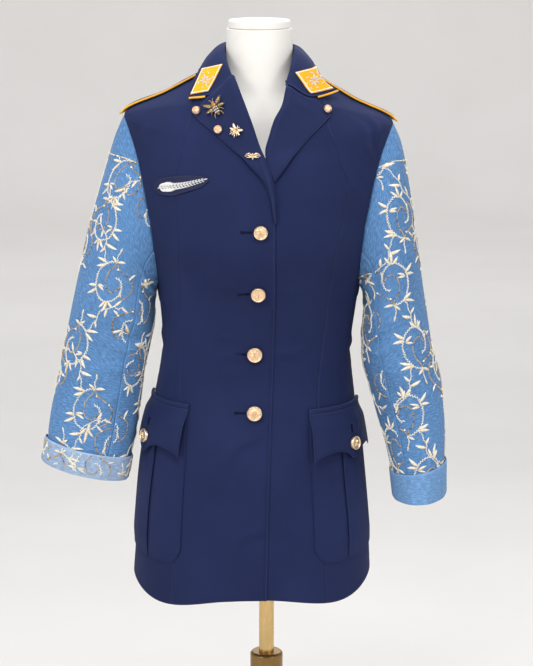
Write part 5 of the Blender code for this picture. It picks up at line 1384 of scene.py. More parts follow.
def sleeve_surface(side, turn, share):
    """Underside of the sleeve cloth with its creases, and the outward normal there."""
    turn, share = np.broadcast_arrays(np.asarray(turn, float), np.asarray(share, float))
    base = sleeve_point(side, turn, share)
    step = 0.5
    slide = 0.004
    low = np.clip(share - slide, 0, 1)
    high = np.clip(share + slide, 0, 1)
    around = sleeve_point(side, turn + step, share) - sleeve_point(side, turn - step, share)
    down = sleeve_point(side, turn, high) - sleeve_point(side, turn, low)
    normal = unit(np.cross(around, down)) * side
    hold = ease(share / 0.05)
    height = sleeve_creases(side, turn, share) * hold
    return base + normal * height[..., None], normal


def sleeve_grid(side, turns, shares):
    """Points and normals of the sleeve, tucked into the armhole at its top."""
    turn, share = np.meshgrid(turns, shares)
    middle, normal = sleeve_surface(side, turn, share)
    angle, level = armhole(side, turns)
    seam_normal = unit(body(angle, level, 0.01) - body(angle, level, 0.0))
    blend = (1 - ease(shares / 0.03))[:, None, None]
    normal = unit(seam_normal[None] * blend + normal * (1 - blend))
    ring = middle[0]
    centre = sleeve_point(side, np.arange(0, 360, 10.0), np.zeros(36)).mean(axis=0)
    into_hole = unit(centre - ring)
    along = np.sum(into_hole * seam_normal, axis=-1, keepdims=True)
    into_hole = unit(into_hole - along * seam_normal)
    middle[0] = middle[0] + into_hole * 2 * GAP
    return middle, normal


def build_sleeve(side, label):
    """Top and under sleeve, with a seam at the front and back of the arm."""
    steps = SLEEVE_STEPS
    front = int(round(FRONT_SEAM_TURN / 360 * steps))
    back = int(round(BACK_SEAM_TURN / 360 * steps))
    parts = (
        (f"sleeve_{label}_top", np.arange(back - steps, front + 1)),
        (f"sleeve_{label}_under", np.arange(front, back + 1)),
    )
    for name, columns in parts:
        turns = columns * 360.0 / steps
        inner_side = 0.6 * 360.0 / steps
        between = [turns[0] + inner_side], turns[1:-1], [turns[-1] - inner_side]
        turns = np.concatenate([turns[:1], *between, turns[-1:]])
        middle, normal = sleeve_grid(side, turns, SLEEVE_SHARES)
        first = line_distance(middle, 0)
        last = line_distance(middle, -1)
        near = np.minimum(first, last)
        along = np.broadcast_to(SLEEVE_SHARES[:, None] * SLEEVE_LENGTH, near.shape)
        lift = pucker(0.4, along, first) + pucker(2.9, along, last)
        drop = np.maximum(edge_drop(near, 0.0024, 0.0009), edge_drop(along, 0.0030, 0.0004))
        outer = middle + normal * (lift + WALL - drop)[..., None]
        inner = middle + normal * lift[..., None]
        for edge, beside in ((0, 1), (-1, -2)):
            inset = unit(inner[:, beside] - inner[:, edge]) * SLEEVE_SEAM * 0.35
            outer[:, edge] += inset
            inner[:, edge] += inset
        piece = wall_piece(f"cloth_{name}", outer, inner, BLUE)
        cut_of(outer)
        dressed(piece, "sleeve_blue", name)


def cuff_top_share():
    """Share down the sleeve at which the cuff starts."""
    return 1 - CUFF_HEIGHT / SLEEVE_LENGTH


def build_cuff(side, label):
    """A turned-back cuff: a band round the sleeve's end, with the fold under it."""
    steps = SLEEVE_STEPS
    turns = np.arange(steps) * 360.0 / steps
    top = cuff_top_share()
    share = np.linspace(top, 1.0, 18)
    grid_turn, grid_share = np.meshgrid(turns, share)
    ring = sleeve_point(side, grid_turn, grid_share)
    centre = ring.mean(axis=1, keepdims=True)
    outward = unit(ring - centre)
    axis = unit(centre[-1, 0] - centre[0, 0])
    run = (grid_share - top) / (1 - top)
    wave = 0.0005 * np.sin(np.radians(turns) * 5 + 1.0)[None, :] * (1 - run)
    wave = wave + 0.0004 * np.sin(np.radians(turns) * 9 + 2.4)[None, :] * run
    flare = (CUFF_CLEARANCE + WALL + CUFF_FLARE * run + wave)[..., None]
    inner_band = ring + outward * flare
    round_top = edge_drop(run * CUFF_HEIGHT, 0.0024, 0.0006)[..., None]
    outer_band = inner_band + outward * (WALL - round_top)
    drop = axis * (2 * GAP)
    bottom = ring[-1] + drop
    outer_rows = [row for row in outer_band[:-1]] + [outer_band[-1] + drop]
    lip_rows = [
        outer_band[-1] * 0.8 + inner_band[-1] * 0.2 + drop + axis * WALL * 0.9,
        (outer_band[-1] + inner_band[-1]) / 2 + drop + axis * WALL * 1.4,
        bottom + outward[-1] * WALL * 0.5 + axis * WALL * 1.4,
        bottom - outward[-1] * CUFF_LIP + axis * WALL,
        bottom - outward[-1] * CUFF_LIP + axis * GAP,
    ]
    inner_rows = [inner_band[-1] + drop] + [row for row in inner_band[-2::-1]]
    rows = np.array(outer_rows + lip_rows + inner_rows)
    count = len(rows)
    closed = np.concatenate([rows, rows[:, :1]], axis=1)
    uv = cloth_uv(closed)
    points = closed.reshape(-1, 3)
    i = np.arange(count)[:, None]
    j = np.arange(steps)[None, :]
    n = (i + 1) % count
    faces = np.stack(
        [i * (steps + 1) + j, i * (steps + 1) + j + 1, n * (steps + 1) + j + 1, n * (steps + 1) + j],
        axis=-1,
    ).reshape(-1, 4)
    # the seam column is welded so that the band is one closed body
    index = np.arange(count * (steps + 1)).reshape(count, steps + 1)
    weld = index.copy()
    weld[:, -1] = weld[:, 0]
    faces = weld.reshape(-1)[faces]
    keep = np.unique(faces)
    remap = np.zeros(len(points), int)
    remap[keep] = np.arange(len(keep))
    piece = mesh_object(
        f"cloth_cuff_{label}", points[keep], remap[faces], CUFF_LOOKS[side], uv.reshape(-1, 2)[keep]
    )
    cut_of(outer_band, closed=True)
    dressed(piece, "cuff_blue", f"cuff_{label}")
    return outer_band, outward


# ---------------------------------------------------------------- lapels and collar
def refined(control, counts):
    """More columns through rows of control points: counts gives the new steps in each span."""
    steps = np.linalg.norm(np.diff(control, axis=1), axis=-1)
    knots = np.concatenate([[0], np.cumsum(steps.mean(axis=0) + 1e-6)])
    at = [np.linspace(knots[i], knots[i + 1], counts[i], endpoint=False) for i in range(len(counts))]
    at = np.concatenate(at + [knots[-1:]])
    flat = control.transpose(1, 0, 2).reshape(control.shape[1], -1)
    made = smooth(knots, flat, at)
    return made.reshape(len(at), len(control), 3).transpose(1, 0, 2)


def lapel_grid(side):
    """Centre of the lapel's underside: rows from the low end up, columns from below the roll."""
    table = LAPEL_RIGHT if side < 0 else LAPEL_LEFT
    notch = NOTCH_RIGHT if side < 0 else NOTCH_LEFT
    roll, edge = lapel_lines(table)
    notch_angle, notch_level = on_front(*notch)
    share = np.concatenate([np.linspace(0, NOTCH_SHARE, 19), np.linspace(NOTCH_SHARE, 1, 15)[1:]])
    rows = len(roll)
    grid = roll[:, None, :] * (1 - share[None, :, None]) + edge[:, None, :] * share[None, :, None]
    straight = grid[-1, 18]
    bend = np.array([notch_angle, notch_level]) - straight
    tent = np.where(share <= NOTCH_SHARE, share / NOTCH_SHARE, (1 - share) / (1 - NOTCH_SHARE))
    along = np.linspace(0, 1, rows)
    near_top = ease((along - 0.72) / 0.28)
    bow = GORGE_BOW * np.sin(math.pi * np.minimum(share / NOTCH_SHARE, 1.0))
    grid = grid + near_top[:, None, None] * tent[None, :, None] * bend[None, None, :]
    grid[..., 1] -= near_top[:, None] * bow[None, :]
    full = ease(0.1 + along / 0.22)
    under = lap_rise(grid[..., 0], grid[..., 1]) if side < 0 else 0.0
    height = LAYER + LAPEL_LIFT + ROLL_HEIGHT * full[:, None] * (1 - share) ** 3
    height = height + lapel_fold(side, grid[..., 0], grid[..., 1])
    laid = body(grid[..., 0], grid[..., 1], under + height)
    section = roll_section(roll[:, 0], roll[:, 1], edge[:, 0], edge[:, 1], full)
    if side < 0:
        normal = body_normal(roll[:, 0], roll[:, 1])
        section = [points + normal * lap_rise(roll[:, 0], roll[:, 1])[:, None] for points in section]
    laid[:, 0] = section[2]
    control = np.concatenate([np.stack(section[:2], axis=1), laid], axis=1)
    counts = [5, 6, 2] + [1] * (control.shape[1] - 4)
    return refined(control, counts)


# soft waves of the lapels: x and z of both ends, half width and height
LAPEL_FOLDS = {
    -1: (
        (-0.020, 1.376, -0.040, 1.440, 0.0060, 0.0007),
        (-0.052, 1.420, -0.086, 1.436, 0.0070, -0.0005),
    ),
    1: (
        (0.040, 1.447, 0.066, 1.428, 0.0045, 0.0016),
        (0.036, 1.438, 0.058, 1.418, 0.0045, -0.0007),
        (0.022, 1.392, 0.042, 1.408, 0.0060, 0.0006),
    ),
}


def lapel_fold(side, angle, level):
    """Height of the lapel's soft waves."""
    point = ring_point(BODY_RINGS, angle, level)
    x = point[..., 0]
    z = point[..., 2]
    total = np.zeros_like(x)
    for x0, z0, x1, z1, width, height in LAPEL_FOLDS[side]:
        length = math.hypot(x1 - x0, z1 - z0)
        ax, az = (x1 - x0) / length, (z1 - z0) / length
        run = ((x - x0) * ax + (z - z0) * az) / length
        aside = -(x - x0) * az + (z - z0) * ax
        fade = np.exp(-(np.abs((run - 0.5) / 0.5) ** 3))
        total = total + height * fade * np.exp(-((aside / width) ** 2))
    return np.maximum(total, -0.0005)


# the lapels' outer edges stand off the front between these heights
STAND_LOW = 1.318
STAND_TOP = 1.398
STAND_OFF = 0.0040
STAND_WIDTH = 0.020


def build_lapel(side, label):
    """A turned-back lapel whose outer edge stands a little off the front."""
    inner = lapel_grid(side)
    if side < 0:
        inner = inner[:, ::-1]
    normal = grid_normals(inner)
    outer_edge = line_distance(inner, 0 if side < 0 else -1)
    height = inner[..., 2]
    stands = ease((STAND_TOP - height) / 0.035) * ease((height - STAND_LOW) / 0.040)
    inner = inner + normal * (STAND_OFF * stands * np.exp(-((outer_edge / STAND_WIDTH) ** 2)))[..., None]
    normal = grid_normals(inner)
    top_edge = line_distance(inner.transpose(1, 0, 2), -1).T
    drop = edge_drop(np.minimum(outer_edge, top_edge), 0.0022, 0.0006)
    outer = inner + normal * (WALL - drop)[..., None]
    piece = wall_piece(f"cloth_lapel_{label}", outer, inner, SATIN)
    cut_of(outer)
    dressed(piece, "navy_cloth", f"lapel_{label}")
    return outer


def build_collar():
    """The fall and stand of the collar in one piece."""
    half = np.linspace(1, 0.012, 64)
    around = np.concatenate([-half, [0.0], half[::-1]])
    across = np.concatenate([np.linspace(0, 0.34, 12), np.linspace(0.36, 0.56, 14), np.linspace(0.59, 1.0, 22)])
    grid_around, grid_across = np.meshgrid(around, across)
    surface = collar_point(grid_around, grid_across)
    normal = grid_normals(surface)
    drop = edge_drop(rim_distance(surface, (-1,)), 0.0022, 0.0006)[..., None]
    outer = surface - normal * drop
    piece = wall_piece("cloth_collar", outer, surface - normal * WALL, SATIN)
    cut_of(outer)
    dressed(piece, "navy_cloth", "collar")
    return outer


# ---------------------------------------------------------------- pockets, flaps and straps
def pocket_grid(pocket, across, up):
    """Angle and level of a pocket: across -1 (front edge) to 1, up 0 (bottom) to 1 (top)."""
    past = np.clip((np.abs(across) - 0.70) / 0.30, 0, 1)
    lowest = pocket["low"] + POCKET_CORNER * (1 - np.sqrt(1 - past**2 * 0.98))
    level = lowest * (1 - up) + pocket["top"] * up
    return pocket_angle(pocket, across, level), level


# the pleat's fold in millimetres: share of the width, outer skin open and pressed, inner share, skin open and pressed
PLEAT_FOLD = (
    (-0.333, 3.90, 1.40, -0.333, 2.50, 0.00),
    (-0.322, 3.78, 1.36, -0.326, 2.30, 0.00),
    (-0.313, 3.20, 1.15, -0.322, 1.70, 0.00),
    (-0.307, 2.40, 0.85, -0.315, 1.00, 0.00),
    (-0.298, 2.03, 0.72, -0.302, 0.66, 0.00),
    (-0.285, 2.00, 0.70, -0.285, 0.60, 0.00),
    (-0.262, 2.00, 0.70, -0.262, 0.60, 0.00),
    (-0.240, 2.00, 0.70, -0.240, 0.60, 0.00),
    (-0.215, 2.00, 0.70, -0.210, 0.60, 0.00),
    (-0.190, 2.02, 0.70, -0.175, 0.62, 0.00),
    (-0.179, 2.40, 0.71, -0.156, 1.20, 0.10),
    (-0.175, 2.90, 0.75, -0.150, 2.90, 0.50),
    (-0.179, 3.40, 0.79, -0.156, 4.30, 1.00),
    (-0.190, 3.78, 0.80, -0.172, 4.54, 1.14),
    (-0.212, 3.80, 0.80, -0.208, 4.55, 1.15),
    (-0.232, 3.80, 0.80, -0.230, 4.55, 1.15),
    (-0.2405, 3.98, 0.86, -0.2330, 4.57, 1.16),
    (-0.2450, 4.32, 1.02, -0.2338, 4.59, 1.17),
    (-0.2460, 4.64, 1.18, -0.2340, 4.60, 1.18),
    (-0.2440, 5.02, 1.38, -0.2338, 4.61, 1.18),
    (-0.2390, 5.30, 1.54, -0.2330, 4.63, 1.19),
    (-0.2310, 5.40, 1.60, -0.2290, 4.65, 1.20),
    (-0.2150, 5.40, 1.60, -0.2080, 4.66, 1.20),
    (-0.1850, 5.40, 1.60, -0.1720, 4.66, 1.20),
    (-0.1550, 5.40, 1.60, -0.1480, 4.66, 1.20),
    (-0.1250, 5.40, 1.60, -0.1250, 4.10, 0.60),
)


def pocket_columns():
    """Shares of the width and skins in metres of each column: outer open, pressed, inner open, pressed."""
    edge = [-1.0, -0.996, -0.988, -0.978, -0.966, -0.95, -0.93, -0.91]
    panel = np.concatenate([edge, np.linspace(-0.885, -0.36, 20)])
    band = np.array([-0.09, -0.05, 0.0, 0.05, 0.10, 0.14, 0.17, 0.19, 0.202, 0.210])
    step = np.array([0.2125, 0.215, 0.2175, 0.221, 0.226, 0.235, 0.25, 0.28])
    beyond = np.concatenate([np.linspace(0.33, 0.885, 15), -np.array(edge)[::-1]])
    rows = [(x, x, 3.90, 1.40, 2.50, 0.00) for x in panel]
    rows += [(a, d, b, c, e, f) for a, b, c, d, e, f in PLEAT_FOLD]
    rows += [(x, x, 5.40, 1.60, 4.00, 0.20) for x in band]
    for x in step:
        down = float(ease((x - 0.209) / 0.012))
        rows.append((x, x, 5.40 - 0.90 * down, 1.60 - 0.20 * down, 4.00 - 0.90 * down, 0.20 - 0.20 * down))
    rows += [(x, x, 4.50, 1.40, 3.10, 0.00) for x in beyond]
    table = np.array(rows)
    table[:, 2:] *= 0.001
    return table


def build_pocket(pocket, label):
    """A patch pocket with an open pleat."""
    table = pocket_columns()
    up = np.concatenate([[0.0, 0.004, 0.012, 0.024, 0.04, 0.06, 0.08], np.linspace(0.1, 1.0, 44)])[:, None]
    opened = ease((up + 0.02) / 0.15) * (1 - 0.85 * ease((up - 0.86) / 0.14))
    far = np.clip((table[:, 0] - 0.10) / 0.10, 0, 1) * np.clip((0.9 - table[:, 0]) / 0.5, 0, 1)
    lean = (-0.055 + 0.10 * up) * far
    wave = 0.010 * np.sin(up * 7.0 + 0.5) * np.exp(-(((table[:, 0] + 0.24) / 0.16) ** 2))
    skins = []
    for share, wide, pressed in ((0, 2, 3), (1, 4, 5)):
        across = table[:, share] + lean + wave
        full = ease((1 - np.abs(table[:, 0])) / 0.35) * opened
        lift = table[:, pressed] + (table[:, wide] - table[:, pressed]) * full
        wobble = 0.0004 * np.sin(up * 9.0 + table[:, 0] * 3.0) * np.clip(1 - np.abs(table[:, 0]), 0, 1)
        angle, level = pocket_grid(pocket, across, up)
        skins.append((angle, level, LAYER + lift + wobble * ease(up / 0.2)))
    rough = body(*skins[0])
    near = rim_distance(rough)
    drop = edge_drop(near, 0.0024, 0.0006)
    outer = body(skins[0][0], skins[0][1], skins[0][2] - drop)
    piece = wall_piece(f"cloth_pocket_{label}", outer, body(*skins[1]), NAVY)
    cut_of(outer)
    dressed(piece, "navy_cloth", f"pocket_{label}")
    return outer


def flap_lift(down, across=0.0):
    """The flap leaves the shell from under the welt and stands off at its front corner."""
    base = LAYER + POCKET_RISE + POCKET_WALL + 3 * GAP
    free = base + (FLAP_OUT - POCKET_RISE) * np.sin(down * math.pi * 0.5)
    held = LAYER + 0.0022
    rear = 1 - 0.55 * ease((np.asarray(across, float) - 0.30) / 0.60)
    front = 0.0030 * ease((-0.45 - np.asarray(across, float)) / 0.55) * down**1.5
    return held + (base - held) * ease(down / 0.35) + (free - base) * rear * ease(down / 0.35) + front


def flap_place(pocket, across, down):
    """Angle and level of a place on the flap."""
    return flap_angle(pocket, across), pocket["top"] - 0.0002 - flap_length(across) * down


def build_flap(pocket, label):
    """A three-pointed flap over the pocket."""
    across = np.concatenate([[-1.0, -0.992, -0.98], np.linspace(-0.96, 0.96, 71), [0.98, 0.992, 1.0]])
    down = np.concatenate([[1.0, 0.99, 0.975, 0.955], np.linspace(0.92, 0.0, 24)])
    grid_across, grid_down = np.meshgrid(across, down)
    angle, level = flap_place(pocket, grid_across, grid_down)
    lift = flap_lift(grid_down, grid_across)
    curl = 0.0009 * np.sin(grid_across * 7.0 + 0.6) * grid_down**2
    pull = (grid_across - 0.10 - 0.55 * (0.62 - grid_down)) / 0.10
    curl = curl + 0.0016 * np.exp(-(pull**2)) * np.exp(-(((grid_down - 0.40) / 0.22) ** 2))
    lift = lift + np.maximum(curl, -0.0003)
    rough = body(angle, level, lift)
    near = rim_distance(rough)
    drop = edge_drop(near, 0.0024, 0.0006)
    outer = body(angle, level, lift + WALL - drop)
    piece = wall_piece(f"cloth_flap_{label}", outer, rough, SATIN)
    cut_of(outer)
    dressed(piece, "navy_cloth", f"flap_{label}")
    build_welt(pocket, label)
    return outer


def build_welt(pocket, label):
    """The narrow band that the flap hangs from."""
    share = np.linspace(0, 1, 81)
    up = np.linspace(0, 1, 9)
    welt_share, welt_up = np.meshgrid(share, up)
    angle = pocket["flap"] + (pocket["outer"] - pocket["flap"]) * welt_share
    level = pocket["top"] + 0.0001 + (WELT_HEIGHT - 0.0001) * welt_up
    crown = 0.0012 * (1 - (2 * welt_up - 1) ** 2) - 0.0009
    outer = body(angle, level, LAYER + 0.0045 + crown)
    piece = wall_piece(f"cloth_welt_{label}", outer, body(angle, level, LAYER), SATIN)
    dressed(piece, "navy_cloth", f"welt_{label}")


def tube_mesh(path, radius, sides=10, twist=0.0):
    """Points and faces of a closed tube along a path of points."""
    path = np.asarray(path, float)
    count = len(path)
    forward = unit(np.gradient(path, axis=0))
    guide = np.array([0.0, 0.0, 1.0])
    if abs(forward[:, 2]).max() > 0.9:
        guide = np.array([0.0, 1.0, 0.0]) if abs(forward[:, 1]).max() < 0.9 else np.array([1.0, 0.0, 0.0])
    aside = unit(np.cross(forward, guide))
    above = np.cross(aside, forward)
    turn = np.linspace(0, 2 * np.pi, sides, endpoint=False)[None, :] + twist * np.arange(count)[:, None]
    size = np.broadcast_to(np.asarray(radius, float), (count,))[:, None, None]
    ring = path[:, None, :] + size * (
        np.cos(turn)[..., None] * aside[:, None, :] + np.sin(turn)[..., None] * above[:, None, :]
    )
    points = np.concatenate([ring.reshape(-1, 3), path[:1], path[-1:]])
    first = count * sides
    j = np.arange(sides)
    k = (j + 1) % sides
    low = np.stack([k, j, np.full(sides, first)], axis=-1)
    high = np.stack([j, k, np.full(sides, first + 1)], axis=-1)
    high[:, :2] += (count - 1) * sides
    return points, [grid_faces(count, sides, closed=True), np.concatenate([low, high])]


def build_epaulette(side, label):
    """A shoulder strap with its piping."""
    along = spread(46)
    across = spread(19, 0.8) * 2 - 1
    grid_across, grid_along = np.meshgrid(across, along)
    angle, level = epaulette_grid(side, grid_along, grid_across)
    lift = epaulette_lift(grid_along)
    wave = 0.0004 * np.sin(grid_along * 11.0 + side) * (1 - grid_across**2)
    lift = lift + np.maximum(wave, -0.0002)
    rough = body(angle, level, lift)
    near = rim_distance(rough)
    outer = body(angle, level, lift + EPAULETTE_WALL - edge_drop(near, 0.0028, 0.0009))
    piece = wall_piece(f"cloth_epaulette_{label}", outer, rough, SATIN)
    cut_of(outer)
    dressed(piece, "navy_cloth", f"epaulette_{label}")
    front = [(s, -1.0) for s in np.linspace(1, 0, 50)]
    end = [(0.0, s) for s in np.linspace(-1, 1, 22)[1:-1]]
    back = [(s, 1.0) for s in np.linspace(0, 1, 50)]
    edge = np.array(front + end + back)
    lift = epaulette_lift(edge[:, 0]) + EPAULETTE_WALL / 2
    angle, level = epaulette_grid(side, edge[:, 0], edge[:, 1])
    path = body(angle, level, lift)
    at_end = 1 - ease(edge[:, 0] / 0.03)
    within = edge[:, 1] * (0.85 + 0.15 * at_end * (np.abs(edge[:, 1]) < 0.98))
    angle, level = epaulette_grid(side, edge[:, 0] + 0.06 * at_end, within)
    away = unit(path - body(angle, level, lift))
    path = path + away * (PIPING_RADIUS + GAP * 4)
    build_piping(f"piping_epaulette_{label}", f"epaulette_piping_{label}", path)


def even_path(path, spacing):
    """The same path with points at an even spacing."""
    steps = np.linalg.norm(np.diff(path, axis=0), axis=1)
    along = np.concatenate([[0], np.cumsum(steps)])
    count = max(4, int(round(along[-1] / spacing)) + 1)
    at = np.linspace(0, along[-1], count)
    return np.stack([np.interp(at, along, path[:, n]) for n in range(3)], axis=-1), along[-1]


def build_piping(name, node, path):
    """A yellow cord along a path. Returns its length."""
    path, length = even_path(path, 0.0016)
    bead = PIPING_RADIUS * (1 + 0.045 * np.sin(np.arange(len(path)) * 1.9))
    bead[0] *= 0.8
    bead[-1] *= 0.8
    points, faces = tube_mesh(path, bead, 12)
    piece = mesh_object(name, points, faces, YELLOW_CORD, sharp=0)
    dressed(piece, "yellow_trim", node)
    return length


def build_collar_trim():
    """The yellow cord at both ends of the collar."""
    for side, label in ((-1, "right"), (1, "left")):
        across = np.linspace(0.81, 0.99, 30)
        line = collar_point(np.full(30, side * 1.0), across)
        beside = collar_point(np.full(30, side * 0.97), across)
        away = unit(line - beside)
        path = line + away * (PIPING_RADIUS + GAP * 2)
        build_piping(f"piping_collar_{label}", f"collar_piping_{label}", path)


# around and across of the patches' straight-sided grids: rows from the top down, outer edge first
PATCH_GRIDS = {
    -1: (
        ((-0.7927, 0.840), (-0.8180, 0.747), (-0.8271, 0.663), (-0.8333, 0.581), (-0.8381, 0.490)),
        ((-0.8513, 0.882), (-0.8654, 0.803), (-0.8746, 0.726), (-0.8835, 0.654), (-0.8945, 0.581)),
        ((-0.8965, 0.925), (-0.9035, 0.854), (-0.9098, 0.786), (-0.9180, 0.716), (-0.9301, 0.650)),
        ((-0.9412, 0.957), (-0.9426, 0.898), (-0.9440, 0.837), (-0.9476, 0.775), (-0.9567, 0.710)),
        ((-0.9840, 0.976), (-0.9820, 0.930), (-0.9800, 0.878), (-0.9790, 0.824), (-0.9810, 0.766)),
    ),
    1: (
        ((0.7000, 0.850), (0.7870, 0.755), (0.8325, 0.666), (0.8633, 0.589), (0.8909, 0.512)),
        ((0.7650, 0.905), (0.8210, 0.827), (0.8638, 0.732), (0.8911, 0.654), (0.9183, 0.583)),
        ((0.8250, 0.940), (0.8590, 0.883), (0.8932, 0.789), (0.9154, 0.710), (0.9394, 0.639)),
        ((0.8950, 0.960), (0.9141, 0.909), (0.9306, 0.830), (0.9433, 0.759), (0.9609, 0.687)),
        ((0.9730, 0.970), (0.9760, 0.917), (0.9770, 0.858), (0.9790, 0.797), (0.9840, 0.731)),
    ),
}


def patch_place(side, over, down):
    """Around and across of the collar for a share over and down the patch."""
    table = np.array(PATCH_GRIDS[side])
    over, down = np.broadcast_arrays(np.asarray(over, float), np.asarray(down, float))
    steps = np.linspace(0, 1, 5)
    rows = smooth(steps, table.transpose(1, 0, 2).reshape(5, 10), over.ravel()).reshape(-1, 5, 2)
    place = np.clip(down.ravel() * 4, 0, 4)
    low = np.minimum(place.astype(int), 3)
    share = (place - low)[:, None]
    at = np.arange(len(place))
    mixed = rows[at, low] * (1 - share) + rows[at, low + 1] * share
    return mixed.reshape(over.shape + (2,))


def patch_surface(side, over, down, out=0.0):
    """Points and normals on a collar patch."""
    place = patch_place(side, over, down)
    surface = collar_point(place[..., 0], place[..., 1])
    normal = collar_normals(place[..., 0], place[..., 1])
    return surface + normal * np.asarray(PATCH_GAP + out)[..., None], normal


def build_collar_patches():
    """The yellow patches on the collar's two points."""
    for side, label in ((-1, "right"), (1, "left")):
        down, over = np.meshgrid(spread(30), spread(26), indexing="ij")
        inner, normal = patch_surface(side, over, down)
        near = rim_distance(inner, (0, -1))
        outer = inner + normal * (PATCH_WALL - edge_drop(near, 0.0016, 0.0005))[..., None]
        piece = wall_piece(f"cloth_collar_patch_{label}", outer, inner, YELLOW_CLOTH)
        cut_of(outer)
        dressed(piece, "yellow_trim", f"collar_patch_{label}")


def breast_place(across, up):
    """Angle and level on the breast patch: across and up from -1 to 1."""
    edges = smooth(list(BREAST_EDGES), list(BREAST_EDGES.values()), across)
    x = BREAST_PATCH["centre x"] + BREAST_PATCH["width"] / 2 * across
    z = BREAST_PATCH["centre z"] + edges[..., 0] * (0.5 - up / 2) + edges[..., 1] * (0.5 + up / 2)
    return on_front(x, z)


def build_breast_patch():
    """The dark patch on the right breast, with its raised rim."""
    across, up = np.meshgrid(spread(70) * 2 - 1, spread(24) * 2 - 1)
    angle, level = breast_place(across, up)
    inner = body(angle, level, LAYER)
    near = rim_distance(inner, (0, -1))
    rim = 0.0006 * np.exp(-(((near - 0.0014) / 0.0009) ** 2))
    outer = body(angle, level, LAYER + 0.0014 + rim - edge_drop(near, 0.0012, 0.0005))
    piece = wall_piece("cloth_breast_patch", outer, inner, PATCH_NAVY)
    cut_of(outer)
    dressed(piece, "navy_cloth", "breast_patch")


# ---------------------------------------------------------------- buttons, studs and brooches
def polar_relief(name, place, axes, radius, rings, steps, height, look):
    """A closed round piece on z = 0 whose top follows height(share of radius, turn)."""
    turn = np.linspace(0, 2 * np.pi, steps, endpoint=False)
    rings = np.asarray(rings, float)
    share, around = np.meshgrid(rings, turn, indexing="ij")
    top = np.stack([share * radius * np.cos(around), share * radius * np.sin(around), height(share, around)], axis=-1)
    foot = np.stack([0.86 * radius * np.cos(turn), 0.86 * radius * np.sin(turn), np.zeros(steps)], axis=-1)
    grid = np.concatenate([top, foot[None]])
    count = len(grid)
    centre_top = np.array([[0.0, 0.0, float(np.mean(height(np.zeros(1), np.zeros(1))))]])
    points = np.concatenate([grid.reshape(-1, 3), centre_top, np.zeros((1, 3))])
    j = np.arange(steps)
    k = (j + 1) % steps
    last = (count - 1) * steps
    size = count * steps
    cap = np.stack([j, k, np.full(steps, size)], axis=-1)
    base = np.stack([k + last, j + last, np.full(steps, size + 1)], axis=-1)
    faces = [grid_faces(count, steps, closed=True), np.concatenate([cap, base])]
    placed = points @ np.asarray(axes) + np.asarray(place)
    return mesh_object(name, placed, faces, look, sharp=40)


def button_height(share, turn):
    """A dished face with a roped rim and a generic eight-leaf rosette."""
    base = 0.0030 + 0.0009 * np.cos(np.clip(share, 0, 0.8) / 0.8 * math.pi / 2)
    rope = 0.0014 * np.exp(-(((share - 0.90) / 0.075) ** 2))
    rope = rope + 0.00022 * np.sin(turn * 40 + share * 18) * np.exp(-(((share - 0.90) / 0.07) ** 2))
    ring = 0.0004 * np.exp(-(((share - 0.755) / 0.03) ** 2))
    bead = 0.00045 * np.exp(-(((share - 0.66) / 0.045) ** 2)) * (0.5 + 0.5 * np.cos(turn * 24))
    leaf = np.clip(np.cos(turn * 8), 0, 1) ** 0.7 * np.sin(np.clip(share / 0.56, 0, 1) * math.pi) ** 0.8
    vein = 1 - 0.35 * np.exp(-((np.sin(turn * 4) / 0.10) ** 2))
    leaves = 0.0009 * leaf * vein * (share < 0.56)
    heart = 0.0009 * np.sqrt(np.clip(1 - (share / 0.17) ** 2, 0, 1))
    edge = -0.0026 * np.clip((share - 0.965) / 0.035, 0, 1) ** 1.5
    return base + rope + ring + bead + leaves + heart + edge


BUTTON_STEPS = 160
FLAP_BUTTON_SCALE = 0.92
BUTTON_RINGS = np.concatenate([np.linspace(0.03, 0.78, 22), np.linspace(0.80, 0.96, 10), [0.975, 0.988, 1.0]])


def build_button(name, place, axes, scale):
    """One metal button."""
    radius = BUTTON_RADIUS * scale
    piece = polar_relief(f"metal_{name}", place, axes, radius, BUTTON_RINGS, BUTTON_STEPS, button_height, GOLD)
    dressed(piece, "gold", name)


def build_buttons():
    """Front buttons and flap buttons."""
    for name, (x, z, scale) in BUTTON_PLACES.items():
        under = 2 * LAYER + WALL * 0.2 + 0.0012
        place, axes = seat_on_front(np.array(x), np.array(z), np.array(under))
        build_button(name, place, axes, scale)
    for pocket, label in ((POCKET_RIGHT, "right"), (POCKET_LEFT, "left")):
        level = pocket["top"] - FLAP_BUTTON_DROP
        lift = flap_lift(FLAP_BUTTON_DROP / FLAP_LENGTHS[0.0]) + WALL + GAP * 3
        place, axes = seat_on_body(np.array(pocket["centre"]), np.array(level), np.array(lift))
        build_button(f"button_flap_{label}", place, axes, FLAP_BUTTON_SCALE)


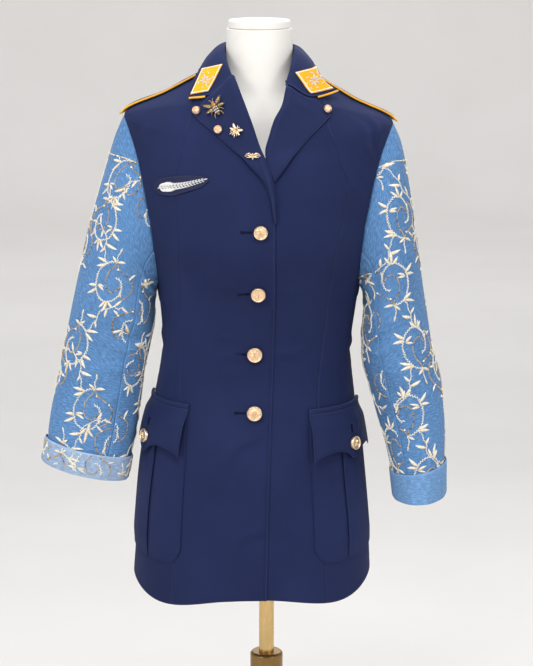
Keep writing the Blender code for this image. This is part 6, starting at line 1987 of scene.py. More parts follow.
def build_studs():
    """The small studs."""
    for name, x, z in (
        ("stud_1", -0.0984, 1.4315),
        ("stud_2", -0.0681, 1.4081),
        ("stud_3", 0.0849, 1.4322),
    ):
        place, axes = seat_on_front(np.array(x), np.array(z), np.array(3 * LAYER + LAPEL_LIFT))

        def cup(share, turn):
            claw = 0.0005 * np.clip(np.cos(turn * 10), 0, 1) * np.exp(-(((share - 0.80) / 0.12) ** 2))
            rim = 0.0016 * np.exp(-(((share - 0.80) / 0.10) ** 2))
            return 0.0014 + rim + claw - 0.0012 * np.clip((share - 0.93) / 0.07, 0, 1)

        piece = polar_relief(f"metal_{name}", place, axes, STUD_RADIUS, np.linspace(0.06, 1, 22), 80, cup, STUD_GOLD)
        dressed(piece, "gold", name)

        def dome(share, turn):
            ray = 0.00030 * np.cos(turn * 11 + share * 2.0) * np.sin(np.clip(share, 0, 1) * math.pi)
            ray = ray + 0.00022 * np.cos(turn * 5 - share * 9.0) * np.sin(np.clip(share, 0, 1) * math.pi)
            return 0.0006 + 0.0026 * np.sqrt(np.clip(1 - share**2, 0, 1)) + ray

        lifted = np.asarray(place) + axes[2] * 0.0013
        size = STUD_RADIUS * 0.72
        rings = np.sin(np.linspace(0.05, math.pi / 2, 18))
        cap = polar_relief(f"cap_{name}", lifted, axes, size, rings, 66, dome, GOLD)
        dressed(cap, "gold")


class Soup:
    """Many small closed forms gathered into one mesh."""

    def __init__(self):
        self.points = []
        self.faces = {3: [], 4: []}
        self.shade = []
        self.count = 0

    def add(self, points, faces, colour=(1.0, 1.0, 1.0)):
        groups = faces if isinstance(faces, list) else [faces]
        for group in groups:
            self.faces[group.shape[1]].append(np.asarray(group) + self.count)
        self.points.append(points)
        self.shade.append(np.broadcast_to(np.asarray(colour, float), (len(points), 3)))
        self.count += len(points)

    def build(self, name, look, slot, *nodes, sharp=40.0):
        faces = [np.concatenate(group) for group in self.faces.values() if group]
        piece = mesh_object(name, np.concatenate(self.points), faces, look, None, np.concatenate(self.shade), sharp)
        return dressed(piece, slot, *nodes)


def wire(soup, place, axes, path, radius, colour=(1, 1, 1), sides=8):
    """A wire through local (x, y, z) points, smoothed."""
    path = np.asarray(path, float)
    count = max(6, 4 * (len(path) - 1) + 1)
    at = np.linspace(0, 1, count)
    fine = smooth(np.linspace(0, 1, len(path)), path, at) @ np.asarray(axes) + np.asarray(place)
    size = radius if np.isscalar(radius) else np.interp(at, np.linspace(0, 1, len(radius)), radius)
    points, faces = tube_mesh(fine, size, sides)
    soup.add(points, faces, colour)


def gem(soup, place, axes, x, y, z, rx, ry, rz, facets=8, turn=0.0, colour=(1, 1, 1)):
    """A cut stone: a table, a crown and a pointed base."""
    angle = np.linspace(0, 2 * np.pi, facets, endpoint=False)
    rings = []
    for share, rise, shift in ((0.55, 1.0, 0.5), (1.0, 0.45, 0.0), (0.85, 0.0, 0.5)):
        a = angle + shift * 2 * np.pi / facets
        rings.append(np.stack([share * rx * np.cos(a), share * ry * np.sin(a), np.full(facets, rise * rz)], axis=-1))
    points = np.concatenate([*rings, [[0, 0, rz * 1.03]], [[0, 0, -0.1 * rz]]])
    c, s = math.cos(turn), math.sin(turn)
    points[:, :2] = points[:, :2] @ np.array([[c, s], [-s, c]])
    points = points + np.array([x, y, z])
    faces = [np.concatenate([
        grid_faces(3, facets, closed=True)[:, [0, 1, 2]],
        grid_faces(3, facets, closed=True)[:, [0, 2, 3]],
        np.stack([np.roll(np.arange(facets), -1), np.arange(facets), np.full(facets, 3 * facets)], axis=-1),
        np.stack([np.arange(facets), np.roll(np.arange(facets), -1), np.full(facets, 3 * facets + 3 - 2)], axis=-1)
        + np.array([2 * facets, 2 * facets, 0]),
    ])]
    soup.add(points @ np.asarray(axes) + np.asarray(place), faces, colour)


def wing_wires(soup, dark, gems, place, axes, root, turn, length, width, rise):
    """An insect's wing: a rim, veins and small stones along it."""
    c, s = math.cos(math.radians(turn)), math.sin(math.radians(turn))

    def at(along, aside, high):
        return (root[0] + along * c - aside * s, root[1] + along * s + aside * c, high)

    share = np.linspace(0, 1, 9)
    half = width / 2 * np.sin(np.clip(share, 0.0, 1.0) ** 0.75 * math.pi)
    upper = [at(a * length, h, rise + 0.0012 * a) for a, h in zip(share, half)]
    lower = [at(a * length, -h, rise + 0.0012 * a) for a, h in zip(share[::-1], half[::-1])]
    wire(soup, place, axes, upper, 0.00045)
    wire(soup, place, axes, lower, 0.00045)
    for bend in (-0.45, 0.05, 0.5):
        vein = [at(a * length * 0.92, bend * h, rise + 0.0011 * a) for a, h in zip(share[:8], half[:8])]
        wire(soup, place, axes, vein, 0.0003, sides=6)
    spine = [at(a * length, 0.0, rise - 0.0003 + 0.0010 * a) for a in (0.04, 0.25, 0.5, 0.75, 0.97)]
    wire(dark, place, axes, spine, (0.0005, 0.0013, 0.0016, 0.0011, 0.0003), sides=10)
    for a in (0.3, 0.5, 0.7):
        x, y, z = at(a * length, 0.28 * width * math.sin(a**0.75 * math.pi), rise + 0.0009 * a)
        gem(gems, place, axes, x, y, z, 0.0009, 0.0009, 0.0008, 6)


# the insect's body from the tail up: y, half widths across and along, height
BEE_SEGMENTS = (
    (-0.0105, 0.0022, 0.0020, 0.0030),
    (-0.0072, 0.0036, 0.0024, 0.0040),
    (-0.0032, 0.0044, 0.0026, 0.0046),
    (0.0008, 0.0042, 0.0025, 0.0046),
    (0.0046, 0.0034, 0.0026, 0.0042),
    (0.0084, 0.0026, 0.0022, 0.0034),
)


def build_bee(name, scale, lean, x, z, out, wings):
    """A generic winged insect of gold wire with set stones, its wings in the given metal."""
    place, axes = seat_on_front(np.array(x), np.array(z), np.array(out))
    c, s = math.cos(math.radians(lean)), math.sin(math.radians(lean))
    axes = np.array([[c, s, 0], [-s, c, 0], [0, 0, 1]]) @ axes * np.array([[scale], [scale], [scale]])
    metal = Soup()
    stones = Soup()
    dark = Soup()
    amber = Soup()
    steps = 28
    turn = np.linspace(0, 2 * np.pi, steps, endpoint=False)
    shares = np.sin(np.linspace(0.08, math.pi / 2, 9))
    for y, rx, ry, high in BEE_SEGMENTS:
        grid = []
        for r in shares:
            z = 0.0008 + high * math.sqrt(max(0.0, 1 - r * r * 0.96))
            grid.append([(r * rx * math.cos(t), y + r * ry * math.sin(t), z) for t in turn])
        grid = np.array(grid)
        foot = grid[-1] * np.array([0.9, 1.0, 0.0]) + np.array([0, 0, 0.0002])
        foot[:, 1] = y + (foot[:, 1] - y) * 0.9
        grid = np.concatenate([grid, foot[None]])
        top = np.array([[0, y, 0.0008 + high]])
        low = np.array([[0, y, 0.0002]])
        points = np.concatenate([grid.reshape(-1, 3), top, low])
        faces = [grid_faces(len(grid), steps, closed=True)[:, ::-1], end_fans(len(grid), steps)]
        metal.add(points @ axes + place, faces)
    for row, y in enumerate((-0.0074, -0.0034, 0.0006)):
        for column in (-1, 0, 1):
            high = 0.0046 - 0.0006 * abs(column)
            gem(stones, place, axes, column * 0.0024, y, high - 0.0004, 0.00115, 0.0011, 0.0013, 8, 0.3 * row)
    gem(amber, place, axes, 0.0, 0.0050, 0.0036, 0.0029, 0.0026, 0.0024, 10)
    for side in (-1, 1):
        turn = 38 if side > 0 else 142
        wing_wires(metal, dark, stones, place, axes, (side * 0.0028, 0.0035), turn, 0.0150, 0.0056, 0.0034)
        turn = -8 if side > 0 else 188
        wing_wires(metal, dark, stones, place, axes, (side * 0.0030, 0.0005), turn, 0.0122, 0.0046, 0.0028)
        gem(stones, place, axes, side * 0.0013, 0.0098, 0.0026, 0.0007, 0.0007, 0.0009, 6)
        feeler = [(side * 0.0007, 0.0100, 0.0026), (side * 0.0016, 0.0128, 0.0034), (side * 0.0034, 0.0146, 0.0036)]
        wire(dark, place, axes, feeler, (0.0004, 0.00035, 0.0005))
        for y0, x1, y1, x2, y2 in (
            (0.0040, 0.0062, 0.0072, 0.0094, 0.0066),
            (-0.0020, 0.0070, -0.0040, 0.0100, -0.0070),
            (-0.0062, 0.0054, -0.0098, 0.0066, -0.0140),
        ):
            leg = [(side * 0.0022, y0, 0.0018), (side * x1, y1, 0.0030), (side * x2, y2, 0.0008)]
            wire(dark, place, axes, leg, (0.00075, 0.0007, 0.0004))
    metal.build(f"metal_{name}", wings, "gold", name)
    dark.build(f"wings_{name}", wings, "gold")
    amber.build(f"amber_{name}", AMBER, "gold", sharp=20)
    stones.build(f"stones_{name}", CRYSTAL, "gold", sharp=20)


def build_bar_pin(x, z, out):
    """A slim pin: twin wings at both sides of a small body, with a row of stones."""
    place, axes = seat_on_front(np.array(x), np.array(z), np.array(out))
    metal = Soup()
    stones = Soup()
    for side in (-1, 1):
        for lift, length in ((0.0, 0.0112), (0.0022, 0.0100), (-0.0020, 0.0086)):
            bend = (side * length * 0.5, lift * 1.3 + 0.0006, 0.0030)
            path = [(side * 0.0012, lift * 0.3, 0.0022), bend, (side * length, lift * 1.0, 0.0016)]
            wire(metal, place, axes, path, (0.0009, 0.0011, 0.0004), sides=10)
        for n in range(4):
            gem(stones, place, axes, side * (0.0030 + 0.0019 * n), 0.0004, 0.0032, 0.0008, 0.0008, 0.0010, 6)
    body_path = [(0, -0.0052, 0.0014), (0, -0.002, 0.0028), (0, 0.001, 0.0032), (0, 0.0036, 0.0018)]
    wire(metal, place, axes, body_path, (0.0007, 0.0019, 0.0022, 0.0011), sides=12)
    gem(stones, place, axes, 0.0, 0.0002, 0.0042, 0.0013, 0.0013, 0.0015, 8)
    metal.build("metal_brooch_bar", GOLD, "gold", "brooch_bar")
    stones.build("stones_brooch_bar", AMBER, "gold", sharp=20)


# ---------------------------------------------------------------- thread work
CREAM = (0.97, 0.92, 0.80)
BEIGE = (0.72, 0.60, 0.42)
OLD_GOLD = (0.52, 0.32, 0.12)
PALE_GOLD = (0.86, 0.62, 0.30)
DARK_GOLD = (0.200, 0.110, 0.045)
NAVY_THREAD = (0.030, 0.042, 0.130)
# black marks in the buttonhole slits and eyelets: painted shade inside the openings
SLIT_SHADE_BLACK = (0.004, 0.004, 0.006)
# darker than the cloth: the thread's own colour, and painted shade of the seam and stitch grooves
SEAM_THREAD_AND_SHADE = (0.0035, 0.0055, 0.020)
HOLE_THREAD = (0.006, 0.009, 0.030)
SILVER_THREAD = (0.62, 0.60, 0.56)
PATCH_WHITE = (0.95, 0.94, 0.92)


def add_stitches(soup, start, end, normal, width, height, colours, sink=0.0003):
    """Spindle-shaped stitches from start to end, all (n, 3), on a surface with this normal."""
    middle = (start + end) / 2
    aside = unit(np.cross(end - start, normal))
    width = np.broadcast_to(np.asarray(width, float), (len(start),))[:, None]
    height = np.broadcast_to(np.asarray(height, float), (len(start),))[:, None]
    a = start - normal * sink * 0.5
    b = end - normal * sink * 0.5
    left = middle + aside * width / 2
    right = middle - aside * width / 2
    top = middle + normal * height
    low = middle - normal * sink
    points = np.stack([a, b, left, right, top, low], axis=1).reshape(-1, 3)
    pattern = np.array([[0, 3, 4], [3, 1, 4], [1, 2, 4], [2, 0, 4], [3, 0, 5], [1, 3, 5], [2, 1, 5], [0, 2, 5]])
    faces = (np.arange(len(start)) * 6)[:, None, None] + pattern[None]
    colours = np.broadcast_to(np.asarray(colours, float), (len(start), 3))
    soup.add(points, faces.reshape(-1, 3), np.repeat(colours, 6, axis=0))


def add_leaves(soup, place, leaves, height=0.0015, tip=CREAM, root=BEIGE, sink=0.0003):
    """Padded satin-stitch leaves. place(x, y) gives points and normals; leaves are rows of
    x, y of the root, direction in degrees, length, width and bend."""
    leaves = np.asarray(leaves, float)
    share = np.array([0.0, 0.07, 0.18, 0.32, 0.48, 0.64, 0.79, 0.92, 1.0])
    wide = np.array([0.10, 0.42, 0.76, 0.97, 1.0, 0.86, 0.60, 0.28, 0.03])
    angle = np.radians(leaves[:, 2:3])
    length = leaves[:, 3:4]
    half = leaves[:, 4:5] / 2 * wide[None]
    aside = leaves[:, 5:6] * np.sin(share * math.pi)[None]
    cx = leaves[:, 0:1] + np.cos(angle) * share * length - np.sin(angle) * aside
    cy = leaves[:, 1:2] + np.sin(angle) * share * length + np.cos(angle) * aside
    lx, ly = cx - np.sin(angle) * half, cy + np.cos(angle) * half
    rx, ry = cx + np.sin(angle) * half, cy - np.cos(angle) * half
    count = len(leaves)
    x = np.stack([lx, cx, rx], axis=-1)
    y = np.stack([ly, cy, ry], axis=-1)
    points, normal, inside = place(x.ravel(), y.ravel())
    points = points.reshape(count, len(share), 3, 3)
    normal = normal.reshape(points.shape)
    keep = inside.reshape(count, -1).all(axis=1)
    rise = height * (0.35 + 0.65 * wide)[None, :, None]
    ridge = points[:, :, 1] + normal[:, :, 1] * rise
    low = points[:, :, 1] - normal[:, :, 1] * sink * 2
    left = points[:, :, 0] + normal[:, :, 0] * 0.00012
    right = points[:, :, 2] + normal[:, :, 2] * 0.00012
    ring = np.stack([left, ridge, right, low], axis=2)[keep]
    count = len(ring)
    if not count:
        return
    size = len(share) * 4
    pattern = grid_faces(len(share), 4, closed=True)
    caps = np.array([[3, 2, 1, 0], [size - 4, size - 3, size - 2, size - 1]])
    pattern = np.concatenate([pattern, caps])
    faces = (np.arange(count) * size)[:, None, None] + pattern[None]
    tone = share[None, :, None] ** 0.8
    colour = np.asarray(root)[None, None] * (1 - tone) + np.asarray(tip)[None, None] * tone
    stripes = 1 + 0.10 * np.where(np.arange(len(share)) % 2, 1.0, -1.0)[None, :, None]
    colour = np.broadcast_to(colour * stripes, (count, len(share), 3))
    colour = np.repeat(colour[:, :, None], 4, axis=2).reshape(-1, 3)
    soup.add(ring.reshape(-1, 3), faces.reshape(-1, 4), np.clip(colour, 0, 1))


def walk(path, step):
    """Points at an even step along a smoothed (x, y) path, with the direction there."""
    path = np.asarray(path, float)
    chords = np.linalg.norm(np.diff(path, axis=0), axis=1)
    knots = np.concatenate([[0], np.cumsum(chords)])
    fine_at = np.linspace(0, knots[-1], 24 * len(path))
    fine = curve_through(knots, path, fine_at)
    even, _ = even_path(np.concatenate([fine, np.zeros((len(fine), 1))], axis=1), step)
    even = even[:, :2]
    forward = np.gradient(even, axis=0)
    return even, forward / np.linalg.norm(forward, axis=1, keepdims=True)


def curve_through(knots, values, at):
    """A rounded curve through the points, with central slopes."""
    slopes = np.gradient(values, knots, axis=0)
    index = np.clip(np.searchsorted(knots, at, side="right") - 1, 0, len(knots) - 2)
    width = (knots[index + 1] - knots[index])[:, None]
    u = (at - knots[index])[:, None] / width
    return (
        values[index] * (2 * u**3 - 3 * u**2 + 1)
        + values[index + 1] * (3 * u**2 - 2 * u**3)
        + slopes[index] * width * (u**3 - 2 * u**2 + u)
        + slopes[index + 1] * width * (u**3 - u**2)
    )


class Needlework:
    """Stitches drawn flat for one place, and laid on its surface together."""

    def __init__(self, place):
        self.place = place
        self.rows = {"thread": [], "metal": []}
        self.leaf_rows = []
        self.bead_spots = []

    def stitches(self, kind, start, end, width, height, shade):
        count = len(start)
        width = np.broadcast_to(np.asarray(width, float), (count,))[:, None]
        height = np.full((count, 1), height)
        shade = np.broadcast_to(np.asarray(shade, float), (count, 3))
        self.rows[kind].append(np.concatenate([start, end, width, height, shade], axis=1))

    def vine(self, path, random, step=0.0020, length=0.0052, width=0.0021, lean=38.0, tint=CREAM):
        """A barbed line of slanted stitches, leaning left and right in turn."""
        spots, forward = walk(path, step)
        count = len(spots)
        sign = np.where(np.arange(count) % 2, 1.0, -1.0)
        turn = np.radians(lean * sign + random.normal(0, 7, count))
        c, s = np.cos(turn), np.sin(turn)
        direction = np.stack([forward[:, 0] * c - forward[:, 1] * s, forward[:, 0] * s + forward[:, 1] * c], axis=-1)
        reach = length * random.uniform(0.8, 1.15, count)[:, None] / 2
        centre = spots + direction * reach * 0.35
        shade = np.asarray(tint) * random.uniform(0.80, 1.10, count)[:, None]
        self.stitches("thread", centre - direction * reach, centre + direction * reach, width, 0.0015, shade)

    def cord(self, path, random, step=0.0020, width=0.0025, tints=(PALE_GOLD, OLD_GOLD)):
        """A couched cord: short fat stitches end to end, light and dark in turn."""
        spots, forward = walk(path, step)
        count = len(spots)
        reach = forward * step * 0.66
        pick = random.random(count)[:, None]
        shade = np.asarray(tints[0]) * pick + np.asarray(tints[1]) * (1 - pick)
        dark = random.random(count)[:, None] < 0.12
        shade = np.where(dark, np.asarray(DARK_GOLD), shade)
        self.stitches("metal", spots - reach, spots + reach, width, 0.0015, shade)

    def leaves(self, rows):
        self.leaf_rows.append(np.asarray(rows, float))

    def beads(self, spots):
        self.bead_spots.append(np.asarray(spots, float))

    def finish(self, thread, metal, beads=None, **leaf_look):
        for kind, soup in (("thread", thread), ("metal", metal)):
            if self.rows[kind]:
                rows = np.concatenate(self.rows[kind])
                stitch_between(soup, self.place, rows[:, :2], rows[:, 2:4], rows[:, 4], rows[:, 5], rows[:, 6:])
        if self.leaf_rows:
            add_leaves(thread, self.place, np.concatenate(self.leaf_rows), **leaf_look)
        if beads is not None and self.bead_spots:
            add_beads(beads, self.place, np.concatenate(self.bead_spots), 0.0015, (0.92, 0.90, 0.86))


def stitch_between(soup, place, start, end, width, height, shade, sink=0.0003):
    """Stitches between pairs of flat places."""
    both, normal, inside = place(
        np.concatenate([start[:, 0], end[:, 0]]), np.concatenate([start[:, 1], end[:, 1]])
    )
    count = len(start)
    keep = inside[:count] & inside[count:]
    if not keep.any():
        return
    shade = np.broadcast_to(np.asarray(shade, float), (count, 3))[keep]
    wide = np.broadcast_to(np.asarray(width, float), (count,))[keep]
    high = np.broadcast_to(np.asarray(height, float), (count,))[keep]
    first = both[:count][keep]
    second = both[count:][keep]
    add_stitches(soup, first, second, normal[:count][keep], wide, high, np.clip(shade, 0, 1), sink)


def add_beads(soup, place, spots, radius, colour):
    """Small round beads that sit half sunk in the surface."""
    spots = np.asarray(spots, float)
    points, normal, inside = place(spots[:, 0], spots[:, 1])
    tall = 6
    around = 10
    height = np.linspace(-0.45, 1.0, tall + 1)[:-1]
    turn = np.linspace(0, 2 * np.pi, around, endpoint=False)
    for spot, up in zip(points[inside], normal[inside]):
        aside = unit(np.cross(up, (0.3, 0.2, 0.9)))
        above = np.cross(up, aside)
        ring = np.sqrt(np.clip(1 - height**2, 0, 1))[:, None, None] * (
            np.cos(turn)[None, :, None] * aside + np.sin(turn)[None, :, None] * above
        )
        ring = ring + height[:, None, None] * up
        ends = np.array([up * -0.6, up])
        body_points = np.concatenate([ring.reshape(-1, 3), ends]) * radius + spot + up * radius * 0.4
        soup.add(body_points, [grid_faces(tall, around, closed=True), end_fans(tall, around)], colour)


# ---------------------------------------------------------------- the sleeves laid flat
class FlatSleeve:
    """Distances round (x) and down (y) a sleeve piece, in metres, and the points they reach."""

    STEP = 0.004

    def __init__(self, side, start_turn, low_turn, high_turn):
        self.side = side
        self.limits = (low_turn, high_turn)
        shares = np.linspace(0, 1, 400)
        line = sleeve_point(side, np.full(400, start_turn), shares)
        run = np.concatenate([[0], np.cumsum(np.linalg.norm(np.diff(line, axis=0), axis=1))])
        self.rows = np.arange(-0.02, run[-1], 0.005)
        first = np.interp(self.rows, run, shares)
        self.columns = np.arange(-0.30, 0.3001, self.STEP)
        zero = int(np.argmin(np.abs(self.columns)))
        self.turn = np.zeros((len(self.columns), len(self.rows)))
        self.share = np.zeros_like(self.turn)
        self.turn[zero] = start_turn
        self.share[zero] = first
        for way in (1, -1):
            turn = np.full(len(self.rows), float(start_turn))
            share = first.copy()
            index = zero
            while 0 <= index + way < len(self.columns):
                turn, share = self.moved(turn, share, way * self.STEP)
                index += way
                self.turn[index] = turn
                self.share[index] = share

    def moved(self, turn, share, distance):
        """One step round the sleeve at right angles to its axis."""
        side = self.side
        around = (sleeve_point(side, turn + 0.5, share) - sleeve_point(side, turn - 0.5, share))
        low = np.clip(share - 0.004, 0, 0.992)
        down = (sleeve_point(side, turn, low + 0.008) - sleeve_point(side, turn, low)) / 0.008
        axis = sleeve_axis(side, share)
        normal = unit(np.cross(around, down))
        axis = unit(axis - np.sum(axis * normal, axis=-1, keepdims=True) * normal)
        goal = unit(np.cross(axis, normal))
        goal = goal * np.sign(np.sum(goal * around, axis=-1, keepdims=True))
        a, b = around, down
        aa = np.sum(a * a, axis=-1)
        bb = np.sum(b * b, axis=-1)
        ab = np.sum(a * b, axis=-1)
        ag = np.sum(a * goal, axis=-1)
        bg = np.sum(b * goal, axis=-1)
        det = aa * bb - ab * ab
        return (
            turn + distance * (ag * bb - bg * ab) / det,
            share + distance * (bg * aa - ag * ab) / det,
        )

    def find(self, x, y):
        """Turn and share at these flat places."""
        i = np.clip((x - self.columns[0]) / self.STEP, 0, len(self.columns) - 1.001)
        j = np.clip((y - self.rows[0]) / 0.005, 0, len(self.rows) - 1.001)
        i0 = i.astype(int)
        j0 = j.astype(int)
        u = i - i0
        v = j - j0
        out = []
        for table in (self.turn, self.share):
            out.append(
                table[i0, j0] * (1 - u) * (1 - v)
                + table[i0 + 1, j0] * u * (1 - v)
                + table[i0, j0 + 1] * (1 - u) * v
                + table[i0 + 1, j0 + 1] * u * v
            )
        return out

    def flat_of(self, turn, share):
        """Flat place nearest to a turn and share."""
        miss = ((self.turn - turn) * 0.9) ** 2 + ((self.share - share) * 500) ** 2
        i, j = np.unravel_index(np.argmin(miss), miss.shape)
        return self.columns[i], self.rows[j]

    def place(self, x, y):
        turn, share = self.find(np.asarray(x, float), np.asarray(y, float))
        margin = 2.2
        inside = (turn > self.limits[0] + margin) & (turn < self.limits[1] - margin)
        inside &= (share > 0.012) & (share < cuff_top_share() + 0.03)
        turn = np.clip(turn, self.limits[0], self.limits[1])
        points, normal = sleeve_surface(self.side, turn, np.clip(share, 0.0, 1.0))
        return points + normal * WALL, normal, inside


def sleeve_axis(side, share):
    """Direction of the sleeve's axis at this share."""
    rows = np.array(list((SLEEVE_RIGHT if side < 0 else SLEEVE_LEFT).values()))
    knots = np.linspace(0, 1, len(rows))
    low = smooth(knots, rows, np.clip(share - 0.02, 0, 0.96))
    high = smooth(knots, rows, np.clip(share - 0.02, 0, 0.96) + 0.04)
    step = high - low
    axis = np.stack([(step[..., 0] + step[..., 2]) / 2, step[..., 4], (step[..., 1] + step[..., 3]) / 2], axis=-1)
    return unit(axis)


# ---------------------------------------------------------------- the vine scroll
def scroll_strands():
    """The scroll in metres: the node is the origin and y runs up the scroll."""
    sweep = np.linspace(0, 1, 26)
    turn = np.radians(-90 + 328 * sweep)
    radius = 34.0 - 21.0 * sweep**2.0
    vine = np.stack([0.76 * radius * np.cos(turn), 34.0 + radius * np.sin(turn)], axis=-1)
    turn = np.radians(np.linspace(-62, 156, 18))
    loop = np.stack([-1.5 + 11.5 * np.cos(turn), 27.0 + 19.0 * np.sin(turn)], axis=-1)
    loop = np.concatenate([[[0.5, 1.5]], loop])
    outer = [(-0.5, 2), (-6, 9), (-15, 14), (-24, 19), (-30, 27), (-31, 37), (-27, 47), (-19, 53)]
    stem = [(13.5, 6.5), (20, 1), (22, -8), (26, -16), (26, -25), (29, -32), (38, -39), (46, -46)]
    twig = [(46, -46), (52, -44), (58, -48)]
    stub = [(0, -1), (1.5, -8), (0, -17)]
    leaves = [
        (20, 47, 42, 16, 4.2, 1.0), (21, 44, 4, 14, 4.0, -0.8),
        (20, 42, 152, 12, 3.2, 0.6), (20, 41, 186, 10, 3.0, 0.4),
        (-1, 61, 90, 17, 3.8, 0.6), (1, 61, 52, 12, 3.6, 0.6), (-2, 61, 132, 11, 3.4, -0.6),
        (15, 8, 24, 15, 4.4, 0.8), (15, 6, -8, 16, 4.0, -0.6),
        (0, 0, 196, 12, 3.8, 0.6), (1, -1, -38, 9, 3.2, 0.4), (0, -16, -96, 7, 2.2, 0.0),
        (26, -21, 164, 16, 4.4, -0.9), (25, -15, 60, 10, 3.2, 0.4),
        (38, -39, 96, 12, 3.8, 0.6), (46, -46, -62, 12, 3.6, 0.4), (57, -48, 20, 12, 3.4, 0.4),
        (-24, 19, 222, 11, 3.0, 0.5), (-14, 42, 112, 8, 2.6, 0.4),
    ]
    beads = [(-24, 18.6), (-4, 9.5)]
    return {
        "vine": [vine],
        "stem": [np.array(stem, float), np.array(twig, float), np.array(stub, float)],
        "cord": [loop, np.array(outer, float)],
        "leaves": np.array(leaves, float),
        "beads": np.array(beads, float),
    }


SCROLL = scroll_strands()


def scroll_at(work, x, y, mirror, upright, random, size=1.0):
    """One scroll with its node at x, y. upright 1 runs up the sleeve, -1 down it."""
    size = size * random.uniform(0.96, 1.04)
    tilt = math.radians(random.normal(0, 3.5))
    c, s = math.cos(tilt), math.sin(tilt)

    def put(points):
        points = np.asarray(points, float) * 0.001 * size * np.array([mirror, 1.0])
        points = points @ np.array([[c, s], [-s, c]])
        return points * np.array([1.0, -upright]) + np.array([x, y])

    def shaken(points):
        return put(points + random.normal(0, 0.35, points.shape))

    for path in SCROLL["vine"]:
        work.vine(shaken(path), random)
    for path in SCROLL["stem"]:
        work.vine(shaken(path), random, step=0.0022, length=0.0048, width=0.0019, lean=22.0)
    for path in SCROLL["cord"]:
        work.cord(shaken(path), random)
    leaves = SCROLL["leaves"].copy()
    leaves[:, 2] += random.normal(0, 7, len(leaves))
    leaves[:, 3] *= 1.14 * random.uniform(0.88, 1.12, len(leaves))
    leaves[:, 4] *= 1.22
    root = put(leaves[:, :2])
    tip = put(leaves[:, :2] + np.stack([np.cos(np.radians(leaves[:, 2])), np.sin(np.radians(leaves[:, 2]))], axis=-1))
    away = tip - root
    made = np.stack(
        [
            root[:, 0],
            root[:, 1],
            np.degrees(np.arctan2(away[:, 1], away[:, 0])),
            leaves[:, 3] * 0.001 * size,
            leaves[:, 4] * 0.001 * size,
            leaves[:, 5] * 0.001 * mirror,
        ],
        axis=-1,
    )
    work.leaves(made)
    work.beads(put(SCROLL["beads"]))


# turn and share of the scrolls' nodes down the front of each sleeve, with the way each faces
SCROLL_NODES = {
    -1: (
        (25.5, 0.052, -1),
        (43.5, 0.252, 1),
        (81.5, 0.324, -1),
        (46.5, 0.582, 1),
        (86.0, 0.744, -1),
        (52.0, 0.930, 1),
    ),
    1: (
        (66.5, 0.010, -1),
        (56.0, 0.310, 1),
        (86.5, 0.430, -1),
        (54.5, 0.658, 1),
        (106.5, 0.828, -1),
        (70.0, 1.0, 1),
    ),
}
SCROLL_PITCH = 0.081  # between columns of scrolls round the sleeve
SCROLL_DROP = 0.047  # and the step down from one column to the next


def build_sleeve_embroidery(side, label):
    """Vine scrolls over the top and the under sleeve."""
    random = np.random.default_rng(11 if side < 0 else 23)
    upright = -1 if side < 0 else 1
    thread = Soup()
    metal = Soup()
    beads = Soup()
    top = FlatSleeve(side, 60.0, BACK_SEAM_TURN - 360, FRONT_SEAM_TURN)
    work = Needlework(top.place)
    nodes = [(*top.flat_of(turn, share), mirror) for turn, share, mirror in SCROLL_NODES[side]]
    first = nodes[0]
    nodes.insert(0, (first[0], first[1] - 2 * SCROLL_DROP, -first[2]))
    for column in range(-4, 4):
        for x, y, mirror in nodes:
            drop = SCROLL_DROP * (column % 2)
            scroll_at(work, x + column * SCROLL_PITCH, y - drop, mirror, upright, random)
    work.finish(thread, metal, beads)
    under = FlatSleeve(side, 187.0, FRONT_SEAM_TURN, BACK_SEAM_TURN)
    work = Needlework(under.place)
    for column in range(-2, 3):
        for row in range(7):
            shift = 0.014 if row % 2 else -0.012
            x = column * SCROLL_PITCH + shift + 0.02
            y = row * 2 * SCROLL_DROP - 0.04 + SCROLL_DROP * (column % 2)
            scroll_at(work, x, y, 1 if row % 2 else -1, upright, random)
    work.finish(thread, metal, beads)
    thread.build(f"embroidery_{label}", THREAD, "sleeve_blue", sharp=0)
    metal.build(f"goldwork_{label}", METAL_THREAD, "gold", sharp=0)
    beads.build(f"beads_{label}", PEARL, "sleeve_blue", sharp=0)


def cuff_surface(side, turn, run):
    """Outside of the cuff band: run 0 (top) to 1 (fold)."""
    turn, run = np.broadcast_arrays(np.asarray(turn, float), np.asarray(run, float))
    top = cuff_top_share()
    share = top + (1 - top) * run
    ring = sleeve_point(side, turn, share)
    turns = np.arange(0, 360, 5.0)
    at = np.linspace(top, 1, 9)
    grid_turn, grid_share = np.meshgrid(turns, at)
    centres = sleeve_point(side, grid_turn, grid_share).mean(axis=1)
    centre = np.stack([np.interp(share, at, centres[:, n]) for n in range(3)], axis=-1)
    outward = unit(ring - centre)
    wave = 0.0005 * np.sin(np.radians(turn) * 5 + 1.0) * (1 - run)
    wave = wave + 0.0004 * np.sin(np.radians(turn) * 9 + 2.4) * run
    flare = CUFF_CLEARANCE + 2 * WALL + CUFF_FLARE * run + wave
    return ring + outward * flare[..., None], outward


CUFF_GIRTH = 0.38


def cuff_place(side):
    """Where flat places on the cuff band are, for its needlework."""

    def place(x, y):
        x = np.asarray(x, float)
        y = np.asarray(y, float)
        run = y / CUFF_HEIGHT
        points, normal = cuff_surface(side, x / CUFF_GIRTH * 360.0, np.clip(run, 0, 1))
        inside = (run > 0.04) & (run < 0.94)
        return points, normal, inside

    return place


def build_cuff_embroidery():
    """Needlework on the right cuff."""
    random = np.random.default_rng(37)
    thread = Soup()
    metal = Soup()
    work = Needlework(cuff_place(-1))
    for n in range(8):
        x = 0.012 + n * 0.0475
        y = (-0.030, 0.012, -0.006, 0.030)[n % 4]
        mirror = 1 if n % 2 else -1
        scroll_at(work, x, y, mirror, -1, random, 0.86)
    work.finish(thread, metal)
    thread.build("embroidery_cuff_right", THREAD, "cuff_blue", sharp=0)
    metal.build("goldwork_cuff_right", METAL_THREAD, "gold", sharp=0)
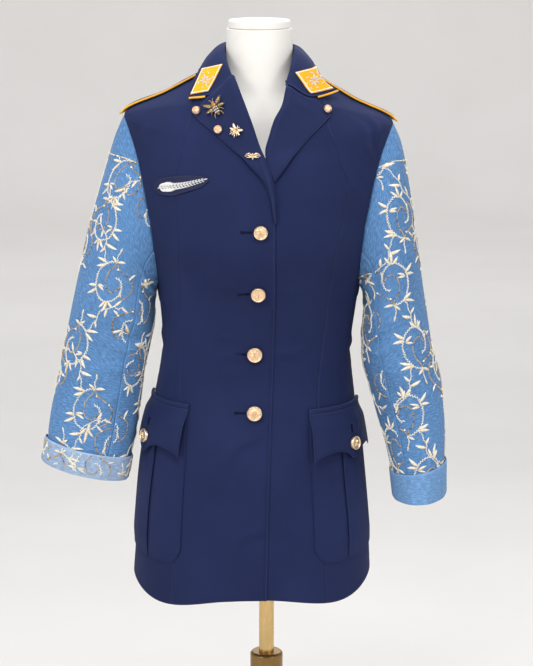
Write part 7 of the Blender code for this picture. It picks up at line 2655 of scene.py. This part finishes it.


# ---------------------------------------------------------------- stitching, with painted shade along the seams and in the buttonhole slits
def running_stitch(soup, points, normal, colour=NAVY_THREAD, length=0.0026, gap=0.0007, width=0.0010, rise=0.0004):
    """Straight stitches along a line of surface points."""
    steps = np.linalg.norm(np.diff(points, axis=0), axis=1)
    along = np.concatenate([[0], np.cumsum(steps)])
    count = int(along[-1] / (length + gap))
    if count < 1:
        return
    begin = (np.arange(count) + 0.1) * along[-1] / count
    finish = begin + along[-1] / count * length / (length + gap)

    def at(places, table):
        return np.stack([np.interp(places, along, table[:, n]) for n in range(3)], axis=-1)

    first = at(begin, points)
    second = at(finish, points)
    up = unit(at((begin + finish) / 2, normal))
    add_stitches(soup, first, second, up, width, rise, colour, sink=0.00025)


def grid_line(outer, inset, edge, span=(0.0, 1.0)):
    """Points inset from one edge of a grid: edge is first, last, bottom or top."""
    grid = outer if edge in ("first", "last") else outer.transpose(1, 0, 2)
    if edge in ("last", "top"):
        grid = grid[:, ::-1]
    run = line_distance(grid, 0)
    count = len(grid)
    low = int(span[0] * (count - 1))
    high = int(span[1] * (count - 1)) + 1

    def line_at(distance):
        return np.array(
            [[np.interp(distance, run[row], grid[row, :, n]) for n in range(3)] for row in range(low, high)]
        )

    points = line_at(inset)
    beside = line_at(inset + 0.002)
    across = unit(beside - points)
    forward = unit(np.gradient(points, axis=0))
    normal = unit(np.cross(forward, across))
    away = points - np.array([-0.012, 0.0, 0.0])
    away[:, 2] = 0
    flip = np.sign(np.sum(normal * away, axis=1))
    flip = np.where(np.median(flip) < 0, -1.0, 1.0)
    return points, normal * flip


def sew(soup, outer, edge, inset, span=(0.0, 1.0)):
    """Topstitching beside one edge of a piece, in a thread darker than the cloth that also paints the shade of the
    stitch groove; at the smallest inset it lies on the seam itself as a painted shadow line.
    """
    points, normal = grid_line(outer, inset, edge, span)
    running_stitch(soup, points, normal, SEAM_THREAD_AND_SHADE)


def hole_stitches(soup, centre, along, normal, length, eyelet):
    """A worked buttonhole: a slit between two rows of close stitches, with an eyelet at its end; black stitches along
    the slit and a black mark in the eyelet paint the shade inside these openings.
    """
    aside = np.cross(normal, along)
    share = np.linspace(-0.5, 0.5, max(8, int(length / 0.0007)))
    for sign in (-1, 1):
        root = centre + along * (share * length)[:, None] + aside * sign * 0.0003
        tip = root + aside * sign * 0.0016
        rise = normal * 0.0001
        add_stitches(soup, root + rise, tip + rise, np.broadcast_to(normal, root.shape), 0.0008, 0.0006, HOLE_THREAD)
    # black stitches along the slit: painted shade inside the cut
    slit = centre + along * (share * length)[:, None]
    add_stitches(
        soup, slit[:-2], slit[2:], np.broadcast_to(normal, slit[2:].shape), 0.0010, 0.00025, SLIT_SHADE_BLACK
    )
    turn = np.linspace(0, 2 * np.pi, 18, endpoint=False)[:, None]
    middle = centre - along * (length / 2 + eyelet * 0.6)
    ring = along * np.cos(turn) + aside * np.sin(turn)
    root = middle + ring * eyelet * 0.45
    tip = middle + ring * (eyelet + 0.0008)
    add_stitches(soup, root, tip, np.broadcast_to(normal, root.shape), 0.0010, 0.0006, HOLE_THREAD)
    # a black mark in the eyelet: painted shade inside the hole
    eyelet_shade = middle + along * np.array([[-0.4], [0.4]]) * eyelet
    add_stitches(soup, eyelet_shade[:1], eyelet_shade[1:], normal[None], 0.0014, 0.0002, SLIT_SHADE_BLACK)


HOLE_ASIDE = 0.0193  # from a front button's centre to the middle of its buttonhole
FLAP_HOLE_UP = 0.0195  # and from a flap's button up to its buttonhole


def build_buttonholes(soup):
    """Thread round the buttonholes of the front and the flaps, with painted shade in their slits and eyelets."""
    for x, z, _ in BUTTON_PLACES.values():
        place, axes = seat_on_front(np.array(x - HOLE_ASIDE), np.array(z), np.array(0.0))
        angle, level = on_front(np.array(x - HOLE_ASIDE), np.array(z))
        out = float(lap_rise(angle, level)) + WALL
        place = place + axes[2] * out
        hole_stitches(soup, place, axes[0], axes[2], 0.0125, 0.0022)
    for pocket in (POCKET_RIGHT, POCKET_LEFT):
        down = (FLAP_BUTTON_DROP - FLAP_HOLE_UP) / FLAP_LENGTHS[0.0]
        angle, level = flap_place(pocket, np.array(0.0), np.array(down))
        lift = flap_lift(np.array(down)) + WALL + 0.0004
        place, axes = seat_on_body(angle, level, lift)
        hole_stitches(soup, place, -axes[1], axes[2], 0.0105, 0.0016)


# ---------------------------------------------------------------- patches' embroidery
PATCH_SIDES = {
    -1: ((0.0304, -0.0067), (-0.0198, 0.0419)),
    1: ((-0.0320, 0.0072), (0.0245, 0.0324)),
}


def patch_surface_at(side):
    """Points of the collar patch for flat x, y in metres from its middle, as seen from the front."""
    sides = np.array(PATCH_SIDES[side])
    back = np.linalg.inv(np.stack([sides[0] * (1, 1), sides[1]], axis=1))

    def place(x, y):
        flat = np.stack([np.asarray(x, float), -np.asarray(y, float)])
        over, down = back @ flat + 0.5
        points, normal = patch_surface(side, np.clip(over, 0, 1), np.clip(down, 0, 1), PATCH_WALL)
        inside = (over > 0.02) & (over < 0.98) & (down > 0.02) & (down < 0.98)
        return points, normal, inside

    return place


def border_stitches(soup, side):
    """A close white border inside the patch's edge."""
    sides = np.abs(np.array([np.linalg.norm(row) for row in PATCH_SIDES[side]]))
    starts, ends = [], []
    for fixed in (0, 1):
        for near in (0, 1):
            count = int(sides[1 - fixed] / 0.00085)
            run = np.linspace(0.02, 0.98, count)
            first = np.full(count, 0.0006 / sides[fixed])
            last = np.full(count, 0.0034 / sides[fixed])
            if near:
                first, last = 1 - first, 1 - last
            pairs = [(first, run), (last, run + 0.0006 / sides[1 - fixed])]
            if fixed:
                pairs = [(b, a) for a, b in pairs]
            starts.append(patch_surface(side, *pairs[0], PATCH_WALL))
            ends.append(patch_surface(side, *np.clip(pairs[1], 0, 1), PATCH_WALL))
    start = np.concatenate([points for points, _ in starts])
    normal = np.concatenate([normals for _, normals in starts])
    end = np.concatenate([points for points, _ in ends])
    add_stitches(soup, start, end, normal, 0.0011, 0.0007, PATCH_WHITE)


def build_patch_embroidery():
    """Needlework on the yellow and the dark patches."""
    random = np.random.default_rng(5)
    thread = Soup()
    for side in (-1, 1):
        border_stitches(thread, side)
        work = Needlework(patch_surface_at(side))
        rows = []
        for n in range(8):
            turn = n * 45.0 + 12.0
            c, s = math.cos(math.radians(turn)), math.sin(math.radians(turn))
            long = 0.0062 if n % 2 else 0.0078
            rows.append((0.0016 * c, 0.0016 * s, turn, long, 0.0027, 0.0))
            rows.append((0.0105 * c, 0.0105 * s, turn + 62.0, 0.0050, 0.0019, 0.0004))
        work.leaves(rows)
        work.finish(thread, thread, tip=SILVER_THREAD, root=SILVER_THREAD, height=0.0009)
    thread.build("embroidery_collar_patches", THREAD, "yellow_trim", sharp=0)
    thread = Soup()
    work = Needlework(breast_flat)
    knots = np.array([0, 0.5, 1])
    bends = np.array([(-0.0330, -0.0050), (0.0, 0.0010), (0.0330, 0.0105)])
    stem = curve_through(knots, bends, np.linspace(0, 1, 30))
    work.vine(stem, random, step=0.0012, length=0.0024, width=0.0016, tint=PATCH_WHITE)
    rows = []
    for n, share in enumerate(np.linspace(0.02, 0.93, 15)):
        x, y = curve_through(knots, bends, np.array([share]))[0]
        long = 0.0132 * (1 - 0.62 * share) * (0.75 + 0.25 * math.sin(math.pi * min(1.0, share * 4)))
        rows.append((x, y, 12 + 34, long, long * 0.34, 0.0008))
        rows.append((x + 0.0012, y, 12 - 36, long * 0.92, long * 0.32, -0.0008))
    rows.append((0.0320, 0.0103, 16, 0.0060, 0.0018, 0.0))
    work.leaves(rows)
    work.finish(thread, thread, tip=PATCH_WHITE, root=(0.70, 0.70, 0.72), height=0.0012)
    edge = []
    for up in (-1.0, 1.0):
        across = np.linspace(-0.99, 0.99, 84)
        edge.append((across, np.full(84, up), across + 0.004, np.full(84, up * 0.86)))
    for a, b, c, d in edge:
        start = breast_surface(a, b)
        end = breast_surface(c, d)
        add_stitches(thread, start, end, breast_normal(a, b), 0.0009, 0.0008, SEAM_THREAD_AND_SHADE)
    thread.build("embroidery_breast_patch", THREAD, "navy_cloth", sharp=0)


def breast_surface(across, up):
    """Points on top of the breast patch."""
    angle, level = breast_place(across, up)
    return body(angle, level, LAYER + 0.0015)


def breast_normal(across, up):
    """Outward normals of the breast patch."""
    return body_normal(*breast_place(across, up))


def breast_flat(x, y):
    """Points of the breast patch for flat x, y in metres from its middle."""
    x, y = np.asarray(x, float), np.asarray(y, float)
    angle, level = on_front(BREAST_PATCH["centre x"] + x, BREAST_PATCH["centre z"] + y)
    return body(angle, level, LAYER + 0.0014), body_normal(angle, level), np.full(x.shape, True)


# ---------------------------------------------------------------- dress form and stand
def revolved(name, profile, steps, place, look, node, on, slot, bore=False):
    """A turned piece on a vertical axis: (radius, height) rows from the bottom up."""
    turn = np.linspace(0, 2 * np.pi, steps, endpoint=False)
    profile = np.asarray(profile, float)
    rows = [np.stack([r * np.cos(turn), r * np.sin(turn), np.full(steps, z)], axis=-1) for r, z in profile]
    count = len(rows)
    points = np.array(rows).reshape(-1, 3)
    faces = grid_faces(count, steps, closed=True)
    if bore:
        j = np.arange(steps)
        k = (j + 1) % steps
        low = (count - 1) * steps
        groups = [np.concatenate([faces, np.stack([j + low, k + low, k, j], axis=-1)])]
    else:
        points = np.concatenate([points, [[0, 0, profile[0, 1]], [0, 0, profile[-1, 1]]]])
        groups = [faces, end_fans(count, steps)]
    piece = mesh_object(name, points + np.asarray(place, float), groups, look, sharp=32)
    return dressed(piece, slot, node, on=on)


def rounded_profile(rows, radius=0.0012, steps=4):
    """The same profile with its inner corners rounded."""
    rows = np.asarray(rows, float)
    made = [rows[0]]
    for before, corner, after in zip(rows[:-2], rows[1:-1], rows[2:]):
        first = corner - before
        second = after - corner
        reach = min(radius, np.linalg.norm(first) * 0.45, np.linalg.norm(second) * 0.45)
        start = corner - first / np.linalg.norm(first) * reach
        end = corner + second / np.linalg.norm(second) * reach
        for share in np.linspace(0, 1, steps):
            made.append(start * (1 - share) ** 2 + corner * 2 * share * (1 - share) + end * share**2)
    made.append(rows[-1])
    return np.array(made)


def build_form():
    """The dress form's torso and neck cap."""
    steps = 112
    levels = np.concatenate(
        [[0.862, 0.8628, 0.8640, 0.8655, 0.868, 0.872, 0.877], np.linspace(0.885, 1.545, 130), [1.5459, 1.5465]]
    )
    angles = np.linspace(0, 360, steps, endpoint=False)
    signed = (angles + 180) % 360 - 180
    grid_angle, grid_level = np.meshgrid(signed, levels)
    grid = ring_point(FORM_RINGS, grid_angle, grid_level)
    centre = grid[-1].mean(axis=0)
    grid[-1] = centre + (grid[-1] - centre) * 0.985
    points = np.concatenate([grid.reshape(-1, 3), grid[:1].mean(axis=1), centre[None]])
    faces = [grid_faces(len(grid), steps, closed=True), end_fans(len(grid), steps)]
    piece = mesh_object("dress_form", points, faces, FORM_WHITE, sharp=35)
    dressed(piece, "form_white", "form_torso")
    top = FORM_RINGS["neck top"]
    base = top[0] + GAP
    profile = [
        (0.001, base),
        (CAP_RADIUS - 0.001, base),
        (CAP_RADIUS, base + 0.001),
        (CAP_RADIUS, CAP_TOP - 0.002),
        (CAP_RADIUS - 0.002, CAP_TOP),
        (0.001, CAP_TOP),
    ]
    profile = rounded_profile(profile, 0.0012, 5)
    revolved("dress_form_cap", profile, 112, (top[4], top[5], 0), FORM_WHITE, "form_neck_cap", "form", "form_white")


def build_stand():
    """Pole, tube and base of the stand."""
    pole = [
        (0.001, POLE_BOTTOM),
        (POLE_RADIUS - 0.001, POLE_BOTTOM),
        (POLE_RADIUS, POLE_BOTTOM + 0.001),
        (POLE_RADIUS, POLE_TOP),
        (0.001, POLE_TOP),
    ]
    revolved("brass_pole", pole, 72, (0, 0, 0), BRASS, "stand_pole", "form", "stand_brass")
    bottom = BASE_BOSS_HEIGHT + GAP
    wide = TUBE_RADIUS + TUBE_COLLAR_EXTRA
    collar = TUBE_TOP - TUBE_COLLAR_HEIGHT
    outline = [
        (TUBE_BORE, bottom),
        (TUBE_RADIUS, bottom),
        (TUBE_RADIUS, collar - 0.002),
        (wide, collar),
        (wide, TUBE_TOP - 0.003),
        (wide - 0.003, TUBE_TOP),
        (TUBE_BORE, TUBE_TOP),
    ]
    outline = rounded_profile(outline, 0.0010, 4)
    revolved("brass_tube", outline, 80, (0, 0, 0), TUBE_BRASS, "stand_tube", "stand", "stand_brass", bore=True)
    base = [
        (0.001, 0),
        (BASE_RADIUS - 0.002, 0),
        (BASE_RADIUS, 0.002),
        (BASE_RADIUS, BASE_HEIGHT * 0.6),
        (BASE_RADIUS - 0.004, BASE_HEIGHT * 0.85),
        (BASE_BOSS_RADIUS + 0.012, BASE_HEIGHT + 0.003),
        (BASE_BOSS_RADIUS, BASE_BOSS_HEIGHT * 0.8),
        (BASE_BOSS_RADIUS - 0.006, BASE_BOSS_HEIGHT),
        (0.001, BASE_BOSS_HEIGHT),
    ]
    base = rounded_profile(base, 0.0030, 6)
    revolved("brass_base", base, 128, (0, 0, 0), BRASS, "stand_base", "stand", "stand_brass")


# ---------------------------------------------------------------- room, lights and camera
SWEEP_RADIUS = 9.3
SWEEP_BEND = 1.5  # radius of the bend between the floor and the round wall
SWEEP_HEIGHT = 9.0
SWEEP_STEPS = 96


def build_stage():
    """A bowl-shaped studio sweep all round, so that every view is against it."""
    look = Nodes("studio_floor")
    cloud = look.noise(1.5, 3.0)
    look.colour(look.mix(look.ramp(cloud, 0.3, 0.7), (0.76, 0.745, 0.725), (0.80, 0.785, 0.765)))
    look.set(Roughness=0.9)
    bend = np.linspace(0, math.pi / 2, 17)
    edge = SWEEP_RADIUS - SWEEP_BEND + SWEEP_BEND * np.sin(bend)
    radius = np.concatenate([[0.002, 2.0, 5.0], edge, [SWEEP_RADIUS]])
    rise = np.concatenate([[0.0, 0.0, 0.0], SWEEP_BEND - SWEEP_BEND * np.cos(bend), [SWEEP_HEIGHT]])
    turn = np.linspace(0, 2 * math.pi, SWEEP_STEPS, endpoint=False)
    points = np.array([(r * math.cos(a), r * math.sin(a), z) for r, z in zip(radius, rise) for a in turn])
    mesh = bpy.data.meshes.new("studio_sweep")
    mesh.from_pydata(points.tolist(), [], grid_faces(len(radius), SWEEP_STEPS, closed=True).tolist())
    mesh.materials.append(look.look)
    mesh.shade_smooth()
    sweep = bpy.data.objects.new("studio_sweep", mesh)
    bpy.context.scene.collection.objects.link(sweep)


def add_light(name, place, aim, size, power, colour=(1.0, 1.0, 1.0)):
    """A rectangular lamp at one place aimed at another."""
    data = bpy.data.lights.new(name, "AREA")
    data.shape = "RECTANGLE"
    data.size, data.size_y = size
    data.energy = power
    data.color = colour
    lamp = bpy.data.objects.new(name, data)
    bpy.context.scene.collection.objects.link(lamp)
    forward = unit(np.array(aim, float) - np.array(place, float))
    right = unit(np.cross(forward, (0.0, 0.0, 1.0)))
    up = np.cross(right, forward)
    matrix = np.eye(4)
    matrix[:3, 0] = right
    matrix[:3, 1] = up
    matrix[:3, 2] = -forward
    matrix[:3, 3] = place
    lamp.matrix_world = Matrix(matrix.tolist())


# lamps on the garment: place, aim, size, power and colour
LAMPS = {
    "key_left": ((-2.1, -2.0, 2.4), (0.0, 0.0, 1.15), (1.2, 1.1), 30, (1.0, 0.985, 0.96)),
    "key_right": ((2.2, -2.0, 2.4), (0.0, 0.0, 1.15), (1.2, 1.1), 27, (0.98, 0.99, 1.0)),
    "front": ((-0.35, -1.9, 3.5), (0.0, 0.0, 1.15), (0.55, 0.55), 44),
    "top": ((0.0, 0.2, 3.6), (0.0, 0.0, 1.1), (2.4, 1.8), 30),
    "back": ((0.6, 2.4, 2.4), (0.0, 0.0, 1.2), (2.4, 1.4), 22),
}
# lamps that light the sweep: the way each one faces
SWEEP_LAMPS = {
    "sweep_front": (0, -1),
    "sweep_side_a": (1, 0),
    "sweep_back": (0, 1),
    "sweep_side_b": (-1, 0),
}
SWEEP_POWER = 118


def build_lights():
    """Lamps on the garment, lamps on the sweep and a dim sky."""
    for name, lamp in LAMPS.items():
        add_light(name, *lamp)
    for name, (x, y) in SWEEP_LAMPS.items():
        add_light(name, (4.6 * x, 4.6 * y, 4.6), (8.4 * x, 8.4 * y, 0.4), (7.0, 2.4), SWEEP_POWER)
    world = bpy.data.worlds.new("studio")
    world.use_nodes = True
    ground = world.node_tree.nodes["Background"]
    ground.inputs["Color"].default_value = (0.92, 0.94, 1.0, 1.0)
    ground.inputs["Strength"].default_value = 0.48
    bpy.context.scene.world = world


# the photo's camera: place, tilt below level in degrees and focal length in millimetres
CAMERA_PLACE = (0.0, -3.197, 1.778)
CAMERA_TILT = 12.1
CAMERA_LENS = 117.84


def build_camera():
    """The photo's camera."""
    data = bpy.data.cameras.new("photo_camera")
    data.lens = CAMERA_LENS
    data.sensor_width = 36.0
    data.clip_end = 60.0
    camera = bpy.data.objects.new("photo_camera", data)
    camera.location = CAMERA_PLACE
    camera.rotation_euler = (math.radians(90 - CAMERA_TILT), 0.0, 0.0)
    bpy.context.scene.collection.objects.link(camera)
    bpy.context.scene.camera = camera
    bpy.context.scene.view_settings.view_transform = "Standard"


def build_all():
    """Everything in the scene, in the order the seams need."""
    build_camera()
    sewing_and_shade = Soup()
    fronts = build_front_centres()
    share = 0.97 * len(LOWER_LEVELS) / len(fronts[-1])
    # stitches on the princess seams themselves, in the dark seam thread: a painted shadow line along each seam
    for side, edge in ((-1, "first"), (1, "last")):
        sew(sewing_and_shade, fronts[side], edge, 0.0005)
    sew(sewing_and_shade, fronts[-1], "last", 0.0030, (0.004, share))
    sew(sewing_and_shade, fronts[-1], "last", 0.0052, (0.004, share))
    build_front_sides()
    build_backs()
    for side, label, pocket in ((-1, "right", POCKET_RIGHT), (1, "left", POCKET_LEFT)):
        build_sleeve(side, label)
        build_cuff(side, label)
        lapel = build_lapel(side, label)
        sew(sewing_and_shade, lapel, "first" if side < 0 else "last", 0.0028)
        patch = build_pocket(pocket, label)
        sew(sewing_and_shade, patch, "first", 0.0024)
        sew(sewing_and_shade, patch, "bottom", 0.0024)
        sew(sewing_and_shade, patch, "last", 0.0024)
        flap = build_flap(pocket, label)
        sew(sewing_and_shade, flap, "first", 0.0026)
        sew(sewing_and_shade, flap, "bottom", 0.0026)
        sew(sewing_and_shade, flap, "last", 0.0026)
        build_epaulette(side, label)
    collar = build_collar()
    sew(sewing_and_shade, collar, "top", 0.0028)
    build_buttonholes(sewing_and_shade)
    sewing_and_shade.build("topstitching_and_painted_shade", SEWING, "navy_cloth", sharp=0)
    build_collar_trim()
    build_collar_patches()
    build_breast_patch()
    build_buttons()
    build_studs()
    build_bee("brooch_large", 1.0, 35.0, *BROOCHES["brooch_large"], ANTIQUE)
    build_bee("brooch_small", 0.58, -35.0, *BROOCHES["brooch_small"], GOLD)
    build_bar_pin(*BROOCHES["brooch_bar"])
    for side, label in ((-1, "right"), (1, "left")):
        build_sleeve_embroidery(side, label)
    build_cuff_embroidery()
    build_patch_embroidery()
    build_form()
    build_stand()
    build_stage()
    build_lights()


build_all()
